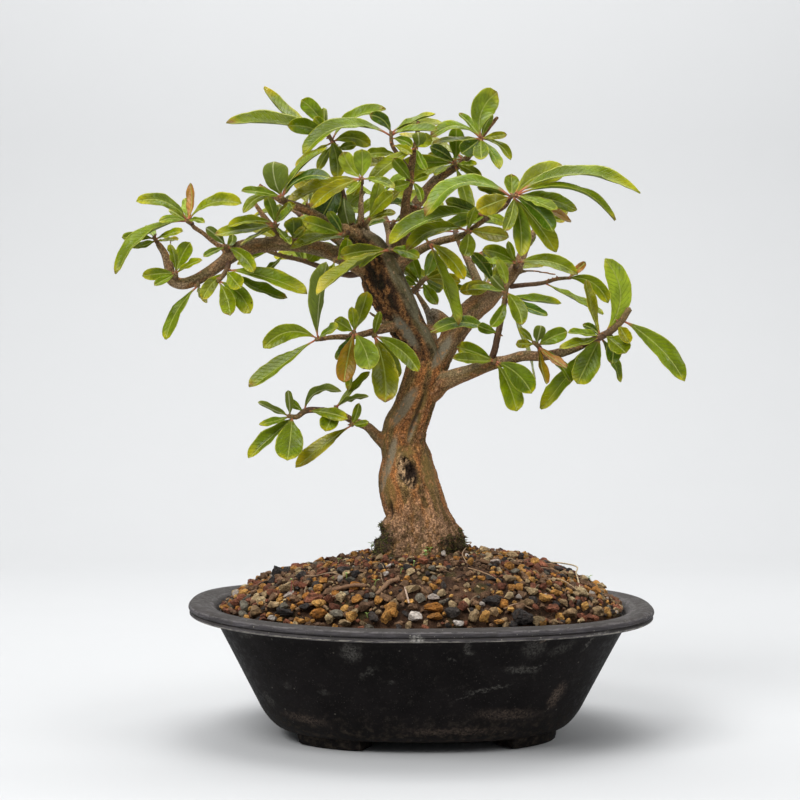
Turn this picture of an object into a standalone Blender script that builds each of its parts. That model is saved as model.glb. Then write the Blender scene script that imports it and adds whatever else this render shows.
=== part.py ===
"""Pomegranate bonsai in an oval plastic pot, about 0.32 m tall.

One object for each piece: the pot, the soil, the wood (trunk and branches grown as one), and one
for each leafy spray. Everything is worked out in millimetres and turned into metres at the end.
Places on the tree are given as they are seen from the front, and put back on their line of sight.
"""
import math
import random

import bmesh
import bpy
from mathutils import Vector, noise
from mathutils.bvhtree import BVHTree

# Lengths in millimetres
MM = 0.001
GAP = 0.35
SEED = 7

# The front view that places on the tree are given in: across from its left edge and down from its
# top edge, at true size for what stands as far away as the trunk.
EYE_AWAY = 900.0
EYE_RIGHT = -10.5
EYE_HEIGHT = 183.7
EYE_ACROSS = 200.0
EYE_DOWN = 182.5

# Pot
POT_SQUARENESS = 2.4
POT_SIDES = 36
HALF_LENGTH = 115.5
HALF_DEPTH = 91.0
RIM_TOP = 64.2
RIM_LIFT = 2.0
FOOT_HEIGHT = 5.0
# Between which turns round the oval a foot lies: front left and back right, front right and back left
FOOT_TURNS = ((33.0, 69.0), (20.0, 55.0))
FOOT_STEPS = 4
FLOOR_TOP = 8.2
STRAIGHT_BELOW = 15.0
DRAIN_WIDTH = 12.0
DRAIN_APART = 66.0
DRAIN_SIDES = 12

# Soil
SOIL_RINGS = 10
SOIL_EDGE = 61.0
MOUND_HALF_LENGTH = 98.2
MOUND_HALF_DEPTH = 73.7
MOUND_FOOT = 63.0
MOUND_HEIGHT = 28.0
MOUND_POWER = 3.0
DIP_MIDDLE = -54.0
DIP_HALF_WIDTH = 26.0
DIP_DEPTH = 4.4
INNER_SHARE = 0.24
GRAVEL_SIZE = 6.0
GRAVEL_HEIGHT = 3.4
GRAVEL_PACKING = 1.4
ROUGHNESS = 1.2
HOLE_ROOM = 0.15
HOLE_BELOW = 1.2

# Wood
TRUNK_SIDES = 12
SIDES = ((2.9, 4), (5.0, 5), (8.9, 6), (14.5, 8))
FLUTED_FROM = 14.0
ROOTS_START = 110.0
ROOTS_FULL = 88.0

# Leaves
LEAF_THICKNESS = 1.25
LEAF_NATURAL_WIDTH = 0.27
LEAF_WIDEST = 12.5
STALK_WIDTH = 1.0
LEAF_STATIONS = ((0.0, 0.0), (0.38, 0.80), (0.67, 1.0), (0.90, 0.62))
SHORT_LEAF = 17.0
SHORT_STATIONS = ((0.0, 0.0), (0.52, 1.0), (0.88, 0.64))
LEAF_ROOM = 0.25
STALK_END = 0.14
BLADE_START = 0.38
SWINGS = (0, -4, 4, -8, 8, -12, 12, -16, 16, -21, 21, -27, 27, -34, 34)
TWISTS = (0, 14, -14)

# Wood: each branch is a list of (across, down, depth behind the trunk, thickness).
BRANCHES = {
    "trunk": [
        (209, 297, 0, 44), (210, 288, 0, 49), (210, 280, 0, 46), (211, 272.5, 0, 38.5),
        (210.5, 265, 0, 35.5), (209, 257.5, 0, 31), (206.5, 250, 0, 30.5), (204.5, 243.5, 0, 30),
        (203.5, 237, 0, 29), (203, 230, 0, 25.5), (201.5, 221.5, 0, 22.5), (202.5, 213.5, 0, 22),
        (205.5, 206.5, 0, 20), (208, 199, 0, 19.5), (210, 192.5, 0, 19), (212, 185, 0, 19)],
    "left_leader": [
        (212, 190, 0, 17), (212.5, 181, 0, 16.5), (209, 171, 0, 16), (203, 162, 0, 18.5),
        (199.5, 155, 0, 20), (196.5, 149, 0, 21), (192, 140.5, 0, 21), (188.5, 131, 0, 18),
        (186, 125, 0, 16), (181, 119.5, 0, 12.5), (179, 112, 0, 10)],
    "twin_limb": [(195, 140, 2, 13), (199, 127.5, 2, 10), (201, 119, 2, 8.5), (202, 112.5, 1, 7)],
    "branch_a": [
        (202, 115, 0, 6.5), (202.5, 106, -2, 5.2), (203, 100, -3, 4.6), (204.5, 93.5, -3, 4.4),
        (205.5, 85, -4, 4), (207, 76, -4, 3.5), (208.5, 69, -5, 3), (209, 60.5, -5, 2.2)],
    "branch_b": [
        (202, 114, 2, 6.5), (207, 104, 5, 6), (210.5, 99, 7, 6), (215, 93.5, 9, 6), (220, 88.5, 10, 5.5),
        (226, 85, 10, 4.5), (232, 81, 10, 3.8), (237, 74.5, 9, 3.2), (242, 67, 8, 3), (246, 62, 8, 2.6),
        (249, 58.5, 8, 2.2)],
    "branch_c": [
        (198, 133, 0, 7), (204, 129, -3, 5.5), (210, 125, -6, 4.8), (221, 120.5, -12, 4.2),
        (227.5, 119, -15, 4), (233, 117, -18, 3.5), (238, 113, -21, 3), (243, 109.5, -24, 3),
        (248.5, 105.5, -27, 3), (253, 102.5, -29, 2.8), (254.5, 100, -30, 2.2)],
    "right_leader": [
        (213, 190, 0, 14), (218, 182.5, 3, 13), (222, 175, 5, 12), (227, 167, 9, 12), (232.5, 159, 13, 12.5),
        (238, 153.5, 18, 12), (242.5, 150, 22, 11.5), (248.5, 144.5, 27, 9), (255.5, 138, 32, 7),
        (259.5, 131, 36, 6), (262, 125, 39, 5), (265, 119, 42, 4), (268.5, 114, 45, 3)],
    "bare_twig": [(257.5, 137, 33, 2.6), (264, 135.5, 38, 1.8), (270, 136, 41, 1.6), (278.5, 137.5, 43, 1.4)],
    "sawn_knob": [(225, 164, 8, 7.5), (217, 157.5, 7, 7), (214.3, 156, 7, 5)],
    "right_low": [
        (211, 197, 0, 11), (216, 196, -2, 11), (220, 192, -3, 10), (227.5, 188.5, -5, 8.5),
        (235, 186, -7, 7.5), (245, 182, -10, 7), (252.5, 180.5, -12, 5.5), (261.5, 178, -15, 5.5),
        (271.5, 178, -17, 5), (281.5, 176, -19, 5), (292, 172, -21, 4.5)],
    "left_low": [
        (201, 227, 0, 10), (192.5, 221, -2, 8), (189, 218.5, -4, 6), (184, 213.5, -6, 4.8),
        (176.5, 210.5, -9, 4), (169, 206.5, -12, 3.6), (161, 205, -15, 3.2)],
    "left_mid": [
        (201, 162, -2, 6), (194, 164, -9, 5), (182, 167, -14, 3.6), (175, 168.5, -18, 3.4),
        (168.5, 168.5, -21, 3.2), (160, 169.5, -25, 2.6)],
    "left_mid_twig": [(196, 161, -3, 2.8), (191, 160.5, -10, 2.2), (184.5, 156, -12, 1.6)],
    "big_left": [
        (191, 139, 0, 13), (186, 136, -1, 11.5), (176, 131, -2, 9), (163.5, 125.5, -3, 8),
        (150, 122.5, -4, 7.5), (132.5, 122.5, -5, 7.5), (119, 125.5, -6, 8.8), (112.5, 130.5, -7, 6.8),
        (104, 136.5, -8, 6), (97, 140.5, -9, 6), (90.5, 142, -9, 6), (86, 140, -9, 6), (84.5, 134, -10, 4.8),
        (82.5, 127, -10, 4), (79, 121.5, -10, 3.2)],
    "elbow_twig": [(87, 139, -9, 2.6), (85.8, 128, -14, 1.8), (85.5, 120, -15, 1.4)],
    "far_left": [
        (118, 127, -6, 5), (107.5, 121.5, -6, 2.8), (101.5, 116.5, -6, 2.6), (96.5, 113, -6, 2.5),
        (95, 107, -6, 2)],
    "left_middle": [
        (150, 123.5, -4, 6), (145, 121.5, -5, 4.5), (141.5, 118, -5, 4), (136, 113, -5, 3.5), (131, 107, -5, 3),
        (128, 102.5, -5, 2.5), (125.5, 99.5, -5, 2.2)],
    "left_upper": [
        (181, 120, -1, 7), (176, 116, -8, 5), (165, 112, -11, 5), (155, 106, -13, 4.5), (147.5, 103, -15, 4.5),
        (142, 101, -16, 4), (135, 96.5, -18, 3), (129.5, 92.5, -20, 2.2)],
    "stump_twig": [(180.5, 116, -1, 4.4), (180.5, 108, -6, 3.6), (180.7, 99, -11, 2.8), (181, 91, -15, 2)],
    "back_middle": [(196, 137, 3, 9), (195, 128, 22, 6.5), (195, 117.5, 42, 5), (190, 102.5, 62, 2.6)],
    "back_left": [(189, 136, 2, 9), (178, 127, 22, 6), (165, 117.5, 42, 4.5), (150, 107.5, 55, 2.4)],
    "back_right": [(242, 151, 22, 8), (239, 142, 38, 5.5), (235, 132.5, 52, 4.5), (227.5, 117.5, 66, 2.4)],
    "back_low": [(214, 178, 2, 9), (216, 168, 22, 5.5), (214, 156, 40, 4), (208, 146, 54, 2.2)],
}

# Sprays seen from the front. The stem is a list of points like a branch's, from inside the wood
# outwards. A leaf is (base across, base down, tip across, tip down, how far the tip lies behind the
# base, width as seen, how far the middle stands above the straight line, tone). Where a leaf hangs
# or stands, the last length is how far its middle stands to the right.
SPRAYS = {
    "stump_twig_whorl": (
        [(181, 92, -14.5, 2), (181, 89.5, -20, 2)],
        [(181, 91, 155.5, 104, -8, 7, 3, "yellow"), (178, 91, 142.5, 101.5, -3, 7, 4, "yellow"),
         (180.5, 93, 173.5, 96.5, -12, 3.5, 0, "green"), (180.5, 92, 176.5, 98, -10, 3.5, 0, "yellow"),
         (184, 91, 181, 75, -4, 9, 0, "pale"), (176, 89, 171.5, 76, 2, 8, -1, "pale"),
         (184, 90, 197.5, 93.5, -6, 4, 1, "green")]),
    "far_left_fork": (
        [(96, 112, -6, 2.6), (93.8, 110.5, -12, 2.4)],
        [(91.5, 113, 56.5, 136.5, -8, 6, 9, "green"), (93.5, 107, 68.5, 100.5, -12, 6, 5.5, "green"),
         (98, 107.5, 120.5, 101, -10, 6.5, 5, "green"), (95.5, 107, 94.5, 91.5, 6, 4.5, 1.5, "dry"),
         (93, 111, 80, 110.5, -10, 4, 1, "pale"), (92, 109, 84.5, 104, 8, 3.5, 0, "green"),
         (94, 113, 102, 111, -10, 3, 1, "green"), (94, 106.5, 91.5, 99, 9, 4, 0, "pale")]),
    "far_left_tip": (
        [(79.6, 122.5, -10, 2.4), (77, 118.5, -11, 2)],
        [(77.5, 120, 61, 119, -6, 5, 1.5, "green"), (76.5, 121.5, 67, 123.5, -10, 3.5, 0, "green"),
         (79, 119, 91, 115, -12, 4, 1, "green"), (81, 120, 89.5, 119, 6, 2.5, 0, "olive"),
         (78, 119, 74, 112.5, 18, 4, 1, "green")]),
    "far_left_elbow": (
        [(88, 140.5, -9, 2.8), (88, 136.5, -16, 2.4)],
        [(84, 134, 71.5, 138, -6, 6, 1, "green"), (84, 138, 77.5, 142, -12, 3.5, 0, "green"),
         (92, 136, 95, 121.5, -4, 8, 1, "green"), (89.5, 134, 85, 122.5, -8, 5, 1, "green"),
         (95, 131, 100.5, 129.5, -10, 3.5, 0.5, "olive")]),
    "far_left_drop": (
        [(99, 139.5, -8, 2.6), (99, 143, -14, 2.4)],
        [(99, 143.5, 82, 169.5, -4, 6.5, 2.5, "green"), (99, 144, 103, 152, 14, 4, 0, "olive")]),
    "far_left_under": (
        [(115, 129, -6.5, 3), (113.5, 135, -13, 2.8), (109, 141, -16, 2.2)],
        [(114, 136, 101.5, 149.5, -8, 6.5, 1, "olive"), (107.5, 142, 114.5, 157, -12, 8, 1, "green"),
         (108, 143.5, 124.5, 156.5, -6, 9.5, 2, "green"), (116, 136, 120, 143.5, -10, 8, 0, "green"),
         (116, 137, 144, 148.5, 6, 5.5, 0, "green"), (119, 135, 154, 146, -4, 7.5, 3, "green")]),
    "far_left_top": (
        [(114.8, 127.5, -6, 2.8), (113, 123, -13, 2.4)],
        [(110.5, 126, 102, 128, -8, 3.5, 0.5, "green"), (113, 124.5, 116.5, 117, 6, 4.5, 1, "green"),
         (111.5, 124, 103, 114, -4, 5, 1, "under"), (114.5, 124.5, 126.5, 136, -12, 7, 3, "green")]),
    "left_middle_whorl": (
        [(138.5, 115.5, -5, 2.8), (137.5, 112, -12, 2.4)],
        [(134.5, 108, 139.5, 102, 6, 4.5, 1, "dark"), (135, 109, 147.5, 102.5, -8, 4.5, 2, "yellow"),
         (131, 108.5, 114, 112.5, -8, 4.5, 3.5, "green"), (139.5, 111.5, 145, 103.5, -6, 5, 0, "green"),
         (140, 116.5, 107.5, 116.5, -10, 6, 1, "green"), (137.5, 117, 120, 121.5, -14, 3, 0.5, "olive"),
         (140, 118, 145.5, 121.5, -12, 3.5, 0, "green"),
         (137, 110, 133.5, 98, -4, 6, 0, "green")]),
    "left_middle_root": (
        [(146.5, 122.3, -4.5, 2.6), (146, 119.5, -11, 2.2)],
        [(146, 121, 146, 109, -4, 9.5, 1, "green"), (147, 121, 152, 114, -8, 4, 0, "olive")]),
    "left_upper_tip": (
        [(142.5, 101.5, -16, 2.8), (141, 98.5, -22, 2.4)],
        [(138.5, 99.5, 121, 95, -6, 4.5, 1, "green"), (140.5, 101.5, 121.5, 106.5, -8, 4, 4.5, "green"),
         (140.5, 98.5, 137.5, 81, -2, 13, -1, "under"), (140.5, 97.5, 145.5, 86.5, 10, 4, 1, "green"),
         (146, 95, 163.5, 73, 4, 3.5, 4.5, "green"), (146.5, 95, 165.5, 88.5, -8, 5, 5, "dark")]),
    "crown_left": (
        [(178, 117, 2, 3.2), (176, 112, 5, 2.8), (172.5, 100, 5, 2.4), (169, 85, 5, 2.2), (168, 74, 4, 2.2),
         (165, 69, 1, 2), (161.5, 62, 0, 1.8)],
        [(165, 70, 113, 60.5, -6, 7, 6.5, "green"), (165, 71, 144.5, 63.5, -14, 8, 2, "green"),
         (162.5, 67.5, 133.5, 42.5, 2, 5, -4, "olive"), (162.5, 65, 151, 50.5, -6, 8, 1, "green"),
         (160.5, 61, 162, 54, 4, 3.5, 0, "green"), (163, 67, 157.5, 59, -10, 5, 0, "green"),
         (165, 70.5, 168.5, 89, -8, 8, 1, "green"), (165.5, 72.5, 147.5, 83, -6, 3.5, 1, "yellow"),
         (166, 74, 159, 85, -12, 4.5, 0, "green"), (168, 71, 185.5, 73, 6, 7.5, 3, "green"),
         (168, 70, 193, 54.5, 2, 6, 6, "green"), (168.5, 75, 175, 73, 10, 3, 0, "dark"),
         (168.5, 76, 178, 73, 12, 4.5, 1, "green"), (169.5, 91, 160, 111, -10, 12, 0, "dark"),
         (172, 98, 174.5, 113, -9, 9, 0, "under")]),
    "crown_mid": (
        [(205.5, 87, -4, 2.6), (200, 79, -6, 2.2), (196, 72.5, -6, 2), (195.5, 66, -6, 1.8)],
        [(193, 68.5, 150.5, 76, -8, 7, 10, "green"), (196.5, 66.5, 185, 58, -6, 6, 2, "dark"),
         (197, 66.5, 217.5, 56, 4, 4.5, 2, "green"), (198, 67, 218.5, 64.5, -4, 4, 2, "green"),
         (197, 68, 221, 60.5, 10, 4.5, 2, "pale"), (197, 69.5, 206, 73.5, -6, 5, 1, "green"),
         (196, 73, 205.5, 77, -12, 4, 1, "olive"), (200, 77, 183.5, 77, -12, 5, 1, "green")]),
    "branch_a_leaves": (
        [(207.3, 75.5, -4, 2.6), (208, 74, -11, 2.2)],
        [(207.5, 75, 184.5, 90.5, -6, 7, 1, "yellow"), (214.5, 77, 209, 66, -8, 7, 1, "under"),
         (208, 76, 213, 85, -8, 4, 0, "green"), (209, 77, 215.5, 68, -4, 7, 0, "pale")]),
    "branch_b_tip": (
        [(239, 71.5, 8.5, 2.8), (240.5, 69.5, 2, 2.4)],
        [(240.5, 69, 248.5, 46.5, -4, 12.5, -5, "pale"), (238.5, 67.5, 215, 68.5, -4, 5, 7, "green"),
         (240, 70.5, 231, 76.5, -8, 9, 0, "dark"), (239, 66.5, 229.5, 56.5, 6, 4, 1, "green"),
         (237.5, 67.5, 216, 71, -10, 3.5, 1, "olive"), (243, 71, 253, 67.5, -6, 4, 0, "yellow"),
         (242, 73, 255.5, 80, -6, 4, 3, "green"), (240, 74.5, 250, 84, -10, 5, 1, "green"),
         (241, 68, 246, 57, 4, 4, 0, "green"), (240.5, 69, 240.5, 79, -10, 8, 0, "green")]),
    "crown_right_mid": (
        [(226.5, 84.5, 10, 2.8), (227.5, 81.5, 4, 2.4)],
        [(226, 83.5, 200, 83, -6, 8, 1, "green"), (227, 80, 228, 63.5, -2, 8, 0, "green"),
         (225, 79, 214, 76.5, 6, 3.5, 0, "green"), (226, 80.5, 215.5, 74, -12, 6, 1, "dark"),
         (230, 88, 235, 106.5, -8, 7, 1, "green"),
         (228, 83, 238, 81.5, -10, 3, 0, "green"), (229, 85, 217.5, 87.5, -14, 3, 1, "olive"),
         (231, 86, 240.5, 89, -12, 5.5, 1, "green")]),
    "branch_a_low": (
        [(204.7, 92.5, -3, 2.6), (206, 91, -10, 2.2)],
        [(206.5, 90, 196.5, 93.5, -10, 6, 0, "green"), (206.5, 90.5, 214, 88, -8, 4, 0, "green"),
         (208, 91, 210.5, 101, -8, 4, 1, "green"), (204.5, 98, 186, 107, -6, 4.5, 1, "yellow"),
         (204.5, 90, 197, 80, -6, 6, 0, "green")]),
    "stump_top": (
        [(181.5, 113, -3, 2.8), (184, 110.5, -12, 2.4)],
        [(184, 112, 190, 90, -6, 6.5, 1, "pale"), (186, 105, 196, 97, -6, 7, 1, "yellow"),
         (185, 109, 197.5, 106, -6, 3.5, 1, "yellow")]),
    "branch_b_low": (
        [(208, 102.5, 5.5, 2.8), (209.5, 104.5, -1, 2.2)],
        [(208.5, 105.5, 184.5, 105, -14, 3.5, 5, "dark"), (211, 103, 217, 112, -4, 3.5, 0, "yellow"),
         (211, 104, 222, 107, -6, 6, 1, "dark")]),
    "stump_left": (
        [(175, 115.8, -8.5, 2.8), (171.5, 117.5, -15, 2.4)],
        [(170, 116, 151.5, 110.5, -6, 7.5, 1, "green"), (172.5, 118, 145, 123.5, -8, 6, 2, "green"),
         (171, 116, 164, 106, -4, 5, 0, "dark")]),
    "big_left_top": (
        [(168, 127.5, -2.5, 2.8), (167.5, 130.5, -11, 2.4)],
        [(166.5, 132, 173.5, 119.5, -8, 6.5, -2, "green"), (167, 131, 164, 140, -10, 4, 0, "olive")]),
    "thin_left": (
        [(182, 136, 4, 3.8), (175, 137.5, 10, 3.4), (165, 135, 14, 3), (157.5, 132.5, 15, 2.6),
         (150, 130, 15, 2.4), (143, 128.5, 15, 2.2), (135, 126, 15, 2), (131.5, 124.5, 15, 1.8)],
        [(153.5, 131.5, 158, 123.5, -6, 9, -1, "green"), (151.5, 131, 148, 122, 6, 4.5, 0, "green"),
         (134.5, 125.5, 137, 117, -6, 4, 0, "yellow"), (131.5, 124.5, 132.5, 118, 8, 2.5, 0, "orange"),
         (131.5, 124, 124.5, 127, -8, 4, 0, "green"), (131, 125, 119, 123, 6, 3, 0, "olive"),
         (133, 126, 118.5, 131.5, -10, 3, 0, "olive"), (141.5, 127.5, 132.5, 135, -10, 3, 0, "green")]),
    "twin_limb_whorl": (
        [(198, 125.5, 1, 3.2), (194.5, 125, -10, 2.6)],
        [(191, 123, 170.5, 128, -8, 8, 1.5, "green"), (197, 127, 179.5, 133.5, -10, 4, 1.5, "pale"),
         (193, 127, 157.5, 145.5, -8, 5, 4, "yellow"), (196, 125, 209.5, 129, -8, 6, 2, "green")]),
    "branch_c_upper": (
        [(243, 109.5, -24, 2.6), (242.5, 107.5, -30, 2.2)],
        [(242, 110, 193.5, 120.5, -6, 8, 7, "green"), (244, 111, 252, 112, -10, 5, 1, "pale"),
         (243, 108, 248, 97, -8, 5, 0, "green"),
         (241, 107, 222.5, 100.5, 4, 6.5, 1, "dark"),
         (241, 109, 222, 113, 6, 6, 1, "green")]),
    "branch_c_mid": (
        [(233, 117, -18, 2.6), (234, 115.5, -25, 2.2)],
        [(233, 116.5, 203, 125, -6, 7, 7, "green"), (234, 118, 254, 118.5, -8, 7.5, 1, "yellow"),
         (233.5, 117, 232, 128, 0, 8, 1, "green"),
         (234, 115, 238, 104, -8, 5, 0, "green")]),
    "branch_c_tip": (
        [(254, 101, -29.6, 2.4), (255.5, 98.5, -33, 2.2), (258.5, 97.5, -35, 1.8)],
        [(252, 99.5, 211.5, 107.5, -4, 7.5, 12, "green"), (252.5, 100.5, 239, 105, -10, 10, 1, "yellow"),
         (253, 99, 255.5, 87, 4, 7.5, 0, "green"), (256, 99, 283, 85, 12, 11.5, 3, "pale"),
         (257, 99, 320.5, 96, -2, 6.5, 11, "green"), (258, 100, 309.5, 108.5, -8, 6, 10, "green"),
         (258, 100, 289, 104.5, 10, 7.5, 2.5, "green"), (258, 101, 278.5, 104, -14, 4.5, 1, "green"),
         (259, 101, 286.5, 109.5, 18, 4, 1, "dry"), (256.5, 101.5, 276.5, 115.5, -12, 8.5, 2, "dark"),
         (256, 102, 278.5, 126, 2, 8.5, 2.5, "green"), (257, 102, 260.5, 128, -6, 9, 3, "green"),
         (257, 100, 252.5, 115, -10, 6, 1, "green"), (253, 99.5, 238.5, 93.5, 2, 5.5, 1, "green")]),
    "branch_c_start": (
        [(215, 122.8, -9, 2.8), (214.5, 121.5, -17, 2.4)],
        [(214, 120, 232, 139.5, -8, 7, 2, "yellow"), (216, 123, 230, 162.5, -6, 6.5, 2, "green"),
         (213, 121, 203, 113, -6, 5, 1, "green")]),
    "right_leader_top": (
        [(267.5, 115, 44.5, 2.8), (270, 111, 45, 2.4)],
        [(266, 112, 258.5, 125.5, -8, 5, -1, "green"), (270, 112, 282.5, 110, -6, 3.5, 1, "olive"),
         (269, 111, 263, 101, 8, 5, 0, "green"), (271, 111, 273, 100.5, 12, 6, 0, "green"),
         (270, 112, 284, 106, 10, 5, 1, "green")]),
    "right_leader_mid": (
        [(257.8, 134, 33.5, 3.4), (258, 131.5, 25, 2.8)],
        [(257, 131, 241.5, 125, -6, 7.5, 2, "green"), (256, 131, 241.5, 130, -12, 3.5, 0, "pale"),
         (262.5, 133.5, 289, 137, -4, 7.5, 4.5, "green"), (258, 130, 254, 121, -4, 4, 0, "olive")]),
    "right_leader_low": (
        [(248, 145, 26, 3.4), (246.5, 142, 16, 2.6)],
        [(246, 141.5, 236, 127, -8, 6, 1, "dark"), (246.5, 142.5, 233, 145, -8, 7, 0, "yellow"),
         (247, 141, 253, 132, -4, 5, 0, "green"),
         (246, 143, 230, 146, 2, 7, 1, "olive")]),
    "thin_right": (
        [(252.5, 143.5, 29, 3), (262.5, 142.5, 28, 2.4), (271.5, 141.5, 27, 2.2), (278.5, 139.5, 26, 2),
         (285.5, 139, 26, 1.6)],
        [(284, 138.5, 293, 131, 6, 4, 0, "dry"), (282, 137, 304, 151.5, -4, 7, 5, "green"),
         (272, 141.5, 302, 156.5, -6, 3.5, 1, "green")]),
    "right_end": (
        [(290, 172.8, -20.5, 4), (300, 168.5, -23, 3.8), (306, 165, -24, 3.6), (311, 160, -25, 3.4),
         (314.5, 154.5, -25, 3.2)],
        [(301, 167, 302.5, 129.5, -6, 11, 9, "pale"), (299.5, 168, 294, 139.5, 6, 5.5, 0, "yellow"),
         (300, 169, 289, 191.5, -8, 12, 0, "green"), (300, 170, 269, 203.5, 2, 7, 0, "green"),
         (298.5, 168, 284.5, 165.5, -10, 3.5, 1, "green"), (297, 169, 280, 173, -14, 4, 0, "green"),
         (299, 168, 291, 162, 8, 4, 1, "dark"), (311, 160, 343.5, 190, -4, 10, 3, "green"),
         (309, 162, 314.5, 171, -10, 6, 0, "yellow"), (302, 168, 313, 176, -12, 9.5, 1, "green"),
         (305, 166, 306, 182, -6, 8, 1, "dark"), (301, 170, 311.5, 191, 2, 5, 1, "green")]),
    "right_low_mid": (
        [(270.5, 177.8, -17, 3), (269.5, 173.5, -22, 2.6), (266.5, 171, -24, 2)],
        [(270, 173.5, 286.5, 190.5, -6, 4.5, 2, "green"), (270.5, 173, 283.5, 183, -12, 4, 0, "dry"),
         (270, 175, 274, 191.5, -12, 4.5, 0, "orange"), (270.5, 172.5, 283.5, 166, -4, 7.5, 1, "green"),
         (268.5, 172.5, 270.5, 162.5, -8, 6, 0, "under"), (266.5, 171, 259.5, 164, -4, 3.5, 0, "olive"),
         (268, 172.5, 258.5, 172, -8, 4.5, 0, "yellow")]),
    "twig_u": (
        [(244.5, 183, -9.5, 4), (247, 176, -13, 3.4), (249, 167, -17, 3.2), (251, 157.5, -20, 2.8),
         (252.5, 149, -22, 2.6), (253.5, 142, -23, 2)],
        [(253.8, 146, 245.5, 138, -6, 5, 0, "under"), (253, 143, 248.5, 130, -2, 5, 1, "pale"),
         (252, 146, 234.5, 143.5, 4, 3, 1, "green"), (253.5, 146, 261, 162, -8, 8.5, 1, "green"),
         (252.5, 149, 269.5, 189.5, -9, 3.5, 2, "pale"), (253, 149, 281, 150.5, 6, 4, 1, "green"),
         (252.5, 150, 274, 157, -4, 4.5, 1, "dark"), (251.5, 150, 245.5, 163, -6, 6, -1, "green"),
         (248, 172, 215, 165.5, -4, 4, 6, "dark"), (249, 168, 239.5, 163, -8, 5, 0, "green")]),
    "right_low_start": (
        [(246, 181.5, -10.5, 3), (247.5, 180.5, -18, 2.6)],
        [(248.5, 178.5, 265.5, 196.5, -8, 11, 3, "green"), (247, 183, 258.5, 205.5, -3, 10, 1, "green"),
         (244.5, 181, 228.5, 173.5, -3, 8, 1, "green"), (244, 182, 227, 178.5, -10, 5, 0, "olive")]),
    "left_low_tip": (
        [(162, 205.2, -14.7, 3.2), (152.5, 205.5, -18, 3), (148, 208.5, -20, 2.6), (144, 208, -21, 2.2)],
        [(143, 207, 144, 195, -4, 4, 0, "under"), (145, 207, 129.5, 200.5, 4, 3.5, 0, "under"),
         (145, 208, 129.5, 212, -6, 3.5, 0, "green"), (149, 208, 123.5, 228.5, -6, 6.5, 2, "green"),
         (146, 209, 143.5, 229.5, -8, 14, 0, "green"), (152, 204.5, 143.5, 200, -4, 4, 0, "green"),
         (152.5, 204.5, 171, 195, -6, 4, 6, "under"), (154.5, 205.5, 173.5, 209, -12, 6, 1, "green")]),
    "left_low_mid": (
        [(168.5, 206.3, -12, 2.6), (168, 203.5, -19, 2.2)],
        [(167.5, 204, 162.5, 215, -8, 9.5, 0, "green"), (168.5, 202, 184, 185, -2, 4, 1, "green"),
         (169, 202, 184.5, 197.5, -8, 3, 2, "under")]),
    "left_low_base": (
        [(176.5, 210.7, -9, 2.6), (176, 212.5, -16, 2.2)],
        [(176, 212.5, 147.5, 233.5, -6, 7, 1, "yellow"), (175.5, 211, 179.5, 202, -6, 4.5, 0, "olive"),
         (177, 213, 184, 211, -8, 3.5, 0, "green")]),
    "left_mid_tip": (
        [(161, 169.4, -24.7, 2.6), (157.8, 169.8, -26, 2.2)],
        [(159, 169, 162, 130.5, -4, 8, -2, "under"), (159.5, 169, 132, 174, -6, 8.5, 6, "green"),
         (158, 170.5, 123.5, 192, -8, 7, 1, "green"), (159, 168, 168, 163, -10, 5, 1, "green")]),
    "left_mid_whorl": (
        [(176.5, 168.2, -17.5, 2.8), (177, 166, -25, 2.4)],
        [(179.5, 165, 167.5, 160, -4, 7, 0, "green"), (178, 164.5, 176, 154, -6, 5, 0, "green"),
         (178.5, 165, 183.5, 146, -4, 8, 1, "olive"), (176.5, 165.5, 184.5, 184.5, -8, 12, 1, "pale"),
         (175.5, 167, 172, 191, -6, 9.5, -1, "orange"), (176, 167, 173.5, 195.5, 8, 5, 0, "green"),
         (175, 166, 167.5, 180, 2, 5, 0, "dark")]),
    "left_mid_inner": (
        [(187.5, 165.8, -11.5, 3), (187, 168, -19, 2.6)],
        [(186.5, 169, 192.5, 201, -8, 13, 2, "yellow"), (188, 169, 200.5, 188.5, 2, 6, 1, "olive"),
         (188, 166, 209, 185.5, -10, 8, 3, "green"), (186, 167, 190, 156, -6, 4, 0, "green")]),
    "fork_back": (
        [(199.5, 151, 3, 4), (206, 146, 15, 3), (213, 139, 20, 2.4)],
        [(209, 143, 200, 133, 6, 4, 0, "green"), (208, 144, 201.5, 139, -8, 4, 0, "green"),
         (210, 142, 206, 129, 2, 6, 0, "green"), (211, 142, 218.5, 152, -8, 6, 0, "green"),
         (213, 139, 223.5, 135, 4, 5, 0, "olive"), (213, 140, 222, 145, 12, 6, 0, "green"),
         (213, 139, 217.5, 125, 8, 7, 0, "green"), (214, 139, 230, 141, 10, 7, 1, "yellow")]),
}

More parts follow.
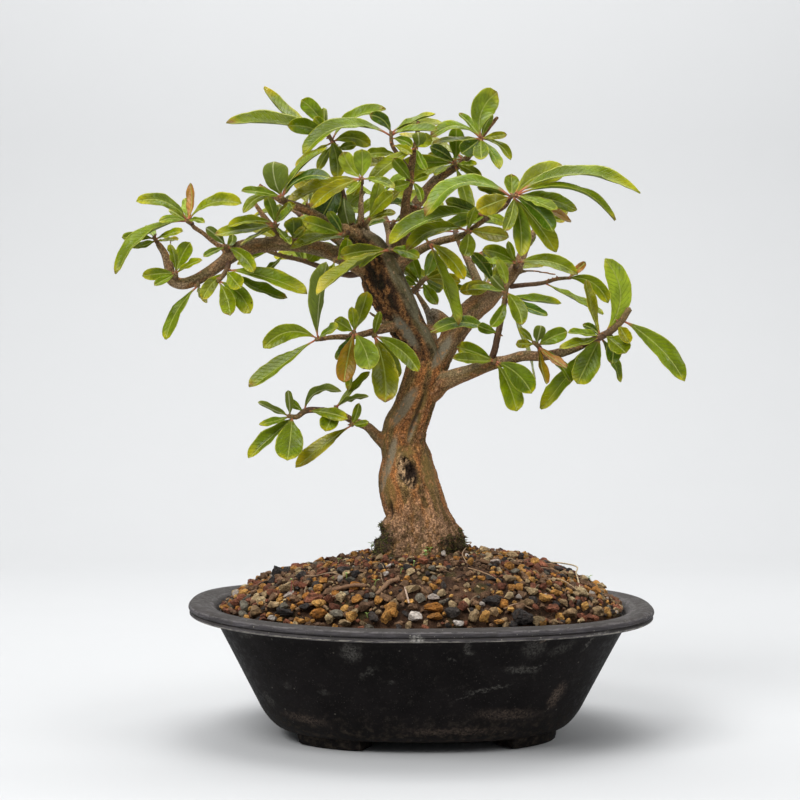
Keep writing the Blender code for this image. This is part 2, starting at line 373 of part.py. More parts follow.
# Sprays behind the tree, each on a branch: (branch, how far along it, height of the stem's end
# above it, which way it grows from it to the right and to the back, number of leaves).
BACK_SPRAYS = {
    "back_middle_end": ("back_middle", 1.00, 4, 0.0, 5, 5),
    "back_middle_high": ("back_middle", 0.62, 8, 2.0, 2, 4),
    "back_middle_low": ("back_middle", 0.40, -4, -6.0, 4, 3),
    "back_left_end": ("back_left", 1.00, 3, -4.0, 4, 5),
    "back_left_high": ("back_left", 0.60, 7, 3.0, 3, 3),
    "back_left_low": ("back_left", 0.42, -6, -3.0, 5, 3),
    "back_right_end": ("back_right", 1.00, 4, 0.0, 5, 5),
    "back_right_high": ("back_right", 0.60, 7, 4.0, 3, 3),
    "back_right_low": ("back_right", 0.45, -6, 5.0, 4, 3),
    "back_low_end": ("back_low", 1.00, 3, 0.0, 5, 4),
    "behind_left_upper": ("left_upper", 0.55, 3, -1.0, 8, 3),
    "behind_big_left": ("big_left", 0.42, 2, 1.0, 9, 4),
    "behind_branch_b": ("branch_b", 0.62, 3, 1.0, 8, 4),
    "behind_branch_a": ("branch_a", 0.55, 3, -3.0, 8, 3),
    "behind_stump": ("left_leader", 0.93, 4, -4.0, 10, 3),
}
BACK_TRIES = 90
BACK_REACH = 86.0

# Leaf looks, as the mean colour of the blade. A leaf marked under shows its underside.
TONES = {
    "green": (0.10, 0.19, 0.02), "pale": (0.25, 0.34, 0.09), "olive": (0.20, 0.25, 0.03),
    "dark": (0.05, 0.11, 0.015), "yellow": (0.34, 0.36, 0.04), "orange": (0.50, 0.28, 0.02),
    "dry": (0.35, 0.17, 0.05), "under": (0.17, 0.25, 0.11)}

# The bowl's section from its foot up the outside, over the rim and down the inside, and a foot's
# section from its outside down and in: half length, half depth, height
BOWL_SECTION = (
    (66, 49, FOOT_HEIGHT), (74, 57, 8), (80, 62.5, 15), (101.5, 77, 55), (105, 80.5, 58.2),
    (HALF_LENGTH - 1.5, HALF_DEPTH - 1.5, 58.6), (HALF_LENGTH, HALF_DEPTH, 60.6),
    (HALF_LENGTH - 0.4, HALF_DEPTH - 0.4, 63.2), (HALF_LENGTH - 2, HALF_DEPTH - 2, RIM_TOP),
    (104.5, 80, RIM_TOP), (101.3, 76.8, 62.8), (77, 59.5, 15), (73, 55.5, 10.4), (66, 49, FLOOR_TOP))
FOOT_SECTION = ((70, 53, FOOT_HEIGHT + 2), (68, 51, 0), (57, 40, 0), (56, 39, FOOT_HEIGHT + 2))
SOIL_SECTION = ((64.5, 47.5, FLOOR_TOP + GAP), (76.4, 58.9, 15), (99.6, 75.1, SOIL_EDGE))

# The hollows in the trunk: across, down and depth of the middle, half sizes, lean in degrees
KNOT = ((204.5, 236, -15.2), (4.0, 4.5, 8.0), -12)
SMALL_HOLLOW = ((195.5, 254.5, -8.5), (2.6, 3.4, 3.6), 10)
BALL_LEVELS = 6
BALL_SIDES = 10


def seen(across, down, depth):
    """The point that shows at (across, down) in the front view and lies that far behind the trunk."""
    reach = (EYE_AWAY + depth) / EYE_AWAY
    right = EYE_RIGHT + (across - EYE_ACROSS) * reach
    up = EYE_HEIGHT + (EYE_DOWN - down) * reach
    return Vector((right, depth, up))


def oval(half_length, half_depth, sides):
    """Points of a squarish oval, going round from the right-hand end."""
    points = []
    for step in range(sides):
        turn = 2 * math.pi * step / sides
        across = abs(math.cos(turn)) ** (2 / POT_SQUARENESS)
        back = abs(math.sin(turn)) ** (2 / POT_SQUARENESS)
        points.append((math.copysign(half_length * across, math.cos(turn)),
                       math.copysign(half_depth * back, math.sin(turn))))
    return points


def loft(rings):
    """Faces between rings of equal count, in order, with a flat face on the first and last ring."""
    count = len(rings[0])
    points = [point for ring in rings for point in ring]
    faces = [tuple(reversed(range(count)))]
    for level in range(len(rings) - 1):
        for step in range(count):
            here = level * count + step
            beside = level * count + (step + 1) % count
            faces.append((here, beside, beside + count, here + count))
    last = (len(rings) - 1) * count
    faces.append(tuple(range(last, last + count)))
    return points, faces


def sides_for(thickness):
    """Fewer sides on thinner wood."""
    for limit, sides in SIDES:
        if thickness < limit:
            return sides
    return TRUNK_SIDES


def fluting(turn, height, thickness):
    """The trunk's lobes: deep where the roots spread, shallow above."""
    if thickness < FLUTED_FROM:
        return 1.0
    spread = max(0.0, min(1.0, (ROOTS_START - height) / (ROOTS_START - ROOTS_FULL)))
    roots = 0.10 * math.cos(5 * turn + 0.6) + 0.05 * math.cos(9 * turn + 2.0)
    ribs = 0.035 * math.cos(3 * turn + height / 24) + 0.02 * math.cos(7 * turn - height / 15)
    return 1.0 + spread * roots + ribs


def tube(places, extra=0.0, sides=None):
    """A branch through places, each (point, thickness), with flat ends."""
    count = sides or sides_for(max(thickness for point, thickness in places))
    rings = []
    across = Vector((1, 0, 0))
    for index, (point, thickness) in enumerate(places):
        before = places[max(index - 1, 0)][0]
        after = places[min(index + 1, len(places) - 1)][0]
        along = (after - before).normalized()
        across = across - along * across.dot(along)
        if across.length < 0.2:
            across = along.cross(Vector((0, 1, 0)))
        across.normalize()
        back = along.cross(across)
        ring = []
        for step in range(count):
            turn = 2 * math.pi * step / count
            radius = (thickness / 2) * fluting(turn, point.z, thickness) + extra
            ring.append(point + (across * math.cos(turn) + back * math.sin(turn)) * radius)
        rings.append(ring)
    return loft(rings)


def branch_places(rows):
    """Points and thicknesses of a branch given in the front view."""
    return [(seen(across, down, depth), thickness) for across, down, depth, thickness in rows]


def walk(places, distance):
    """The point and thickness at a distance along a branch."""
    for (start, thick_start), (end, thick_end) in zip(places, places[1:]):
        span = (end - start).length
        if distance <= span:
            share = distance / span
            return start.lerp(end, share), thick_start + (thick_end - thick_start) * share
        distance -= span
    return places[-1]


def route_length(places):
    """Length of a branch along its middle."""
    return sum((end[0] - start[0]).length for start, end in zip(places, places[1:]))


def leaf_middle(root, tip, rise):
    """The middle line of a leaf as a curve: a function of the share of its length."""
    chord = tip - root
    side = Vector((-chord.z, 0, chord.x)).normalized()
    hangs = abs(chord.x) < 0.5 * abs(chord.z)
    if (side.x if hangs else side.z) < 0:
        side = -side
    crown = (root + tip) / 2 + side * 2 * rise

    def middle(share):
        return root * (1 - share) ** 2 + crown * 2 * share * (1 - share) + tip * share ** 2
    return middle


def leaf_face(root, tip, seen_width, width, shows_under, twist):
    """The way the upper side of a leaf faces at its middle."""
    along = (tip - root).normalized()
    viewer = Vector((0, -1, 0))
    toward = viewer - along * along.dot(viewer)
    if toward.length < 0.05:
        toward = Vector((0, 0, 1)) - along * along.z
    toward.normalize()
    above = along.cross(toward)
    outward = Vector((math.copysign(0.6, root.x), 0, 1))
    if above.dot(outward) < 0:
        above = -above
    turned = math.asin(min(1.0, seen_width / width)) + math.radians(twist)
    front = -1 if shows_under else 1
    return toward * math.sin(turned) * front + above * math.cos(turned)


def leaf_width(root, tip, seen_width):
    """The real width of a leaf, at least the width that is seen."""
    natural = LEAF_NATURAL_WIDTH * (tip - root).length
    return max(seen_width, min(natural, LEAF_WIDEST))


def stations_from(start, length):
    """The stations of a leaf from a share of its length on, with one at the cut."""
    whole = SHORT_STATIONS if length < SHORT_LEAF else LEAF_STATIONS
    for (near, narrow), (far, broad) in zip(whole, whole[1:]):
        if near <= start < far:
            cut = narrow + (broad - narrow) * (start - near) / (far - near)
            return [(start, cut)] + [station for station in whole if station[0] > start]
    raise ValueError("a leaf can't start that near its tip")


def leaf(root, tip, seen_width, rise, tone, twist=0.0, extra=0.0, start=0.0):
    """One leaf as points and faces: a short stalk, and a blade with its rib as a keel below."""
    width = leaf_width(root, tip, seen_width)
    middle = leaf_middle(root, tip, rise)
    face = leaf_face(root, tip, seen_width, width, tone == "under", twist)
    stations = stations_from(start, (tip - root).length)
    points = []
    for share, broad in stations:
        along = (middle(min(share + 0.04, 1.0)) - middle(max(share - 0.04, 0.0))).normalized()
        up = (face - along * along.dot(face)).normalized()
        side = along.cross(up)
        half = max(broad * width, STALK_WIDTH) / 2 + extra
        thick = STALK_WIDTH + (LEAF_THICKNESS - STALK_WIDTH) * min(1.0, broad)
        point = middle(share) + up * extra
        points += [point - side * half, point + side * half, point - up * (thick + 2 * extra)]
    points.append(middle(1.0) + (middle(1.0) - middle(0.95)).normalized() * extra)
    faces = [(0, 1, 2)]
    last = 3 * (len(stations) - 1)
    for left in range(0, last, 3):
        right, keel = left + 1, left + 2
        faces += [(left, left + 3, right + 3), (left, right + 3, right), (left, keel, keel + 3),
                  (left, keel + 3, left + 3), (right, right + 3, keel + 3), (right, keel + 3, keel)]
    faces += [(last, last + 3, last + 1), (last, last + 2, last + 3), (last + 1, last + 3, last + 2)]
    return points, faces


class Shape:
    """Points and faces of one closed piece, with what is needed to tell whether another is clear."""

    def __init__(self, points, faces):
        self.low = [min(point[axis] for point in points) for axis in range(3)]
        self.high = [max(point[axis] for point in points) for axis in range(3)]
        self.tree = BVHTree.FromPolygons(points, faces)

    def meets(self, other):
        """Whether the surfaces of two shapes cross."""
        for axis in range(3):
            if self.low[axis] > other.high[axis] or self.high[axis] < other.low[axis]:
                return False
        return bool(self.tree.overlap(other.tree))


class Tree:
    """The wood and leaves placed so far, which each new leaf keeps clear of."""

    def __init__(self):
        self.wood = [Shape(*tube(branch_places(rows))) for rows in BRANCHES.values()]
        self.taken = []
        self.leaves = {}
        self.stems = {}

    def clear(self, shape, spray):
        """Whether a shape keeps clear of the wood and of the other sprays."""
        if any(shape.meets(branch) for branch in self.wood):
            return False
        return not any(owner != spray and shape.meets(other) for owner, other, outer in self.taken)

    def add_stem(self, spray, places):
        """Start a stem just outside the bark, keep it, and return its points and thicknesses."""
        length = route_length(places)
        start = 0.0
        while start < length - 1.0:
            kept = [walk(places, start)]
            passed = 0.0
            for begin, end in zip(places, places[1:]):
                passed += (end[0] - begin[0]).length
                if passed > start + 0.5:
                    kept.append(end)
            shape = Shape(*tube(kept, GAP, 6))
            if self.clear(shape, spray):
                self.taken.append((spray, shape, shape))
                self.stems[spray] = kept
                self.leaves[spray] = []
                return
            start += 0.2
        raise RuntimeError("no free way for the stem of " + spray)

    def nearest_on_stem(self, spray, point):
        """The place on a spray's stem that lies nearest to a point, a little in from its ends."""
        places = self.stems[spray]
        length = route_length(places)
        shares = [0.3 + 0.65 * step / 40 for step in range(41)]
        spots = [walk(places, share * length) for share in shares]
        return min(spots, key=lambda spot: (spot[0] - point).length)[0]

    def try_leaf(self, spray, row, start):
        """Keep a leaf if it is clear of other sprays, and from start on of its own spray's leaves."""
        shape = Shape(*leaf(*row, LEAF_ROOM))
        if not self.clear(shape, spray):
            return False
        outer = Shape(*leaf(*row, LEAF_ROOM, start))
        if any(owner == spray and part is not other and outer.meets(other)
               for owner, part, other in self.taken):
            return False
        self.taken.append((spray, shape, Shape(*leaf(*row, LEAF_ROOM, STALK_END))))
        self.leaves[spray].append(row)
        return True

    def add_seen_leaf(self, spray, row):
        """Place a leaf of the front view, swung nearer or further until it is clear."""
        base_across, base_down, tip_across, tip_down, back, seen_width, rise, tone = row
        depth = self.stems[spray][-1][0].y
        root = self.nearest_on_stem(spray, seen(base_across, base_down, depth))
        for start in (STALK_END, BLADE_START):
            for swing in SWINGS:
                tip = seen(tip_across, tip_down, root.y + back + swing)
                for twist in TWISTS:
                    if self.try_leaf(spray, (root, tip, seen_width, rise, tone, twist), start):
                        return True
        return False

    def hidden(self, point):
        """Whether the front foliage or wood hides a point from the front."""
        eye = Vector((EYE_RIGHT, -EYE_AWAY, EYE_HEIGHT))
        ray = point - eye
        reach = ray.length
        ray.normalize()
        for other in [part for owner, part, outer in self.front] + self.wood:
            hit = other.tree.ray_cast(eye, ray, reach - 3)
            if hit[0] is not None:
                return True
        return False

    def add_back_leaf(self, spray, draw):
        """Place a leaf of a back spray at random where the front foliage hides it."""
        for attempt in range(BACK_TRIES):
            root = walk(self.stems[spray], draw.uniform(0.45, 0.95) * route_length(self.stems[spray]))[0]
            turn = draw.uniform(0, 2 * math.pi)
            lift = draw.uniform(-0.5, 0.7)
            length = draw.uniform(24, 44) * (1 - 0.4 * attempt / BACK_TRIES)
            away = Vector((math.cos(turn), 0.35 + math.sin(turn), lift)).normalized()
            tip = root + away * length
            rise = draw.uniform(1, 6)
            middle = leaf_middle(root, tip, rise)
            tone = draw.choice(("green", "green", "olive", "dark", "pale", "yellow"))
            width = min(LEAF_NATURAL_WIDTH * length, LEAF_WIDEST)
            twist = draw.uniform(-35, 10)
            if tip.y > BACK_REACH or not all(self.hidden(middle(share)) for share in (0.35, 0.65, 1.0)):
                continue
            if self.try_leaf(spray, (root, tip, width * 0.8, rise, tone, twist), STALK_END):
                return True
        return False


def grow():
    """Place every spray: stems first, then the leaves seen from the front, then those behind."""
    tree = Tree()
    missing = []
    for spray, (stem, rows) in SPRAYS.items():
        tree.add_stem(spray, branch_places(stem))
    for spray, (stem, rows) in SPRAYS.items():
        for row in rows:
            if not tree.add_seen_leaf(spray, row):
                missing.append((spray, row[2], row[3]))
    tree.front = list(tree.taken)
    draw = random.Random(SEED)
    for spray, (branch, share, up, right, back, count) in BACK_SPRAYS.items():
        places = branch_places(BRANCHES[branch])
        start = walk(places, share * route_length(places) - 0.5)[0]
        end = start + Vector((right, back, up))
        tree.add_stem(spray, [(start, 2.8), (end, 2.2)])
    for spray, (branch, share, up, right, back, count) in BACK_SPRAYS.items():
        for number in range(count):
            if not tree.add_back_leaf(spray, draw):
                missing.append((spray, number, count))
    return tree, missing


def material(name, colour, roughness, metallic=0.0):
    """A plain material with one colour."""
    made = bpy.data.materials.new(name)
    made.use_nodes = True
    shader = made.node_tree.nodes["Principled BSDF"]
    shader.inputs["Base Color"].default_value = (*colour, 1.0)
    shader.inputs["Roughness"].default_value = roughness
    shader.inputs["Metallic"].default_value = metallic
    return made


def add_object(name, points, faces, finish=None):
    """A mesh object from points in millimetres."""
    mesh = bpy.data.meshes.new(name)
    mesh.from_pydata([tuple(axis * MM for axis in point) for point in points], [], faces)
    mesh.validate()
    mesh.update()
    made = bpy.data.objects.new(name, mesh)
    if finish:
        mesh.materials.append(finish)
    bpy.context.scene.collection.objects.link(made)
    return made


def combine(target, tools, operation, solver="EXACT"):
    """Join tools to a target, or cut them from it, in one Boolean, and remove them."""
    group = bpy.data.collections.new("tools")
    bpy.context.scene.collection.children.link(group)
    for tool in tools:
        bpy.context.scene.collection.objects.unlink(tool)
        group.objects.link(tool)
    change = target.modifiers.new("combine", "BOOLEAN")
    change.operation = operation
    change.operand_type = "COLLECTION"
    change.collection = group
    change.solver = solver
    graph = bpy.context.evaluated_depsgraph_get()
    result = bpy.data.meshes.new_from_object(target.evaluated_get(graph))
    target.modifiers.clear()
    target.data = result
    for tool in tools:
        bpy.data.objects.remove(tool)
    bpy.data.collections.remove(group)


def keep_outer_body(target):
    """Drop loose scraps and fill sealed hollows: keep only the largest body of a fused object."""
    work = bmesh.new()
    work.from_mesh(target.data)
    left = set(work.verts)
    bodies = []
    while left:
        edge_of_body = [left.pop()]
        body = set(edge_of_body)
        while edge_of_body:
            point = edge_of_body.pop()
            for edge in point.link_edges:
                other = edge.other_vert(point)
                if other in left:
                    left.remove(other)
                    body.add(other)
                    edge_of_body.append(other)
        bodies.append(body)
    largest = max(bodies, key=len)
    scraps = [point for body in bodies if body is not largest for point in body]
    bmesh.ops.delete(work, geom=scraps, context="VERTS")
    work.to_mesh(target.data)
    work.free()


def finish_smooth(target, degrees):
    """Smooth shading with sharp edges kept."""
    target.data.shade_smooth()
    target.data.set_sharp_from_angle(angle=math.radians(degrees))


def bowl_ring(half_length, half_depth, height):
    """One ring of the bowl. Its rim stands a little higher at the two ends than in the middle."""
    share = max(0.0, height - STRAIGHT_BELOW) / (RIM_TOP - STRAIGHT_BELOW)
    return [Vector((x, y, height + RIM_LIFT * share * (x / HALF_LENGTH) ** 2))
            for x, y in oval(half_length, half_depth, POT_SIDES)]


def pot_foot(side, front):
    """One foot of the pot: a short curved block under the edge of its floor.

    The feet stand a little askew, so the front right and the back left one lie nearer the pot's ends.
    """
    first, last = FOOT_TURNS[side * front < 0]
    sections = []
    for step in range(FOOT_STEPS + 1):
        turn = math.radians(first + (last - first) * step / FOOT_STEPS)
        across = math.cos(turn) ** (2 / POT_SQUARENESS) * side
        back = math.sin(turn) ** (2 / POT_SQUARENESS) * front
        sections.append([Vector((half_length * across, half_depth * back, height))
                         for half_length, half_depth, height in FOOT_SECTION])
    if side * front < 0:
        sections.reverse()
    return loft(sections)


def drain(side):
    """A round rod where one drain is cut through the floor."""
    rings = []
    for height in (0.0, 2 * FLOOR_TOP):
        ring = []
        for step in range(DRAIN_SIDES):
            turn = 2 * math.pi * step / DRAIN_SIDES
            ring.append(Vector((side * DRAIN_APART / 2 + math.cos(turn) * DRAIN_WIDTH / 2,
                                math.sin(turn) * DRAIN_WIDTH / 2, height)))
        rings.append(ring)
    return loft(rings)


def make_pot():
    """The bowl: outer wall, flared rim, inner wall and floor, with four feet and two drains."""
    pot = add_object("pot", *loft([bowl_ring(*row) for row in BOWL_SECTION]),
                     material("pot_plastic", (0.022, 0.019, 0.018), 0.55))
    feet = [add_object("foot", *pot_foot(side, front)) for side in (-1, 1) for front in (-1, 1)]
    combine(pot, feet, "UNION")
    combine(pot, [add_object("drain", *drain(side)) for side in (-1, 1)], "DIFFERENCE")
    finish_smooth(pot, 40)
    return pot


def soil_height(x, y, share, draw):
    """Height of the mound, which dips on its left and is rough with gravel."""
    mound = MOUND_FOOT + MOUND_HEIGHT * (1 - share ** MOUND_POWER)
    dip = DIP_DEPTH * math.exp(-((x - DIP_MIDDLE) / DIP_HALF_WIDTH) ** 2) * (1 - share ** MOUND_POWER)
    stones = noise.voronoi(Vector((x, y, 0)) / GRAVEL_SIZE)[0]
    gravel = GRAVEL_HEIGHT * (0.5 - min(1.0, stones[0] * GRAVEL_PACKING))
    return mound - dip + gravel + draw.uniform(-ROUGHNESS, ROUGHNESS)


def hole_rings():
    """The hole that the trunk stands in, from the soil's surface down: the trunk's own outline."""
    points, faces = tube(branch_places(BRANCHES["trunk"][:5]), GAP + HOLE_ROOM)
    outlines = [points[start:start + TRUNK_SIDES] for start in range(0, len(points), TRUNK_SIDES)]
    foot, low, middle, high, above = outlines
    top = [near.lerp(far, 0.6) for near, far in zip(middle, high)]
    bottom = [point - Vector((0, 0, HOLE_BELOW)) for point in foot]
    rings = []
    for outline in (top, middle, low, bottom):
        ring = []
        for step in range(POT_SIDES):
            corner, part = divmod(step, POT_SIDES // TRUNK_SIDES)
            beside = outline[(corner + 1) % TRUNK_SIDES]
            ring.append(outline[corner].lerp(beside, part * TRUNK_SIDES / POT_SIDES))
        rings.append(ring)
    return rings


def make_soil():
    """The mound, following the pot's inner wall, with a hole for the trunk."""
    draw = random.Random(SEED)
    rings = []
    for half_length, half_depth, height in SOIL_SECTION:
        rings.append([Vector((x, y, height)) for x, y in oval(half_length, half_depth, POT_SIDES)])
    hole = hole_rings()
    rim = oval(MOUND_HALF_LENGTH, MOUND_HALF_DEPTH, POT_SIDES)
    for ring in range(SOIL_RINGS):
        share = 1 - ring / SOIL_RINGS
        from_middle = INNER_SHARE + (1 - INNER_SHARE) * share
        points = []
        for (x, y), inside in zip(rim, hole[0]):
            wobble = draw.uniform(-ROUGHNESS, ROUGHNESS) if ring else 0.0
            across = inside.x + (x - inside.x) * share + wobble
            back = inside.y + (y - inside.y) * share - wobble
            points.append(Vector((across, back, soil_height(across, back, from_middle, draw))))
        rings.append(points)
    return add_object("soil", *loft(rings + hole), material("earth", (0.09, 0.055, 0.035), 0.95))


def ball(centre, radii, tilt):
    """A low ball, stretched, and leaning sideways by tilt degrees."""
    lean = math.radians(tilt)
    rings = []
    for level in range(1, BALL_LEVELS):
        down = math.pi * level / BALL_LEVELS
        ring = []
        for step in range(BALL_SIDES):
            turn = 2 * math.pi * step / BALL_SIDES
            point = Vector((math.sin(down) * math.cos(turn) * radii[0],
                            math.sin(down) * math.sin(turn) * radii[1], -math.cos(down) * radii[2]))
            ring.append(centre + Vector((point.x * math.cos(lean) + point.z * math.sin(lean), point.y,
                                         point.z * math.cos(lean) - point.x * math.sin(lean))))
        rings.append(ring)
    return loft(rings)


def make_wood():
    """Trunk and branches joined in one piece, with the knot hollow and a small hole cut in."""
    finish = material("bark", (0.16, 0.105, 0.065), 0.85)
    pieces = [add_object(name, *tube(branch_places(rows)), finish) for name, rows in BRANCHES.items()]
    wood = pieces[0]
    combine(wood, pieces[1:], "UNION")
    hollows = [add_object("hollow", *ball(seen(*middle), radii, tilt))
               for middle, radii, tilt in (KNOT, SMALL_HOLLOW)]
    combine(wood, hollows, "DIFFERENCE")
    wood.name = "wood"
    finish_smooth(wood, 50)
    return wood


def spray_colour(leaves):
    """The mean of the leaves' tones."""
    if not leaves:
        return (0.12, 0.08, 0.05)
    tones = [TONES[row[4]] for row in leaves]
    return tuple(sum(tone[channel] for tone in tones) / len(tones) for channel in range(3))


def make_spray(tree, spray):
    """One spray: its stem with all its leaves fused on."""
    finish = material(spray + "_leaf", spray_colour(tree.leaves[spray]), 0.42)
    made = add_object(spray, *tube(tree.stems[spray]), finish)
    blades = []
    for number, row in enumerate(tree.leaves[spray]):
        blades.append(add_object("blade_%d" % number, *leaf(*row), finish))
    if blades:
        combine(made, blades, "UNION")
        keep_outer_body(made)
    finish_smooth(made, 35)
    return made


def stand_on_origin(pieces):
    """Move everything so that the middle of its footprint is over the origin."""
    corners = [piece.matrix_world @ Vector(corner) for piece in pieces for corner in piece.bound_box]
    middle_x = (min(corner.x for corner in corners) + max(corner.x for corner in corners)) / 2
    middle_y = (min(corner.y for corner in corners) + max(corner.y for corner in corners)) / 2
    lowest = min(corner.z for corner in corners)
    for piece in pieces:
        for point in piece.data.vertices:
            point.co -= Vector((middle_x, middle_y, lowest))
        piece.data.update()


def main():
    for old in list(bpy.data.objects):
        bpy.data.objects.remove(old)
    tree, missing = grow()
    pieces = [make_pot(), make_soil(), make_wood()]
    for spray in tree.stems:
        pieces.append(make_spray(tree, spray))
    stand_on_origin(pieces)
    placed = sum(len(rows) for rows in tree.leaves.values())
    print("leaves placed:", placed, "not placed:", missing)


main()
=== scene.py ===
"""Looks of the pomegranate bonsai, laid out as a Blender add-on and run as a script.

Each operator makes one piece, or a group of like pieces, round the packed model: the pot, the earth, the
gravel, the wood, the leafy sprays, the moss, the seedlings and straw, and the stage. Lengths are in
millimetres from the middle of the pot's underside and turned into metres when a mesh is made.
"""
import itertools
import math
import random
from collections import namedtuple

import bmesh
import bpy
import numpy as np
from bpy.props import FloatProperty, FloatVectorProperty, IntProperty, PointerProperty
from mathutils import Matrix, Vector
from mathutils.bvhtree import BVHTree


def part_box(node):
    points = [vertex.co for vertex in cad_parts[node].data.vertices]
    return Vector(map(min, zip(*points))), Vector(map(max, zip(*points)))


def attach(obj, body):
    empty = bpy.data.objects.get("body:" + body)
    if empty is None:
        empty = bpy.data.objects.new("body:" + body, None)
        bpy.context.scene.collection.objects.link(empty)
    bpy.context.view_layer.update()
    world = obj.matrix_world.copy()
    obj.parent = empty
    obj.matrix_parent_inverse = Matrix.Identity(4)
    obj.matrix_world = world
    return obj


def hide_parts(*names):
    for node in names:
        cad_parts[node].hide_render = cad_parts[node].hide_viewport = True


bl_info = {
    "name": "Pomegranate bonsai looks",
    "version": (1, 0, 0),
    "blender": (4, 5, 0),
    "location": "3D View > Sidebar > Bonsai",
    "description": "Dresses the bonsai's solids with bark, leaves, gravel, moss and a moulded pot",
    "category": "Object",
}

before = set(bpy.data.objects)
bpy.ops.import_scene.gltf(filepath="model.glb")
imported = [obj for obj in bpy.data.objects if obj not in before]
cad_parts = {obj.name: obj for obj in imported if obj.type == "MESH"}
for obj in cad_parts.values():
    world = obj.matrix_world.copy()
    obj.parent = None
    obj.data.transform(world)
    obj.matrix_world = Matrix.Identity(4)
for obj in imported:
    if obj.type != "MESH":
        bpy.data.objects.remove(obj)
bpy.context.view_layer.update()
POT_LOW, POT_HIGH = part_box("pot")
MIDDLE = Vector(((POT_LOW.x + POT_HIGH.x) / 2, (POT_LOW.y + POT_HIGH.y) / 2, POT_LOW.z))

MM = 0.001
GAP = 0.35
SEED = 7

# The front view that places on the tree are given in: across from its left edge and down from its
# top edge, at true size for what stands as far away as the trunk.
EYE_AWAY = 900.0
EYE_RIGHT = -10.5
EYE_HEIGHT = 183.7
EYE_ACROSS = 200.0
EYE_DOWN = 182.5
EYE_DIPS = 1.114
LENS = 81.0
SENSOR = 36.0

# Pot
POT_SQUARENESS = 2.4
HALF_LENGTH = 115.5
RIM_TOP = 64.2
RIM_LIFT = 2.0
# Between which turns round the oval a foot lies: front left and back right, front right and back left
FOOT_TURNS = ((33.0, 69.0), (20.0, 55.0))
FOOT_STEPS = 16
FLOOR_TOP = 8.2
STRAIGHT_BELOW = 15.0
INNER_HALF = (99.6, 75.1)
DRAIN_WIDTH = 12.0
DRAIN_APART = 66.0
DRAIN_SIDES = 48
SHARP_FROM = 42

# Soil
MOUND_HALF = (98.2, 73.7)
# Depths at which a line of sight is tried against the soil: first, last and step
MOUND_DEPTHS = (-74.0, 74.0, 0.4)
STRAW_HALF = (96.0, 71.5)
GRAVEL_HALF = (98.0, 73.5)
BED_HALF = (98.6, 74.1)
TRUNK_ROOM = 22.0
MOUND_FOOT = 63.0
MOUND_HEIGHT = 28.0
MOUND_POWER = 3.0
DIP_MIDDLE = -54.0
DIP_HALF_WIDTH = 26.0
DIP_DEPTH = 4.4

# Wood. The frame of a line starts afresh where less than this of its way across is left.
LEAST_ACROSS = 0.2
TRUNK_SIDES = 12
SIDES = ((2.9, 4), (5.0, 5), (8.9, 6), (14.5, 8))
FLUTED_FROM = 14.0
ROOTS_START = 110.0
ROOTS_FULL = 88.0

# Leaves
LEAF_THICKNESS = 1.25
LEAF_NATURAL_WIDTH = 0.27
LEAF_WIDEST = 12.5
STALK_WIDTH = 1.0
LEAF_STATIONS = ((0.0, 0.0), (0.38, 0.80), (0.67, 1.0), (0.90, 0.62))
SHORT_LEAF = 17.0
SHORT_STATIONS = ((0.0, 0.0), (0.52, 1.0), (0.88, 0.64))
LEAF_ROOM = 0.25
STALK_END = 0.14
BLADE_START = 0.38
SWINGS = (0, -4, 4, -8, 8, -12, 12, -16, 16, -21, 21, -27, 27, -34, 34)
TWISTS = (0, 14, -14)

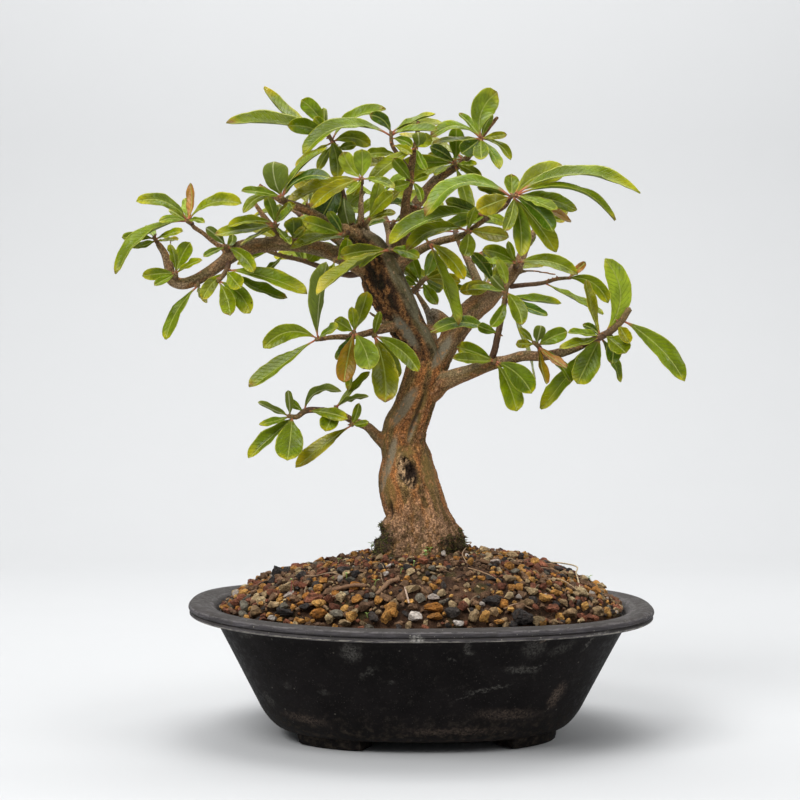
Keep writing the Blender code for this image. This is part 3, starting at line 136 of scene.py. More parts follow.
# Wood: each branch is a list of (across, down, depth behind the trunk, thickness).
BRANCHES = {
    "trunk": [
        (209, 297, 0, 44), (210, 288, 0, 49), (210, 280, 0, 46), (211, 272.5, 0, 38.5),
        (210.5, 265, 0, 35.5), (209, 257.5, 0, 31), (206.5, 250, 0, 30.5), (204.5, 243.5, 0, 30),
        (203.5, 237, 0, 29), (203, 230, 0, 25.5), (201.5, 221.5, 0, 22.5), (202.5, 213.5, 0, 22),
        (205.5, 206.5, 0, 20), (208, 199, 0, 19.5), (210, 192.5, 0, 19), (212, 185, 0, 19)],
    "left_leader": [
        (212, 190, 0, 17), (212.5, 181, 0, 16.5), (209, 171, 0, 16), (203, 162, 0, 18.5),
        (199.5, 155, 0, 20), (196.5, 149, 0, 21), (192, 140.5, 0, 21), (188.5, 131, 0, 18),
        (186, 125, 0, 16), (181, 119.5, 0, 12.5), (179, 112, 0, 10)],
    "twin_limb": [(195, 140, 2, 13), (199, 127.5, 2, 10), (201, 119, 2, 8.5), (202, 112.5, 1, 7)],
    "branch_a": [
        (202, 115, 0, 6.5), (202.5, 106, -2, 5.2), (203, 100, -3, 4.6), (204.5, 93.5, -3, 4.4),
        (205.5, 85, -4, 4), (207, 76, -4, 3.5), (208.5, 69, -5, 3), (209, 60.5, -5, 2.2)],
    "branch_b": [
        (202, 114, 2, 6.5), (207, 104, 5, 6), (210.5, 99, 7, 6), (215, 93.5, 9, 6), (220, 88.5, 10, 5.5),
        (226, 85, 10, 4.5), (232, 81, 10, 3.8), (237, 74.5, 9, 3.2), (242, 67, 8, 3), (246, 62, 8, 2.6),
        (249, 58.5, 8, 2.2)],
    "branch_c": [
        (198, 133, 0, 7), (204, 129, -3, 5.5), (210, 125, -6, 4.8), (221, 120.5, -12, 4.2),
        (227.5, 119, -15, 4), (233, 117, -18, 3.5), (238, 113, -21, 3), (243, 109.5, -24, 3),
        (248.5, 105.5, -27, 3), (253, 102.5, -29, 2.8), (254.5, 100, -30, 2.2)],
    "right_leader": [
        (213, 190, 0, 14), (218, 182.5, 3, 13), (222, 175, 5, 12), (227, 167, 9, 12), (232.5, 159, 13, 12.5),
        (238, 153.5, 18, 12), (242.5, 150, 22, 11.5), (248.5, 144.5, 27, 9), (255.5, 138, 32, 7),
        (259.5, 131, 36, 6), (262, 125, 39, 5), (265, 119, 42, 4), (268.5, 114, 45, 3)],
    "bare_twig": [(257.5, 137, 33, 2.6), (264, 135.5, 38, 1.8), (270, 136, 41, 1.6), (278.5, 137.5, 43, 1.4)],
    "sawn_knob": [(225, 164, 8, 7.5), (217, 157.5, 7, 7), (214.3, 156, 7, 5)],
    "right_low": [
        (211, 197, 0, 11), (216, 196, -2, 11), (220, 192, -3, 10), (227.5, 188.5, -5, 8.5),
        (235, 186, -7, 7.5), (245, 182, -10, 7), (252.5, 180.5, -12, 5.5), (261.5, 178, -15, 5.5),
        (271.5, 178, -17, 5), (281.5, 176, -19, 5), (292, 172, -21, 4.5)],
    "left_low": [
        (201, 227, 0, 10), (192.5, 221, -2, 8), (189, 218.5, -4, 6), (184, 213.5, -6, 4.8),
        (176.5, 210.5, -9, 4), (169, 206.5, -12, 3.6), (161, 205, -15, 3.2)],
    "left_mid": [
        (201, 162, -2, 6), (194, 164, -9, 5), (182, 167, -14, 3.6), (175, 168.5, -18, 3.4),
        (168.5, 168.5, -21, 3.2), (160, 169.5, -25, 2.6)],
    "left_mid_twig": [(196, 161, -3, 2.8), (191, 160.5, -10, 2.2), (184.5, 156, -12, 1.6)],
    "big_left": [
        (191, 139, 0, 13), (186, 136, -1, 11.5), (176, 131, -2, 9), (163.5, 125.5, -3, 8),
        (150, 122.5, -4, 7.5), (132.5, 122.5, -5, 7.5), (119, 125.5, -6, 8.8), (112.5, 130.5, -7, 6.8),
        (104, 136.5, -8, 6), (97, 140.5, -9, 6), (90.5, 142, -9, 6), (86, 140, -9, 6), (84.5, 134, -10, 4.8),
        (82.5, 127, -10, 4), (79, 121.5, -10, 3.2)],
    "elbow_twig": [(87, 139, -9, 2.6), (85.8, 128, -14, 1.8), (85.5, 120, -15, 1.4)],
    "far_left": [
        (118, 127, -6, 5), (107.5, 121.5, -6, 2.8), (101.5, 116.5, -6, 2.6), (96.5, 113, -6, 2.5),
        (95, 107, -6, 2)],
    "left_middle": [
        (150, 123.5, -4, 6), (145, 121.5, -5, 4.5), (141.5, 118, -5, 4), (136, 113, -5, 3.5),
        (131, 107, -5, 3),
        (128, 102.5, -5, 2.5), (125.5, 99.5, -5, 2.2)],
    "left_upper": [
        (181, 120, -1, 7), (176, 116, -8, 5), (165, 112, -11, 5), (155, 106, -13, 4.5),
        (147.5, 103, -15, 4.5),
        (142, 101, -16, 4), (135, 96.5, -18, 3), (129.5, 92.5, -20, 2.2)],
    "stump_twig": [(180.5, 116, -1, 4.4), (180.5, 108, -6, 3.6), (180.7, 99, -11, 2.8), (181, 91, -15, 2)],
    "back_middle": [(196, 137, 3, 9), (195, 128, 22, 6.5), (195, 117.5, 42, 5), (190, 102.5, 62, 2.6)],
    "back_left": [(189, 136, 2, 9), (178, 127, 22, 6), (165, 117.5, 42, 4.5), (150, 107.5, 55, 2.4)],
    "back_right": [(242, 151, 22, 8), (239, 142, 38, 5.5), (235, 132.5, 52, 4.5), (227.5, 117.5, 66, 2.4)],
    "back_low": [(214, 178, 2, 9), (216, 168, 22, 5.5), (214, 156, 40, 4), (208, 146, 54, 2.2)],
}

# Sprays seen from the front. The stem is a list of points like a branch's, from inside the wood
# outwards. A leaf is (base across, base down, tip across, tip down, how far the tip lies behind the
# base, width as seen, how far the middle stands above the straight line, tone). Where a leaf hangs
# or stands, the last length is how far its middle stands to the right.
SPRAYS = {
    "stump_twig_whorl": (
        [(181, 92, -14.5, 2), (181, 89.5, -20, 2)],
        [(181, 91, 155.5, 104, -8, 7, 3, "yellow"), (178, 91, 142.5, 101.5, -3, 7, 4, "yellow"),
         (180.5, 93, 173.5, 96.5, -12, 3.5, 0, "green"), (180.5, 92, 176.5, 98, -10, 3.5, 0, "yellow"),
         (184, 91, 181, 75, -4, 9, 0, "pale"), (176, 89, 171.5, 76, 2, 8, -1, "pale"),
         (184, 90, 197.5, 93.5, -6, 4, 1, "green")]),
    "far_left_fork": (
        [(96, 112, -6, 2.6), (93.8, 110.5, -12, 2.4)],
        [(91.5, 113, 56.5, 136.5, -8, 6, 9, "green"), (93.5, 107, 68.5, 100.5, -12, 6, 5.5, "green"),
         (98, 107.5, 120.5, 101, -10, 6.5, 5, "green"), (95.5, 107, 94.5, 91.5, 6, 4.5, 1.5, "dry"),
         (93, 111, 80, 110.5, -10, 4, 1, "pale"), (92, 109, 84.5, 104, 8, 3.5, 0, "green"),
         (94, 113, 102, 111, -10, 3, 1, "green"), (94, 106.5, 91.5, 99, 9, 4, 0, "pale")]),
    "far_left_tip": (
        [(79.6, 122.5, -10, 2.4), (77, 118.5, -11, 2)],
        [(77.5, 120, 61, 119, -6, 5, 1.5, "green"), (76.5, 121.5, 67, 123.5, -10, 3.5, 0, "green"),
         (79, 119, 91, 115, -12, 4, 1, "green"), (81, 120, 89.5, 119, 6, 2.5, 0, "olive"),
         (78, 119, 74, 112.5, 18, 4, 1, "green")]),
    "far_left_elbow": (
        [(88, 140.5, -9, 2.8), (88, 136.5, -16, 2.4)],
        [(84, 134, 71.5, 138, -6, 6, 1, "green"), (84, 138, 77.5, 142, -12, 3.5, 0, "green"),
         (92, 136, 95, 121.5, -4, 8, 1, "green"), (89.5, 134, 85, 122.5, -8, 5, 1, "green"),
         (95, 131, 100.5, 129.5, -10, 3.5, 0.5, "olive")]),
    "far_left_drop": (
        [(99, 139.5, -8, 2.6), (99, 143, -14, 2.4)],
        [(99, 143.5, 82, 169.5, -4, 6.5, 2.5, "green"), (99, 144, 103, 152, 14, 4, 0, "olive")]),
    "far_left_under": (
        [(115, 129, -6.5, 3), (113.5, 135, -13, 2.8), (109, 141, -16, 2.2)],
        [(114, 136, 101.5, 149.5, -8, 6.5, 1, "olive"), (107.5, 142, 114.5, 157, -12, 8, 1, "green"),
         (108, 143.5, 124.5, 156.5, -6, 9.5, 2, "green"), (116, 136, 120, 143.5, -10, 8, 0, "green"),
         (116, 137, 144, 148.5, 6, 5.5, 0, "green"), (119, 135, 154, 146, -4, 7.5, 3, "green")]),
    "far_left_top": (
        [(114.8, 127.5, -6, 2.8), (113, 123, -13, 2.4)],
        [(110.5, 126, 102, 128, -8, 3.5, 0.5, "green"), (113, 124.5, 116.5, 117, 6, 4.5, 1, "green"),
         (111.5, 124, 103, 114, -4, 5, 1, "under"), (114.5, 124.5, 126.5, 136, -12, 7, 3, "green")]),
    "left_middle_whorl": (
        [(138.5, 115.5, -5, 2.8), (137.5, 112, -12, 2.4)],
        [(134.5, 108, 139.5, 102, 6, 4.5, 1, "dark"), (135, 109, 147.5, 102.5, -8, 4.5, 2, "yellow"),
         (131, 108.5, 114, 112.5, -8, 4.5, 3.5, "green"), (139.5, 111.5, 145, 103.5, -6, 5, 0, "green"),
         (140, 116.5, 107.5, 116.5, -10, 6, 1, "green"), (137.5, 117, 120, 121.5, -14, 3, 0.5, "olive"),
         (140, 118, 145.5, 121.5, -12, 3.5, 0, "green"),
         (137, 110, 133.5, 98, -4, 6, 0, "green")]),
    "left_middle_root": (
        [(146.5, 122.3, -4.5, 2.6), (146, 119.5, -11, 2.2)],
        [(146, 121, 146, 109, -4, 9.5, 1, "green"), (147, 121, 152, 114, -8, 4, 0, "olive")]),
    "left_upper_tip": (
        [(142.5, 101.5, -16, 2.8), (141, 98.5, -22, 2.4)],
        [(138.5, 99.5, 121, 95, -6, 4.5, 1, "green"), (140.5, 101.5, 121.5, 106.5, -8, 4, 4.5, "green"),
         (140.5, 98.5, 137.5, 81, -2, 13, -1, "under"), (140.5, 97.5, 145.5, 86.5, 10, 4, 1, "green"),
         (146, 95, 163.5, 73, 4, 3.5, 4.5, "green"), (146.5, 95, 165.5, 88.5, -8, 5, 5, "dark")]),
    "crown_left": (
        [(178, 117, 2, 3.2), (176, 112, 5, 2.8), (172.5, 100, 5, 2.4), (169, 85, 5, 2.2), (168, 74, 4, 2.2),
         (165, 69, 1, 2), (161.5, 62, 0, 1.8)],
        [(165, 70, 113, 60.5, -6, 7, 6.5, "green"), (165, 71, 144.5, 63.5, -14, 8, 2, "green"),
         (162.5, 67.5, 133.5, 42.5, 2, 5, -4, "olive"), (162.5, 65, 151, 50.5, -6, 8, 1, "green"),
         (160.5, 61, 162, 54, 4, 3.5, 0, "green"), (163, 67, 157.5, 59, -10, 5, 0, "green"),
         (165, 70.5, 168.5, 89, -8, 8, 1, "green"), (165.5, 72.5, 147.5, 83, -6, 3.5, 1, "yellow"),
         (166, 74, 159, 85, -12, 4.5, 0, "green"), (168, 71, 185.5, 73, 6, 7.5, 3, "green"),
         (168, 70, 193, 54.5, 2, 6, 6, "green"), (168.5, 75, 175, 73, 10, 3, 0, "dark"),
         (168.5, 76, 178, 73, 12, 4.5, 1, "green"), (169.5, 91, 160, 111, -10, 12, 0, "dark"),
         (172, 98, 174.5, 113, -9, 9, 0, "under")]),
    "crown_mid": (
        [(205.5, 87, -4, 2.6), (200, 79, -6, 2.2), (196, 72.5, -6, 2), (195.5, 66, -6, 1.8)],
        [(193, 68.5, 150.5, 76, -8, 7, 10, "green"), (196.5, 66.5, 185, 58, -6, 6, 2, "dark"),
         (197, 66.5, 217.5, 56, 4, 4.5, 2, "green"), (198, 67, 218.5, 64.5, -4, 4, 2, "green"),
         (197, 68, 221, 60.5, 10, 4.5, 2, "pale"), (197, 69.5, 206, 73.5, -6, 5, 1, "green"),
         (196, 73, 205.5, 77, -12, 4, 1, "olive"), (200, 77, 183.5, 77, -12, 5, 1, "green")]),
    "branch_a_leaves": (
        [(207.3, 75.5, -4, 2.6), (208, 74, -11, 2.2)],
        [(207.5, 75, 184.5, 90.5, -6, 7, 1, "yellow"), (214.5, 77, 209, 66, -8, 7, 1, "under"),
         (208, 76, 213, 85, -8, 4, 0, "green"), (209, 77, 215.5, 68, -4, 7, 0, "pale")]),
    "branch_b_tip": (
        [(239, 71.5, 8.5, 2.8), (240.5, 69.5, 2, 2.4)],
        [(240.5, 69, 248.5, 46.5, -4, 12.5, -5, "pale"), (238.5, 67.5, 215, 68.5, -4, 5, 7, "green"),
         (240, 70.5, 231, 76.5, -8, 9, 0, "dark"), (239, 66.5, 229.5, 56.5, 6, 4, 1, "green"),
         (237.5, 67.5, 216, 71, -10, 3.5, 1, "olive"), (243, 71, 253, 67.5, -6, 4, 0, "yellow"),
         (242, 73, 255.5, 80, -6, 4, 3, "green"), (240, 74.5, 250, 84, -10, 5, 1, "green"),
         (241, 68, 246, 57, 4, 4, 0, "green"), (240.5, 69, 240.5, 79, -10, 8, 0, "green")]),
    "crown_right_mid": (
        [(226.5, 84.5, 10, 2.8), (227.5, 81.5, 4, 2.4)],
        [(226, 83.5, 200, 83, -6, 8, 1, "green"), (227, 80, 228, 63.5, -2, 8, 0, "green"),
         (225, 79, 214, 76.5, 6, 3.5, 0, "green"), (226, 80.5, 215.5, 74, -12, 6, 1, "dark"),
         (230, 88, 235, 106.5, -8, 7, 1, "green"),
         (228, 83, 238, 81.5, -10, 3, 0, "green"), (229, 85, 217.5, 87.5, -14, 3, 1, "olive"),
         (231, 86, 240.5, 89, -12, 5.5, 1, "green")]),
    "branch_a_low": (
        [(204.7, 92.5, -3, 2.6), (206, 91, -10, 2.2)],
        [(206.5, 90, 196.5, 93.5, -10, 6, 0, "green"), (206.5, 90.5, 214, 88, -8, 4, 0, "green"),
         (208, 91, 210.5, 101, -8, 4, 1, "green"), (204.5, 98, 186, 107, -6, 4.5, 1, "yellow"),
         (204.5, 90, 197, 80, -6, 6, 0, "green")]),
    "stump_top": (
        [(181.5, 113, -3, 2.8), (184, 110.5, -12, 2.4)],
        [(184, 112, 190, 90, -6, 6.5, 1, "pale"), (186, 105, 196, 97, -6, 7, 1, "yellow"),
         (185, 109, 197.5, 106, -6, 3.5, 1, "yellow")]),
    "branch_b_low": (
        [(208, 102.5, 5.5, 2.8), (209.5, 104.5, -1, 2.2)],
        [(208.5, 105.5, 184.5, 105, -14, 3.5, 5, "dark"), (211, 103, 217, 112, -4, 3.5, 0, "yellow"),
         (211, 104, 222, 107, -6, 6, 1, "dark")]),
    "stump_left": (
        [(175, 115.8, -8.5, 2.8), (171.5, 117.5, -15, 2.4)],
        [(170, 116, 151.5, 110.5, -6, 7.5, 1, "green"), (172.5, 118, 145, 123.5, -8, 6, 2, "green"),
         (171, 116, 164, 106, -4, 5, 0, "dark")]),
    "big_left_top": (
        [(168, 127.5, -2.5, 2.8), (167.5, 130.5, -11, 2.4)],
        [(166.5, 132, 173.5, 119.5, -8, 6.5, -2, "green"), (167, 131, 164, 140, -10, 4, 0, "olive")]),
    "thin_left": (
        [(182, 136, 4, 3.8), (175, 137.5, 10, 3.4), (165, 135, 14, 3), (157.5, 132.5, 15, 2.6),
         (150, 130, 15, 2.4), (143, 128.5, 15, 2.2), (135, 126, 15, 2), (131.5, 124.5, 15, 1.8)],
        [(153.5, 131.5, 158, 123.5, -6, 9, -1, "green"), (151.5, 131, 148, 122, 6, 4.5, 0, "green"),
         (134.5, 125.5, 137, 117, -6, 4, 0, "yellow"), (131.5, 124.5, 132.5, 118, 8, 2.5, 0, "orange"),
         (131.5, 124, 124.5, 127, -8, 4, 0, "green"), (131, 125, 119, 123, 6, 3, 0, "olive"),
         (133, 126, 118.5, 131.5, -10, 3, 0, "olive"), (141.5, 127.5, 132.5, 135, -10, 3, 0, "green")]),
    "twin_limb_whorl": (
        [(198, 125.5, 1, 3.2), (194.5, 125, -10, 2.6)],
        [(191, 123, 170.5, 128, -8, 8, 1.5, "green"), (197, 127, 179.5, 133.5, -10, 4, 1.5, "pale"),
         (193, 127, 157.5, 145.5, -8, 5, 4, "yellow"), (196, 125, 209.5, 129, -8, 6, 2, "green")]),
    "branch_c_upper": (
        [(243, 109.5, -24, 2.6), (242.5, 107.5, -30, 2.2)],
        [(242, 110, 193.5, 120.5, -6, 8, 7, "green"), (244, 111, 252, 112, -10, 5, 1, "pale"),
         (243, 108, 248, 97, -8, 5, 0, "green"),
         (241, 107, 222.5, 100.5, 4, 6.5, 1, "dark"),
         (241, 109, 222, 113, 6, 6, 1, "green")]),
    "branch_c_mid": (
        [(233, 117, -18, 2.6), (234, 115.5, -25, 2.2)],
        [(233, 116.5, 203, 125, -6, 7, 7, "green"), (234, 118, 254, 118.5, -8, 7.5, 1, "yellow"),
         (233.5, 117, 232, 128, 0, 8, 1, "green"),
         (234, 115, 238, 104, -8, 5, 0, "green")]),
    "branch_c_tip": (
        [(254, 101, -29.6, 2.4), (255.5, 98.5, -33, 2.2), (258.5, 97.5, -35, 1.8)],
        [(252, 99.5, 211.5, 107.5, -4, 7.5, 12, "green"), (252.5, 100.5, 239, 105, -10, 10, 1, "yellow"),
         (253, 99, 255.5, 87, 4, 7.5, 0, "green"), (256, 99, 283, 85, 12, 11.5, 3, "pale"),
         (257, 99, 320.5, 96, -2, 6.5, 11, "green"), (258, 100, 309.5, 108.5, -8, 6, 10, "green"),
         (258, 100, 289, 104.5, 10, 7.5, 2.5, "green"), (258, 101, 278.5, 104, -14, 4.5, 1, "green"),
         (259, 101, 286.5, 109.5, 18, 4, 1, "dry"), (256.5, 101.5, 276.5, 115.5, -12, 8.5, 2, "dark"),
         (256, 102, 278.5, 126, 2, 8.5, 2.5, "green"), (257, 102, 260.5, 128, -6, 9, 3, "green"),
         (257, 100, 252.5, 115, -10, 6, 1, "green"), (253, 99.5, 238.5, 93.5, 2, 5.5, 1, "green")]),
    "branch_c_start": (
        [(215, 122.8, -9, 2.8), (214.5, 121.5, -17, 2.4)],
        [(214, 120, 232, 139.5, -8, 7, 2, "yellow"), (216, 123, 230, 162.5, -6, 6.5, 2, "green"),
         (213, 121, 203, 113, -6, 5, 1, "green")]),
    "right_leader_top": (
        [(267.5, 115, 44.5, 2.8), (270, 111, 45, 2.4)],
        [(266, 112, 258.5, 125.5, -8, 5, -1, "green"), (270, 112, 282.5, 110, -6, 3.5, 1, "olive"),
         (269, 111, 263, 101, 8, 5, 0, "green"), (271, 111, 273, 100.5, 12, 6, 0, "green"),
         (270, 112, 284, 106, 10, 5, 1, "green")]),
    "right_leader_mid": (
        [(257.8, 134, 33.5, 3.4), (258, 131.5, 25, 2.8)],
        [(257, 131, 241.5, 125, -6, 7.5, 2, "green"), (256, 131, 241.5, 130, -12, 3.5, 0, "pale"),
         (262.5, 133.5, 289, 137, -4, 7.5, 4.5, "green"), (258, 130, 254, 121, -4, 4, 0, "olive")]),
    "right_leader_low": (
        [(248, 145, 26, 3.4), (246.5, 142, 16, 2.6)],
        [(246, 141.5, 236, 127, -8, 6, 1, "dark"), (246.5, 142.5, 233, 145, -8, 7, 0, "yellow"),
         (247, 141, 253, 132, -4, 5, 0, "green"),
         (246, 143, 230, 146, 2, 7, 1, "olive")]),
    "thin_right": (
        [(252.5, 143.5, 29, 3), (262.5, 142.5, 28, 2.4), (271.5, 141.5, 27, 2.2), (278.5, 139.5, 26, 2),
         (285.5, 139, 26, 1.6)],
        [(284, 138.5, 293, 131, 6, 4, 0, "dry"), (282, 137, 304, 151.5, -4, 7, 5, "green"),
         (272, 141.5, 302, 156.5, -6, 3.5, 1, "green")]),
    "right_end": (
        [(290, 172.8, -20.5, 4), (300, 168.5, -23, 3.8), (306, 165, -24, 3.6), (311, 160, -25, 3.4),
         (314.5, 154.5, -25, 3.2)],
        [(301, 167, 302.5, 129.5, -6, 11, 9, "pale"), (299.5, 168, 294, 139.5, 6, 5.5, 0, "yellow"),
         (300, 169, 289, 191.5, -8, 12, 0, "green"), (300, 170, 269, 203.5, 2, 7, 0, "green"),
         (298.5, 168, 284.5, 165.5, -10, 3.5, 1, "green"), (297, 169, 280, 173, -14, 4, 0, "green"),
         (299, 168, 291, 162, 8, 4, 1, "dark"), (311, 160, 343.5, 190, -4, 10, 3, "green"),
         (309, 162, 314.5, 171, -10, 6, 0, "yellow"), (302, 168, 313, 176, -12, 9.5, 1, "green"),
         (305, 166, 306, 182, -6, 8, 1, "dark"), (301, 170, 311.5, 191, 2, 5, 1, "green")]),
    "right_low_mid": (
        [(270.5, 177.8, -17, 3), (269.5, 173.5, -22, 2.6), (266.5, 171, -24, 2)],
        [(270, 173.5, 286.5, 190.5, -6, 4.5, 2, "green"), (270.5, 173, 283.5, 183, -12, 4, 0, "dry"),
         (270, 175, 274, 191.5, -12, 4.5, 0, "orange"), (270.5, 172.5, 283.5, 166, -4, 7.5, 1, "green"),
         (268.5, 172.5, 270.5, 162.5, -8, 6, 0, "under"), (266.5, 171, 259.5, 164, -4, 3.5, 0, "olive"),
         (268, 172.5, 258.5, 172, -8, 4.5, 0, "yellow")]),
    "twig_u": (
        [(244.5, 183, -9.5, 4), (247, 176, -13, 3.4), (249, 167, -17, 3.2), (251, 157.5, -20, 2.8),
         (252.5, 149, -22, 2.6), (253.5, 142, -23, 2)],
        [(253.8, 146, 245.5, 138, -6, 5, 0, "under"), (253, 143, 248.5, 130, -2, 5, 1, "pale"),
         (252, 146, 234.5, 143.5, 4, 3, 1, "green"), (253.5, 146, 261, 162, -8, 8.5, 1, "green"),
         (252.5, 149, 269.5, 189.5, -9, 3.5, 2, "pale"), (253, 149, 281, 150.5, 6, 4, 1, "green"),
         (252.5, 150, 274, 157, -4, 4.5, 1, "dark"), (251.5, 150, 245.5, 163, -6, 6, -1, "green"),
         (248, 172, 215, 165.5, -4, 4, 6, "dark"), (249, 168, 239.5, 163, -8, 5, 0, "green")]),
    "right_low_start": (
        [(246, 181.5, -10.5, 3), (247.5, 180.5, -18, 2.6)],
        [(248.5, 178.5, 265.5, 196.5, -8, 11, 3, "green"), (247, 183, 258.5, 205.5, -3, 10, 1, "green"),
         (244.5, 181, 228.5, 173.5, -3, 8, 1, "green"), (244, 182, 227, 178.5, -10, 5, 0, "olive")]),
    "left_low_tip": (
        [(162, 205.2, -14.7, 3.2), (152.5, 205.5, -18, 3), (148, 208.5, -20, 2.6), (144, 208, -21, 2.2)],
        [(143, 207, 144, 195, -4, 4, 0, "under"), (145, 207, 129.5, 200.5, 4, 3.5, 0, "under"),
         (145, 208, 129.5, 212, -6, 3.5, 0, "green"), (149, 208, 123.5, 228.5, -6, 6.5, 2, "green"),
         (146, 209, 143.5, 229.5, -8, 14, 0, "green"), (152, 204.5, 143.5, 200, -4, 4, 0, "green"),
         (152.5, 204.5, 171, 195, -6, 4, 6, "under"), (154.5, 205.5, 173.5, 209, -12, 6, 1, "green")]),
    "left_low_mid": (
        [(168.5, 206.3, -12, 2.6), (168, 203.5, -19, 2.2)],
        [(167.5, 204, 162.5, 215, -8, 9.5, 0, "green"), (168.5, 202, 184, 185, -2, 4, 1, "green"),
         (169, 202, 184.5, 197.5, -8, 3, 2, "under")]),
    "left_low_base": (
        [(176.5, 210.7, -9, 2.6), (176, 212.5, -16, 2.2)],
        [(176, 212.5, 147.5, 233.5, -6, 7, 1, "yellow"), (175.5, 211, 179.5, 202, -6, 4.5, 0, "olive"),
         (177, 213, 184, 211, -8, 3.5, 0, "green")]),
    "left_mid_tip": (
        [(161, 169.4, -24.7, 2.6), (157.8, 169.8, -26, 2.2)],
        [(159, 169, 162, 130.5, -4, 8, -2, "under"), (159.5, 169, 132, 174, -6, 8.5, 6, "green"),
         (158, 170.5, 123.5, 192, -8, 7, 1, "green"), (159, 168, 168, 163, -10, 5, 1, "green")]),
    "left_mid_whorl": (
        [(176.5, 168.2, -17.5, 2.8), (177, 166, -25, 2.4)],
        [(179.5, 165, 167.5, 160, -4, 7, 0, "green"), (178, 164.5, 176, 154, -6, 5, 0, "green"),
         (178.5, 165, 183.5, 146, -4, 8, 1, "olive"), (176.5, 165.5, 184.5, 184.5, -8, 12, 1, "pale"),
         (175.5, 167, 172, 191, -6, 9.5, -1, "orange"), (176, 167, 173.5, 195.5, 8, 5, 0, "green"),
         (175, 166, 167.5, 180, 2, 5, 0, "dark")]),
    "left_mid_inner": (
        [(187.5, 165.8, -11.5, 3), (187, 168, -19, 2.6)],
        [(186.5, 169, 192.5, 201, -8, 13, 2, "yellow"), (188, 169, 200.5, 188.5, 2, 6, 1, "olive"),
         (188, 166, 209, 185.5, -10, 8, 3, "green"), (186, 167, 190, 156, -6, 4, 0, "green")]),
    "fork_back": (
        [(199.5, 151, 3, 4), (206, 146, 15, 3), (213, 139, 20, 2.4)],
        [(209, 143, 200, 133, 6, 4, 0, "green"), (208, 144, 201.5, 139, -8, 4, 0, "green"),
         (210, 142, 206, 129, 2, 6, 0, "green"), (211, 142, 218.5, 152, -8, 6, 0, "green"),
         (213, 139, 223.5, 135, 4, 5, 0, "olive"), (213, 140, 222, 145, 12, 6, 0, "green"),
         (213, 139, 217.5, 125, 8, 7, 0, "green"), (214, 139, 230, 141, 10, 7, 1, "yellow")]),
}

# Sprays behind the tree, each on a branch: (branch, how far along it, height of the stem's end
# above it, which way it grows from it to the right and to the back, number of leaves).
BACK_SPRAYS = {
    "back_middle_end": ("back_middle", 1.00, 4, 0.0, 5, 5),
    "back_middle_high": ("back_middle", 0.62, 8, 2.0, 2, 4),
    "back_middle_low": ("back_middle", 0.40, -4, -6.0, 4, 3),
    "back_left_end": ("back_left", 1.00, 3, -4.0, 4, 5),
    "back_left_high": ("back_left", 0.60, 7, 3.0, 3, 3),
    "back_left_low": ("back_left", 0.42, -6, -3.0, 5, 3),
    "back_right_end": ("back_right", 1.00, 4, 0.0, 5, 5),
    "back_right_high": ("back_right", 0.60, 7, 4.0, 3, 3),
    "back_right_low": ("back_right", 0.45, -6, 5.0, 4, 3),
    "back_low_end": ("back_low", 1.00, 3, 0.0, 5, 4),
    "behind_left_upper": ("left_upper", 0.55, 3, -1.0, 8, 3),
    "behind_big_left": ("big_left", 0.42, 2, 1.0, 9, 4),
    "behind_branch_b": ("branch_b", 0.62, 3, 1.0, 8, 4),
    "behind_branch_a": ("branch_a", 0.55, 3, -3.0, 8, 3),
    "behind_stump": ("left_leader", 0.93, 4, -4.0, 10, 3),
}
BACK_TRIES = 90
BACK_REACH = 86.0
HIDDEN_BY = 3.0


def seen(across, down, depth):
    """The point that shows at (across, down) in the front view and lies that far behind the trunk."""
    reach = (EYE_AWAY + depth) / EYE_AWAY
    right = EYE_RIGHT + (across - EYE_ACROSS) * reach
    up = EYE_HEIGHT + (EYE_DOWN - down) * reach
    return Vector((right, depth, up))


def squarish(turn):
    """The place at a turn round a squarish oval of half sizes 1, from its right-hand end."""
    right, back = math.cos(turn), math.sin(turn)
    power = 2 / POT_SQUARENESS
    return math.copysign(abs(right) ** power, right), math.copysign(abs(back) ** power, back)


def oval(half_length, half_depth, sides):
    """Points of a squarish oval, going round from the right-hand end."""
    places = (squarish(2 * math.pi * step / sides) for step in range(sides))
    return [(half_length * right, half_depth * back) for right, back in places]


def band(rings, count, start=0):
    """Faces between rings of count points each, of which the first has the number start."""
    faces = []
    for level in range(rings - 1):
        here = start + level * count
        for step in range(count):
            beside = here + (step + 1) % count
            faces.append((here + step, beside, beside + count, here + step + count))
    return faces


def loft(rings):
    """Points and faces of rings of equal count, with a flat face on the first and last ring."""
    count = len(rings[0])
    points = [point for ring in rings for point in ring]
    first, last = tuple(reversed(range(count))), tuple(range(len(points) - count, len(points)))
    return points, [first, *band(len(rings), count), last]


def sides_for(thickness):
    """Fewer sides on thinner wood."""
    for limit, sides in SIDES:
        if thickness < limit:
            return sides
    return TRUNK_SIDES


def fluting(turn, height, thickness):
    """The trunk's lobes: deep where the roots spread, shallow above."""
    if thickness < FLUTED_FROM:
        return 1.0
    spread = max(0.0, min(1.0, (ROOTS_START - height) / (ROOTS_START - ROOTS_FULL)))
    roots = 0.10 * math.cos(5 * turn + 0.6) + 0.05 * math.cos(9 * turn + 2.0)
    ribs = 0.035 * math.cos(3 * turn + height / 24) + 0.02 * math.cos(7 * turn - height / 15)
    return 1.0 + spread * roots + ribs


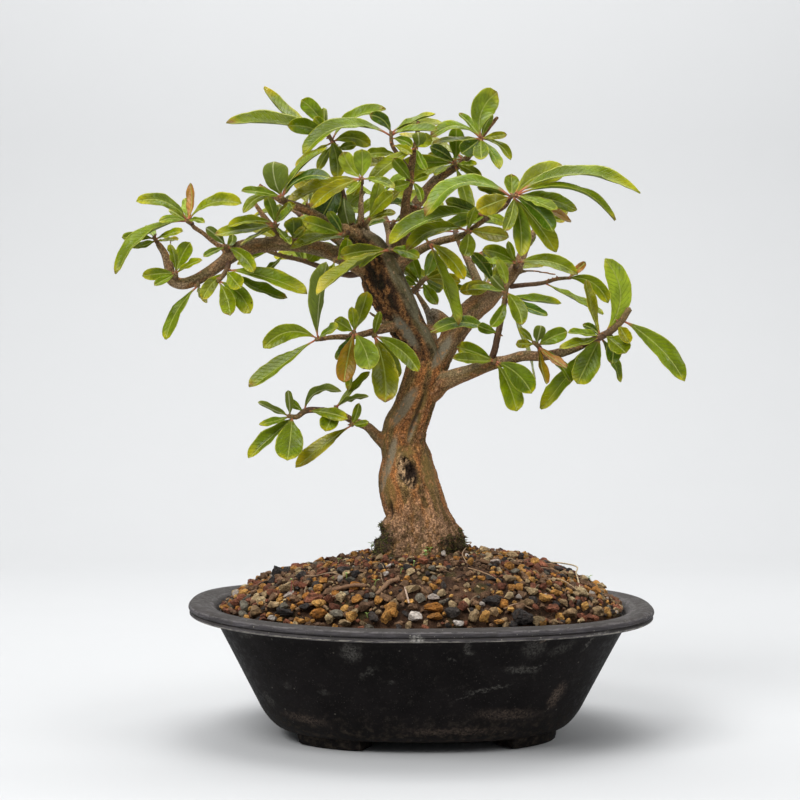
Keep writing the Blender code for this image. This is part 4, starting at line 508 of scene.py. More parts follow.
def tube(places, extra=0.0, sides=None):
    """A branch through places, each (point, thickness), with flat ends."""
    count = sides or sides_for(max(thickness for _, thickness in places))
    rings = []
    across = Vector((1, 0, 0))
    for index, (point, thickness) in enumerate(places):
        before = places[max(index - 1, 0)][0]
        after = places[min(index + 1, len(places) - 1)][0]
        along = (after - before).normalized()
        across = across - along * across.dot(along)
        if across.length < LEAST_ACROSS:
            across = along.cross(Vector((0, 1, 0)))
        across.normalize()
        back = along.cross(across)
        ring = []
        for step in range(count):
            turn = 2 * math.pi * step / count
            radius = (thickness / 2) * fluting(turn, point.z, thickness) + extra
            ring.append(point + (across * math.cos(turn) + back * math.sin(turn)) * radius)
        rings.append(ring)
    return loft(rings)


def branch_places(rows):
    """Points and thicknesses of a branch given in the front view."""
    return [(seen(across, down, depth), thickness) for across, down, depth, thickness in rows]


def walk(places, distance):
    """The point and thickness at a distance along a branch."""
    for (start, thick_start), (end, thick_end) in zip(places, places[1:]):
        span = (end - start).length
        if distance <= span:
            share = distance / span
            return start.lerp(end, share), thick_start + (thick_end - thick_start) * share
        distance -= span
    return places[-1]


def route_length(places):
    """Length of a branch along its middle."""
    return sum((end[0] - start[0]).length for start, end in zip(places, places[1:]))


def leaf_middle(root, tip, rise):
    """The middle line of a leaf as a curve: a function of the share of its length."""
    chord = tip - root
    side = Vector((-chord.z, 0, chord.x)).normalized()
    hangs = abs(chord.x) < 0.5 * abs(chord.z)
    if (side.x if hangs else side.z) < 0:
        side = -side
    crown = (root + tip) / 2 + side * 2 * rise

    def middle(share):
        return root * (1 - share) ** 2 + crown * 2 * share * (1 - share) + tip * share ** 2
    return middle


def leaf_face(root, tip, seen_width, width, shows_under, twist):
    """The way the upper side of a leaf faces at its middle."""
    along = (tip - root).normalized()
    viewer = Vector((0, -1, 0))
    toward = viewer - along * along.dot(viewer)
    if toward.length < 0.05:
        toward = Vector((0, 0, 1)) - along * along.z
    toward.normalize()
    above = along.cross(toward)
    outward = Vector((math.copysign(0.6, root.x), 0, 1))
    if above.dot(outward) < 0:
        above = -above
    turn = math.asin(min(1.0, seen_width / width)) + math.radians(twist)
    front = -1 if shows_under else 1
    return toward * math.sin(turn) * front + above * math.cos(turn)


def leaf_width(root, tip, seen_width):
    """The real width of a leaf, at least the width that is seen."""
    natural = LEAF_NATURAL_WIDTH * (tip - root).length
    return max(seen_width, min(natural, LEAF_WIDEST))


def stations_from(start, length):
    """The stations of a leaf from a share of its length on, with one at the cut."""
    whole = SHORT_STATIONS if length < SHORT_LEAF else LEAF_STATIONS
    for (near, narrow), (far, broad) in zip(whole, whole[1:]):
        if near <= start < far:
            cut = narrow + (broad - narrow) * (start - near) / (far - near)
            return [(start, cut)] + [station for station in whole if station[0] > start]
    raise ValueError("a leaf can't start that near its tip")


def leaf(root, tip, seen_width, rise, tone, twist=0.0, extra=0.0, start=0.0):
    """One leaf as points and faces: a short stalk, and a blade with its rib as a keel below."""
    width = leaf_width(root, tip, seen_width)
    middle = leaf_middle(root, tip, rise)
    face = leaf_face(root, tip, seen_width, width, tone == "under", twist)
    stations = stations_from(start, (tip - root).length)
    points = []
    for share, broad in stations:
        along = (middle(min(share + 0.04, 1.0)) - middle(max(share - 0.04, 0.0))).normalized()
        up = (face - along * along.dot(face)).normalized()
        side = along.cross(up)
        half = max(broad * width, STALK_WIDTH) / 2 + extra
        thick = STALK_WIDTH + (LEAF_THICKNESS - STALK_WIDTH) * min(1.0, broad)
        point = middle(share) + up * extra
        points += [point - side * half, point + side * half, point - up * (thick + 2 * extra)]
    points.append(middle(1.0) + (middle(1.0) - middle(0.95)).normalized() * extra)
    faces = [(0, 1, 2)]
    last = 3 * (len(stations) - 1)
    for left in range(0, last, 3):
        right, keel = left + 1, left + 2
        faces += [(left, left + 3, right + 3), (left, right + 3, right), (left, keel, keel + 3),
                  (left, keel + 3, left + 3), (right, right + 3, keel + 3), (right, keel + 3, keel)]
    faces += [(last, last + 3, last + 1), (last, last + 2, last + 3), (last + 1, last + 3, last + 2)]
    return points, faces


class Shape:
    """Points and faces of one closed piece, with what is needed to tell whether another is clear."""

    def __init__(self, points, faces):
        self.low = [min(point[axis] for point in points) for axis in range(3)]
        self.high = [max(point[axis] for point in points) for axis in range(3)]
        self.tree = BVHTree.FromPolygons(points, faces)

    def meets(self, other):
        """Whether the surfaces of two shapes cross."""
        for axis in range(3):
            if self.low[axis] > other.high[axis] or self.high[axis] < other.low[axis]:
                return False
        return bool(self.tree.overlap(other.tree))


class Tree:
    """The wood and leaves placed so far, which each new leaf keeps clear of."""

    def __init__(self):
        self.wood = [Shape(*tube(branch_places(rows))) for rows in BRANCHES.values()]
        self.taken = []
        self.front = []
        self.leaves = {}
        self.stems = {}

    def clear(self, shape, spray):
        """Whether a shape keeps clear of the wood and of the other sprays."""
        if any(shape.meets(branch) for branch in self.wood):
            return False
        return not any(owner != spray and shape.meets(other) for owner, other, _ in self.taken)

    def add_stem(self, spray, places):
        """Start a stem just outside the bark and keep it."""
        length = route_length(places)
        start = 0.0
        while start < length - 1.0:
            kept = [walk(places, start)]
            passed = 0.0
            for begin, end in zip(places, places[1:]):
                passed += (end[0] - begin[0]).length
                if passed > start + 0.5:
                    kept.append(end)
            shape = Shape(*tube(kept, GAP, 6))
            if self.clear(shape, spray):
                self.taken.append((spray, shape, shape))
                self.stems[spray] = kept
                self.leaves[spray] = []
                return
            start += 0.2
        raise RuntimeError("no free way for the stem of " + spray)

    def nearest_on_stem(self, spray, point):
        """The place on a spray's stem that lies nearest to a point, a little in from its ends."""
        places = self.stems[spray]
        length = route_length(places)
        shares = [0.3 + 0.65 * step / 40 for step in range(41)]
        spots = [walk(places, share * length) for share in shares]
        return min(spots, key=lambda spot: (spot[0] - point).length)[0]

    def try_leaf(self, spray, row, start):
        """Keep a leaf if it is clear of other sprays, and from start on of its own spray's leaves."""
        shape = Shape(*leaf(*row, LEAF_ROOM))
        if not self.clear(shape, spray):
            return False
        outer = Shape(*leaf(*row, LEAF_ROOM, start))
        if any(owner == spray and part is not other and outer.meets(other)
               for owner, part, other in self.taken):
            return False
        self.taken.append((spray, shape, Shape(*leaf(*row, LEAF_ROOM, STALK_END))))
        self.leaves[spray].append(row)
        return True

    def add_seen_leaf(self, spray, row):
        """Place a leaf of the front view, swung nearer or further until it is clear."""
        base_across, base_down, tip_across, tip_down, back, seen_width, rise, tone = row
        depth = self.stems[spray][-1][0].y
        root = self.nearest_on_stem(spray, seen(base_across, base_down, depth))
        for start, swing in itertools.product((STALK_END, BLADE_START), SWINGS):
            tip = seen(tip_across, tip_down, root.y + back + swing)
            for twist in TWISTS:
                if self.try_leaf(spray, (root, tip, seen_width, rise, tone, twist), start):
                    return

    def hidden(self, point):
        """Whether the front foliage or wood hides a point from the front."""
        eye = Vector((EYE_RIGHT, -EYE_AWAY, EYE_HEIGHT))
        ray = point - eye
        reach = ray.length
        ray.normalize()
        others = [part for _, part, _ in self.front] + self.wood
        return any(other.tree.ray_cast(eye, ray, reach - HIDDEN_BY)[0] is not None for other in others)

    def add_back_leaf(self, spray, draw):
        """Place a leaf of a back spray at random where the front foliage hides it."""
        for attempt in range(BACK_TRIES):
            root = walk(self.stems[spray], draw.uniform(0.45, 0.95) * route_length(self.stems[spray]))[0]
            turn = draw.uniform(0, 2 * math.pi)
            lift = draw.uniform(-0.5, 0.7)
            length = draw.uniform(24, 44) * (1 - 0.4 * attempt / BACK_TRIES)
            away = Vector((math.cos(turn), 0.35 + math.sin(turn), lift)).normalized()
            tip = root + away * length
            rise = draw.uniform(1, 6)
            middle = leaf_middle(root, tip, rise)
            tone = draw.choice(("green", "green", "olive", "dark", "pale", "yellow"))
            width = min(LEAF_NATURAL_WIDTH * length, LEAF_WIDEST)
            twist = draw.uniform(-35, 10)
            if tip.y > BACK_REACH or not all(self.hidden(middle(share)) for share in (0.35, 0.65, 1.0)):
                continue
            if self.try_leaf(spray, (root, tip, width * 0.8, rise, tone, twist), STALK_END):
                return


def grow():
    """Place every spray: stems first, then the leaves seen from the front, then those behind."""
    tree = Tree()
    for spray, (stem, _) in SPRAYS.items():
        tree.add_stem(spray, branch_places(stem))
    for spray, (_, rows) in SPRAYS.items():
        for row in rows:
            tree.add_seen_leaf(spray, row)
    tree.front = list(tree.taken)
    draw = random.Random(SEED)
    for spray, (branch, share, up, right, back, _) in BACK_SPRAYS.items():
        places = branch_places(BRANCHES[branch])
        start = walk(places, share * route_length(places) - 0.5)[0]
        end = start + Vector((right, back, up))
        tree.add_stem(spray, [(start, 2.8), (end, 2.2)])
    for spray, (*_, count) in BACK_SPRAYS.items():
        for _ in range(count):
            tree.add_back_leaf(spray, draw)
    return tree


def hashed(cells, seed):
    """A repeatable number from 0 to 1 for each row of three whole numbers."""
    mixed = (cells[..., 0] * 73856093) ^ (cells[..., 1] * 19349663) ^ (cells[..., 2] * 83492791)
    mixed = mixed ^ (seed * 40503 + 977)
    mixed = (mixed ^ (mixed >> 13)) & 0x7FFFFFFF
    mixed = (mixed * 1274126177) & 0x7FFFFFFF
    mixed = ((mixed ^ (mixed >> 15)) * 974711) & 0x7FFFFFFF
    return (mixed ^ (mixed >> 16)) / 0x7FFFFFFF


def noise_at(points, size, seed):
    """Smooth noise from 0 to 1 whose lumps are about size across."""
    scaled = points / np.asarray(size, float)
    cell = np.floor(scaled).astype(np.int64)
    part = scaled - cell
    part = part * part * (3 - 2 * part)
    total = np.zeros(len(points))
    for corner in itertools.product((0, 1), repeat=3):
        weight = np.prod(np.where(corner, part, 1 - part), axis=-1)
        total += weight * hashed(cell + np.array(corner), seed)
    return total


def layered(points, size, seed, layers=3):
    """Noise from 0 to 1 with finer and finer layers."""
    total = np.zeros(len(points))
    strength = 1.0
    whole = 0.0
    for layer in range(layers):
        total += strength * noise_at(points, np.asarray(size, float) / 2 ** layer, seed + 31 * layer)
        whole += strength
        strength *= 0.55
    return total / whole


def cells_at(points, size, seed):
    """Distances to the nearest and second nearest of scattered seeds, and the nearest one's number."""
    scaled = points / np.asarray(size, float)
    base = np.floor(scaled).astype(np.int64)
    nearest = np.full(len(points), 9.0)
    second = np.full(len(points), 9.0)
    label = np.zeros(len(points))
    for offset in itertools.product((-1, 0, 1), repeat=3):
        cell = base + np.array(offset)
        spot = cell + np.stack([hashed(cell, seed + axis) for axis in range(3)], axis=-1)
        distance = np.linalg.norm(spot - scaled, axis=-1)
        closer = distance < nearest
        second = np.where(closer, nearest, np.minimum(second, distance))
        label = np.where(closer, hashed(cell, seed + 3), label)
        nearest = np.where(closer, distance, nearest)
    return nearest, second, label


def ramp(values, low, high):
    """A smooth step from 0 at low to 1 at high."""
    share = np.clip((np.asarray(values, float) - low) / (high - low), 0, 1)
    return share * share * (3 - 2 * share)


def blended(first, second, share):
    """Colours mixed by a share for each point."""
    share = np.asarray(share, float)[..., None]
    return np.asarray(first, float) * (1 - share) + np.asarray(second, float) * share


def coated(colours, *layers):
    """Colours with others laid over them in turn, each (colour, share)."""
    for colour, share in layers:
        colours = blended(colours, colour, share)
    return colours


def unit(vector):
    """The direction of a vector."""
    return vector / np.linalg.norm(vector)


def any_way(draw):
    """A random vector whose parts lie between -1 and 1."""
    return np.array([draw.uniform(-1, 1) for _ in range(3)])


def out_share(x, y, half_length, half_depth):
    """How far out a place lies in a squarish oval: 0 in its middle and 1 on its edge, as a power."""
    return (np.abs(x) / half_length) ** POT_SQUARENESS + (np.abs(y) / half_depth) ** POT_SQUARENESS


def through(knots, shares):
    """Values on a smooth curve through knots, each (share, value, ...)."""
    table = np.array(knots, float)
    places = table[:, 0]
    values = table[:, 1:]
    slopes = np.gradient(values, places, axis=0)
    shares = np.clip(np.asarray(shares, float), places[0], places[-1])
    index = np.clip(np.searchsorted(places, shares, side="right") - 1, 0, len(places) - 2)
    span = (places[index + 1] - places[index])[:, None]
    part = ((shares - places[index])[:, None]) / span
    return (values[index] * (2 * part ** 3 - 3 * part ** 2 + 1)
            + slopes[index] * span * (part ** 3 - 2 * part ** 2 + part)
            + values[index + 1] * (3 * part ** 2 - 2 * part ** 3)
            + slopes[index + 1] * span * (part ** 3 - part ** 2))


def smooth_line(places, spacing, least):
    """A smooth curve through places, each (point, thickness): rows x, y, z, thickness, and their reach."""
    lengths = [0.0]
    for (before, _), (after, _) in zip(places, places[1:]):
        lengths.append(lengths[-1] + (after - before).length)
    knots = [(length, *point, thickness) for length, (point, thickness) in zip(lengths, places)]
    reach = np.linspace(0, lengths[-1], max(least, int(lengths[-1] / spacing)) + 1)
    return through(knots, reach), reach


def frames_along(line):
    """The ways along, across and back at each point of a line, turning as little as possible on the way."""
    tangents = np.gradient(line, axis=0)
    tangents /= np.linalg.norm(tangents, axis=1)[:, None]
    across = np.array((1.0, 0.0, 0.0))
    frames = []
    for along in tangents:
        across = across - along * across.dot(along)
        if np.linalg.norm(across) < LEAST_ACROSS:
            across = np.cross(along, (0.0, 1.0, 0.0))
        across = unit(across)
        frames.append((along, across, np.cross(along, across)))
    return np.array(frames)


def make_mesh(name, points, faces, colours=None, numbers=None):
    """A mesh from points in millimetres, with a colour and named numbers for each point."""
    mesh = bpy.data.meshes.new(name)
    placed = np.asarray(points, float) * MM + np.array(MIDDLE)
    mesh.from_pydata(placed.tolist(), [], [list(face) for face in faces])
    mesh.update()
    if colours is not None:
        layer = mesh.attributes.new("tint", "FLOAT_COLOR", "POINT")
        full = np.ones((len(points), 4), np.float32)
        full[:, :3] = np.clip(colours, 0, 1)
        layer.data.foreach_set("color", full.ravel())
    for key, values in (numbers or {}).items():
        layer = mesh.attributes.new(key, "FLOAT", "POINT")
        layer.data.foreach_set("value", np.asarray(values, np.float32))
    return mesh


def set_down(name, data):
    """A new object in the scene that shows some data."""
    made = bpy.data.objects.new(name, data)
    bpy.context.scene.collection.objects.link(made)
    return made


def add_piece(name, mesh, finishes, nodes=()):
    """A piece of the plant that stands on the root body and takes the place of its solids."""
    for finish in finishes:
        mesh.materials.append(finish)
    mesh.shade_smooth()
    piece = set_down(name, mesh)
    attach(piece, "root")
    if nodes:
        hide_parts(*nodes)


class Gather:
    """Points, faces and their looks, gathered from many small shapes for one mesh."""

    def __init__(self):
        self.points = []
        self.faces = []
        self.colours = []
        self.numbers = {}
        self.finish = []
        self.count = 0

    def add(self, points, faces, colour, numbers=None, finish=0):
        """Keep a shape with its colour, its numbers and the number of its material."""
        points = np.asarray(points, float)
        self.points.append(points)
        self.colours.append(np.broadcast_to(np.asarray(colour, float), (len(points), 3)))
        for key, values in (numbers or {}).items():
            self.numbers.setdefault(key, []).append(np.broadcast_to(values, (len(points),)))
        self.faces += [tuple(corner + self.count for corner in face) for face in faces]
        self.finish += [finish] * len(faces)
        self.count += len(points)

    def mesh(self, name):
        """One mesh of all that was gathered."""
        numbers = {key: np.concatenate(values) for key, values in self.numbers.items()}
        made = make_mesh(name, np.concatenate(self.points), self.faces, np.concatenate(self.colours), numbers)
        made.polygons.foreach_set("material_index", self.finish)
        return made


class Finish:
    """A material being put together from shader nodes."""

    def __init__(self, name, roughness, specular=0.5):
        self.material = bpy.data.materials.new(name)
        self.material.use_nodes = True
        self.nodes = self.material.node_tree.nodes
        self.links = self.material.node_tree.links
        self.shader = self.nodes["Principled BSDF"]
        self.shader.inputs["Roughness"].default_value = roughness
        self.shader.inputs["Specular IOR Level"].default_value = specular
        self.place = self.node("ShaderNodeTexCoord").outputs["Object"]

    def node(self, kind, **settings):
        """A new node of a kind, with its settings."""
        made = self.nodes.new(kind)
        for key, value in settings.items():
            setattr(made, key, value)
        return made

    def put(self, socket, value):
        """Link a socket to another, or set its number or colour."""
        if isinstance(value, bpy.types.NodeSocket):
            self.links.new(value, socket)
        else:
            socket.default_value = value

    def attribute(self, name, part="Fac"):
        """What the mesh says at each point under a name."""
        return self.node("ShaderNodeAttribute", attribute_name=name).outputs[part]

    def maths(self, operation, *values):
        """An operation on numbers."""
        made = self.node("ShaderNodeMath", operation=operation)
        for socket, value in zip(made.inputs, values):
            self.put(socket, value)
        return made.outputs["Value"]

    def vectors(self, operation, *values, output="Vector"):
        """An operation on vectors."""
        made = self.node("ShaderNodeVectorMath", operation=operation)
        for socket, value in zip(made.inputs, values):
            self.put(socket, value)
        return made.outputs[output]

    def times(self, first, second):
        return self.maths("MULTIPLY", first, second)

    def less(self, first, second):
        return self.maths("SUBTRACT", first, second)

    def chain(self, operation, first, *others):
        """One operation over values in turn."""
        for other in others:
            first = self.maths(operation, first, other)
        return first

    def plus(self, *values):
        return self.chain("ADD", *values)

    def parts(self, vector):
        """The three numbers of a vector."""
        made = self.node("ShaderNodeSeparateXYZ")
        self.put(made.inputs["Vector"], vector)
        return tuple(made.outputs)

    def step(self, value, low, high, to_low=0.0, to_high=1.0):
        """A smooth step of a value."""
        made = self.node("ShaderNodeMapRange", interpolation_type="SMOOTHSTEP")
        for key, number in (("Value", value), ("From Min", low), ("From Max", high),
                            ("To Min", to_low), ("To Max", to_high)):
            self.put(made.inputs[key], number)
        return made.outputs["Result"]

    def mix(self, share, first, second, kind="MIX"):
        """Two colours mixed by a share of the second."""
        made = self.node("ShaderNodeMix", data_type="RGBA", blend_type=kind)
        self.put(made.inputs["Factor"], share)
        for socket, value in ((made.inputs[6], first), (made.inputs[7], second)):
            self.put(socket, (*value, 1.0) if isinstance(value, tuple) else value)
        return made.outputs[2]

    def laid(self, coat, colour, mask, share):
        """A coat with a colour laid over it where a mask says, in that share."""
        return self.mix(self.times(mask, share), coat, colour)

    def toned(self, colour, factors):
        """A colour times a factor for each channel."""
        return self.mix(1.0, colour, factors, "MULTIPLY")

    def grained(self, grain, low, high, dark, light):
        """The point colours, dark in the hollows of a grain as painted shade and light on its tops as painted
        light, over the grain's own tone: the coat and its dark tone.
        """
        tint = self.attribute("tint", "Color")
        deep = self.toned(tint, dark)
        return self.mix(self.step(grain, low, high), deep, self.toned(tint, light)), deep

    def stretched(self, stretch):
        """Places for a noise whose lumps are that many times shorter along each axis."""
        made = self.node("ShaderNodeMapping")
        self.put(made.inputs["Vector"], self.place)
        self.put(made.inputs["Scale"], stretch)
        return made.outputs["Vector"]

    def noise(self, size, detail=3.0, roughness=0.55, place=None, output="Fac"):
        """Noise with lumps about size millimetres across."""
        made = self.node("ShaderNodeTexNoise")
        for key, value in (("Vector", place or self.place), ("Scale", 1 / (size * MM)), ("Detail", detail),
                           ("Roughness", roughness)):
            self.put(made.inputs[key], value)
        return made.outputs[output]

    def cells(self, size):
        """Scattered cells about size millimetres apart: the distance to the nearest, and its colour."""
        made = self.node("ShaderNodeTexVoronoi")
        self.put(made.inputs["Vector"], self.place)
        self.put(made.inputs["Scale"], 1 / (size * MM))
        return made.outputs["Distance"], made.outputs["Color"]

    def specks(self, size, radius, share):
        """Small round specks: cells of a size, with a dot of that radius in a share of them."""
        distance, colour = self.cells(size)
        split = self.node("ShaderNodeSeparateColor")
        self.put(split.inputs["Color"], colour)
        return self.times(self.step(distance, radius, radius * 0.5),
                          self.maths("LESS_THAN", split.outputs["Red"], share))

    def colour(self, value):
        self.put(self.shader.inputs["Base Color"], value)

    def rough(self, value):
        self.put(self.shader.inputs["Roughness"], value)

    def glow(self, weight, radius, scale):
        """Let light spread inside, by that weight, as far as the radius of each channel times the scale."""
        for key, value in (("Weight", weight), ("Radius", radius), ("Scale", scale)):
            self.put(self.shader.inputs["Subsurface " + key], value)

    def bump(self, height, depth):
        """Relief of that depth in millimetres."""
        made = self.node("ShaderNodeBump")
        self.put(made.inputs["Height"], height)
        self.put(made.inputs["Distance"], depth * MM)
        self.put(self.shader.inputs["Normal"], made.outputs["Normal"])


# The fine blade: share of its length, and its half width as a share of the whole half width
BLADE_OUTLINE = ((0.0, 0.08), (0.07, 0.09), (0.13, 0.19), (0.24, 0.47), (0.38, 0.78), (0.52, 0.95),
                 (0.64, 1.0), (0.76, 0.94), (0.86, 0.76), (0.93, 0.54), (0.975, 0.30), (1.0, 0.05))
BLADE_ACROSS = (-1.0, -0.9, -0.68, -0.4, -0.1, 0.1, 0.4, 0.68, 0.9, 1.0)

# Steps along a blade, the length below which it has fewer, and about a full turn for its ripples
BLADE_STEPS = 18
SHORT_BLADE = 12.0
SHORT_BLADE_STEPS = 9
ROUND = 6.3

# Leaf colours by tone: the blade, its margin and tip, and how far in the margin's colour reaches
LEAF_COLOURS = {
    "green": ((0.130, 0.180, 0.0024), (0.42, 0.40, 0.010), 0.15),
    "pale": ((0.235, 0.290, 0.0150), (0.46, 0.46, 0.045), 0.20),
    "olive": ((0.165, 0.196, 0.0025), (0.46, 0.33, 0.010), 0.24),
    "dark": ((0.050, 0.094, 0.0025), (0.22, 0.26, 0.010), 0.10),
    "yellow": ((0.185, 0.192, 0.0026), (0.46, 0.36, 0.010), 0.26),
    "orange": ((0.218, 0.150, 0.006), (0.30, 0.12, 0.008), 0.50),
    "dry": ((0.30, 0.135, 0.026), (0.15, 0.05, 0.015), 0.40),
    "under": ((0.108, 0.145, 0.0060), (0.24, 0.26, 0.020), 0.20)}
UNDERSIDE = (0.120, 0.152, 0.020)
PETIOLE = (0.42, 0.135, 0.085)
EDGE_LINE = (0.46, 0.46, 0.06)
BURNT_TIP = (0.17, 0.070, 0.024)

# How far apart the side veins run, and what the mesh says at each point of a leaf
VEINS_APART = 2.7
LEAF_NUMBERS = ("leaf_below", "leaf_across", "leaf_along", "leaf_blade")
NO_BLADE = dict.fromkeys(LEAF_NUMBERS, 0.0)


def leaf_colours(tone, draw, share, across, shift):
    """Colours of a blade's points: mottled, turning at the margin and the tip, reddish at the stalk."""
    blade, margin, reach = LEAF_COLOURS[tone]
    warm = draw.uniform(-1, 1)
    light = draw.uniform(0.80, 1.20)
    blade = np.array(blade) * light * np.array((1 + 0.13 * warm, 1.0, 1 - 0.25 * warm))
    old = draw.random() ** 2
    spots = np.stack([share * 5, across * 1.6, np.full_like(share, shift)], axis=-1)
    mottle = layered(spots, 1.0, 5, 3)
    coat = blended(blade * 0.74, blade * 1.28, ramp(mottle, 0.3, 0.7))
    edge = ramp(np.abs(across) + 0.45 * (mottle - 0.5), 1.0 - reach * (0.25 + 0.75 * old), 1.06)
    tip = ramp(share + 0.20 * (mottle - 0.5), 1.0 - 0.28 * (0.35 + old), 1.0)
    coat = blended(coat, margin, np.maximum(0.75 * edge, 0.9 * tip))
    if tone not in ("dry", "orange"):
        coat = blended(coat, EDGE_LINE, 0.55 * ramp(np.abs(across), 0.93, 1.0))
    if draw.random() < 0.45:
        burnt = ramp(share + 0.22 * (mottle - 0.5), 0.935, 0.985)
        coat = blended(coat, BURNT_TIP, 0.9 * burnt)
    return blended(PETIOLE, coat, ramp(share, 0.05, 0.15))


def fine_leaf(row, draw, looks):
    """One leaf, an arched, channelled, wavy blade on a round stalk: points, faces, colours, numbers."""
    root, tip, seen_width, rise, tone, twist = row
    width = leaf_width(root, tip, seen_width)
    length = (tip - root).length
    middle = leaf_middle(root, tip, rise)
    face = leaf_face(root, tip, seen_width, width, tone == "under", twist)
    channel = draw.uniform(0.20, 0.58)
    slim = float(ramp(length / width, 3.2, 5.2))
    pointed = draw.uniform(-0.30, -0.05) * (1 - slim) + draw.uniform(0.05, 0.45) * slim
    lean = draw.uniform(0.88, 1.14)
    buckle = draw.uniform(0.5, 1.0) * looks.buckle / MM
    shift = draw.uniform(0, 90)
    curl = draw.uniform(-0.10, 0.16)
    wave = draw.uniform(0.3, 1.0) * looks.wave / MM
    waves = draw.uniform(1.5, 3.2)
    phases = (draw.uniform(0, ROUND), draw.uniform(0, ROUND))
    droop = draw.uniform(0.2, 1.0) * 0.05 * length
    sway = draw.uniform(-1, 1) * 0.035 * length
    steps = BLADE_STEPS if length > SHORT_BLADE else SHORT_BLADE_STEPS
    shares = np.linspace(0, 1, steps + 1) ** 0.92
    half = through(BLADE_OUTLINE, shares ** lean)[:, 0] * width / 2
    half = half * (1 - pointed * ramp(shares, 0.70, 1.0))
    places = np.stack([shares * length / 2.6, shares * 0, shares * 0 + shift], axis=-1)
    half = half * (1 + 0.16 * (layered(places, 1.0, 6, 2) - 0.5) * ramp(shares, 0.15, 0.3))
    half = np.maximum(half, np.where(shares < 0.9, 0.42, 0.06))
    across = np.array(BLADE_ACROSS)
    rows = {"top": [], "bottom": []}
    for share, reach in zip(shares, half):
        spot = middle(share)
        along = (middle(min(share + 0.03, 1.0)) - middle(max(share - 0.03, 0.0))).normalized()
        up = (face - along * along.dot(face)).normalized()
        side = along.cross(up)
        blade = float(ramp(share, 0.06, 0.22))
        spot = (spot + side * sway * math.sin(math.pi * share)
                - up * droop * max(0.0, share - 0.6) ** 2 / 0.16)
        trough = channel * reach * (1 - np.abs(across) ** 1.15)
        edge = np.abs(across) ** 3
        ripple = np.where(across < 0, *(np.sin(waves * ROUND * share + phase) for phase in phases))
        ripple = ripple * wave * math.sin(math.pi * share)
        places = np.stack([np.full_like(across, share * length / 4.2), across * reach / 3.4 + shift,
                           np.sign(across) * 7.0], axis=-1)
        puckers = buckle * 2 * (layered(places, 1.0, 8, 2) - 0.5) * np.minimum(1.0, np.abs(across) * 2.2)
        lift = blade * (edge * (ripple - curl * reach) - trough + puckers
                        - 0.16 * np.exp(-(across * reach / 0.45) ** 2))
        round_half = 0.45 * np.sqrt(np.maximum(0.0, 1 - across ** 2))
        thick = looks.thickness / MM * (1 - 0.55 * across ** 2)
        rib = 0.42 * (1.05 - share) * np.exp(-(across * reach / 0.55) ** 2)
        top = lift * blade + (1 - blade) * (round_half - 0.2)
        bottom = (lift - thick - rib) * blade + (1 - blade) * (-round_half - 0.2)
        centre, sideways, upward = (np.array(axis) for axis in (spot, side, up))
        base = centre + np.outer(across * reach, sideways)
        rows["top"].append(base + np.outer(top, upward))
        rows["bottom"].append(base + np.outer(bottom, upward))
    wide = len(across)
    layer = (steps + 1) * wide
    points = np.concatenate([np.concatenate(rows["top"]), np.concatenate(rows["bottom"])])
    faces = []
    for step in range(steps):
        for column in range(wide - 1):
            here = step * wide + column
            beyond = here + wide
            faces.append((here, here + 1, beyond + 1, beyond))
            faces.append((layer + here, layer + beyond, layer + beyond + 1, layer + here + 1))
        for column, order in ((0, 1), (wide - 1, -1)):
            here = step * wide + column
            strip = (here, here + wide, layer + here + wide, layer + here)
            faces.append(strip[::order])
    for column in range(wide - 1):
        last = steps * wide + column
        faces.append((column, layer + column, layer + column + 1, column + 1))
        faces.append((last, last + 1, layer + last + 1, layer + last))
    share = np.tile(np.repeat(shares, wide), 2)
    sideways = np.tile(np.tile(across, steps + 1), 2)
    below = np.repeat((0.0, 1.0), layer)
    colours = leaf_colours(tone, draw, share, sideways, shift)
    if tone == "dry":
        below = below * 0.3
    numbers = (below, sideways * np.tile(np.repeat(half, wide), 2), share * length, ramp(share, 0.1, 0.25))
    return points, faces, colours, dict(zip(LEAF_NUMBERS, numbers))


def fine_tube(places, sides=8, lumps=0.08, seed=0, sink=0.0):
    """A twig through places, each (point, thickness), with a rough surface and rounded ends.

    Returns its points, its faces and how far along it each point lies.
    """
    if sink:
        start, thickness = places[0]
        places = [(start - (places[1][0] - start).normalized() * sink, thickness), *places[1:]]
    line = smooth_line(places, 1.3, 3)[0]
    frames = frames_along(line[:, :3])
    turns = np.linspace(0, 2 * math.pi, sides, endpoint=False)
    rings = [place[:3] + place[3] / 2 * (np.outer(np.cos(turns), across) + np.outer(np.sin(turns), back))
             for place, (_, across, back) in zip(line, frames)]
    middle = np.repeat(line[:, :3], sides, axis=0)
    skin = np.concatenate(rings)
    rough = 1 + lumps * 2 * (layered(skin, 1.1, seed + 3, 2) - 0.5)
    skin = middle + (skin - middle) * rough[:, None]
    ends = [line[0, :3] - frames[0, 0] * line[0, 3] * 0.2, line[-1, :3] + frames[-1, 0] * line[-1, 3] * 0.3]
    faces = band(len(line), sides)
    last = (len(line) - 1) * sides
    for side in range(sides):
        beside = (side + 1) % sides
        faces += [(beside, side, len(skin)), (last + side, last + beside, len(skin) + 1)]
    shares = np.repeat(np.linspace(0, 1, len(line)), sides)
    return np.concatenate([skin, ends]), faces, np.concatenate([shares, (0, 1)])


BUD = (0.40, 0.12, 0.085)
BUD_TIP = (0.28, 0.19, 0.06)
TWIG_OLD = (0.115, 0.062, 0.034)
TWIG_YOUNG = (0.20, 0.14, 0.05)


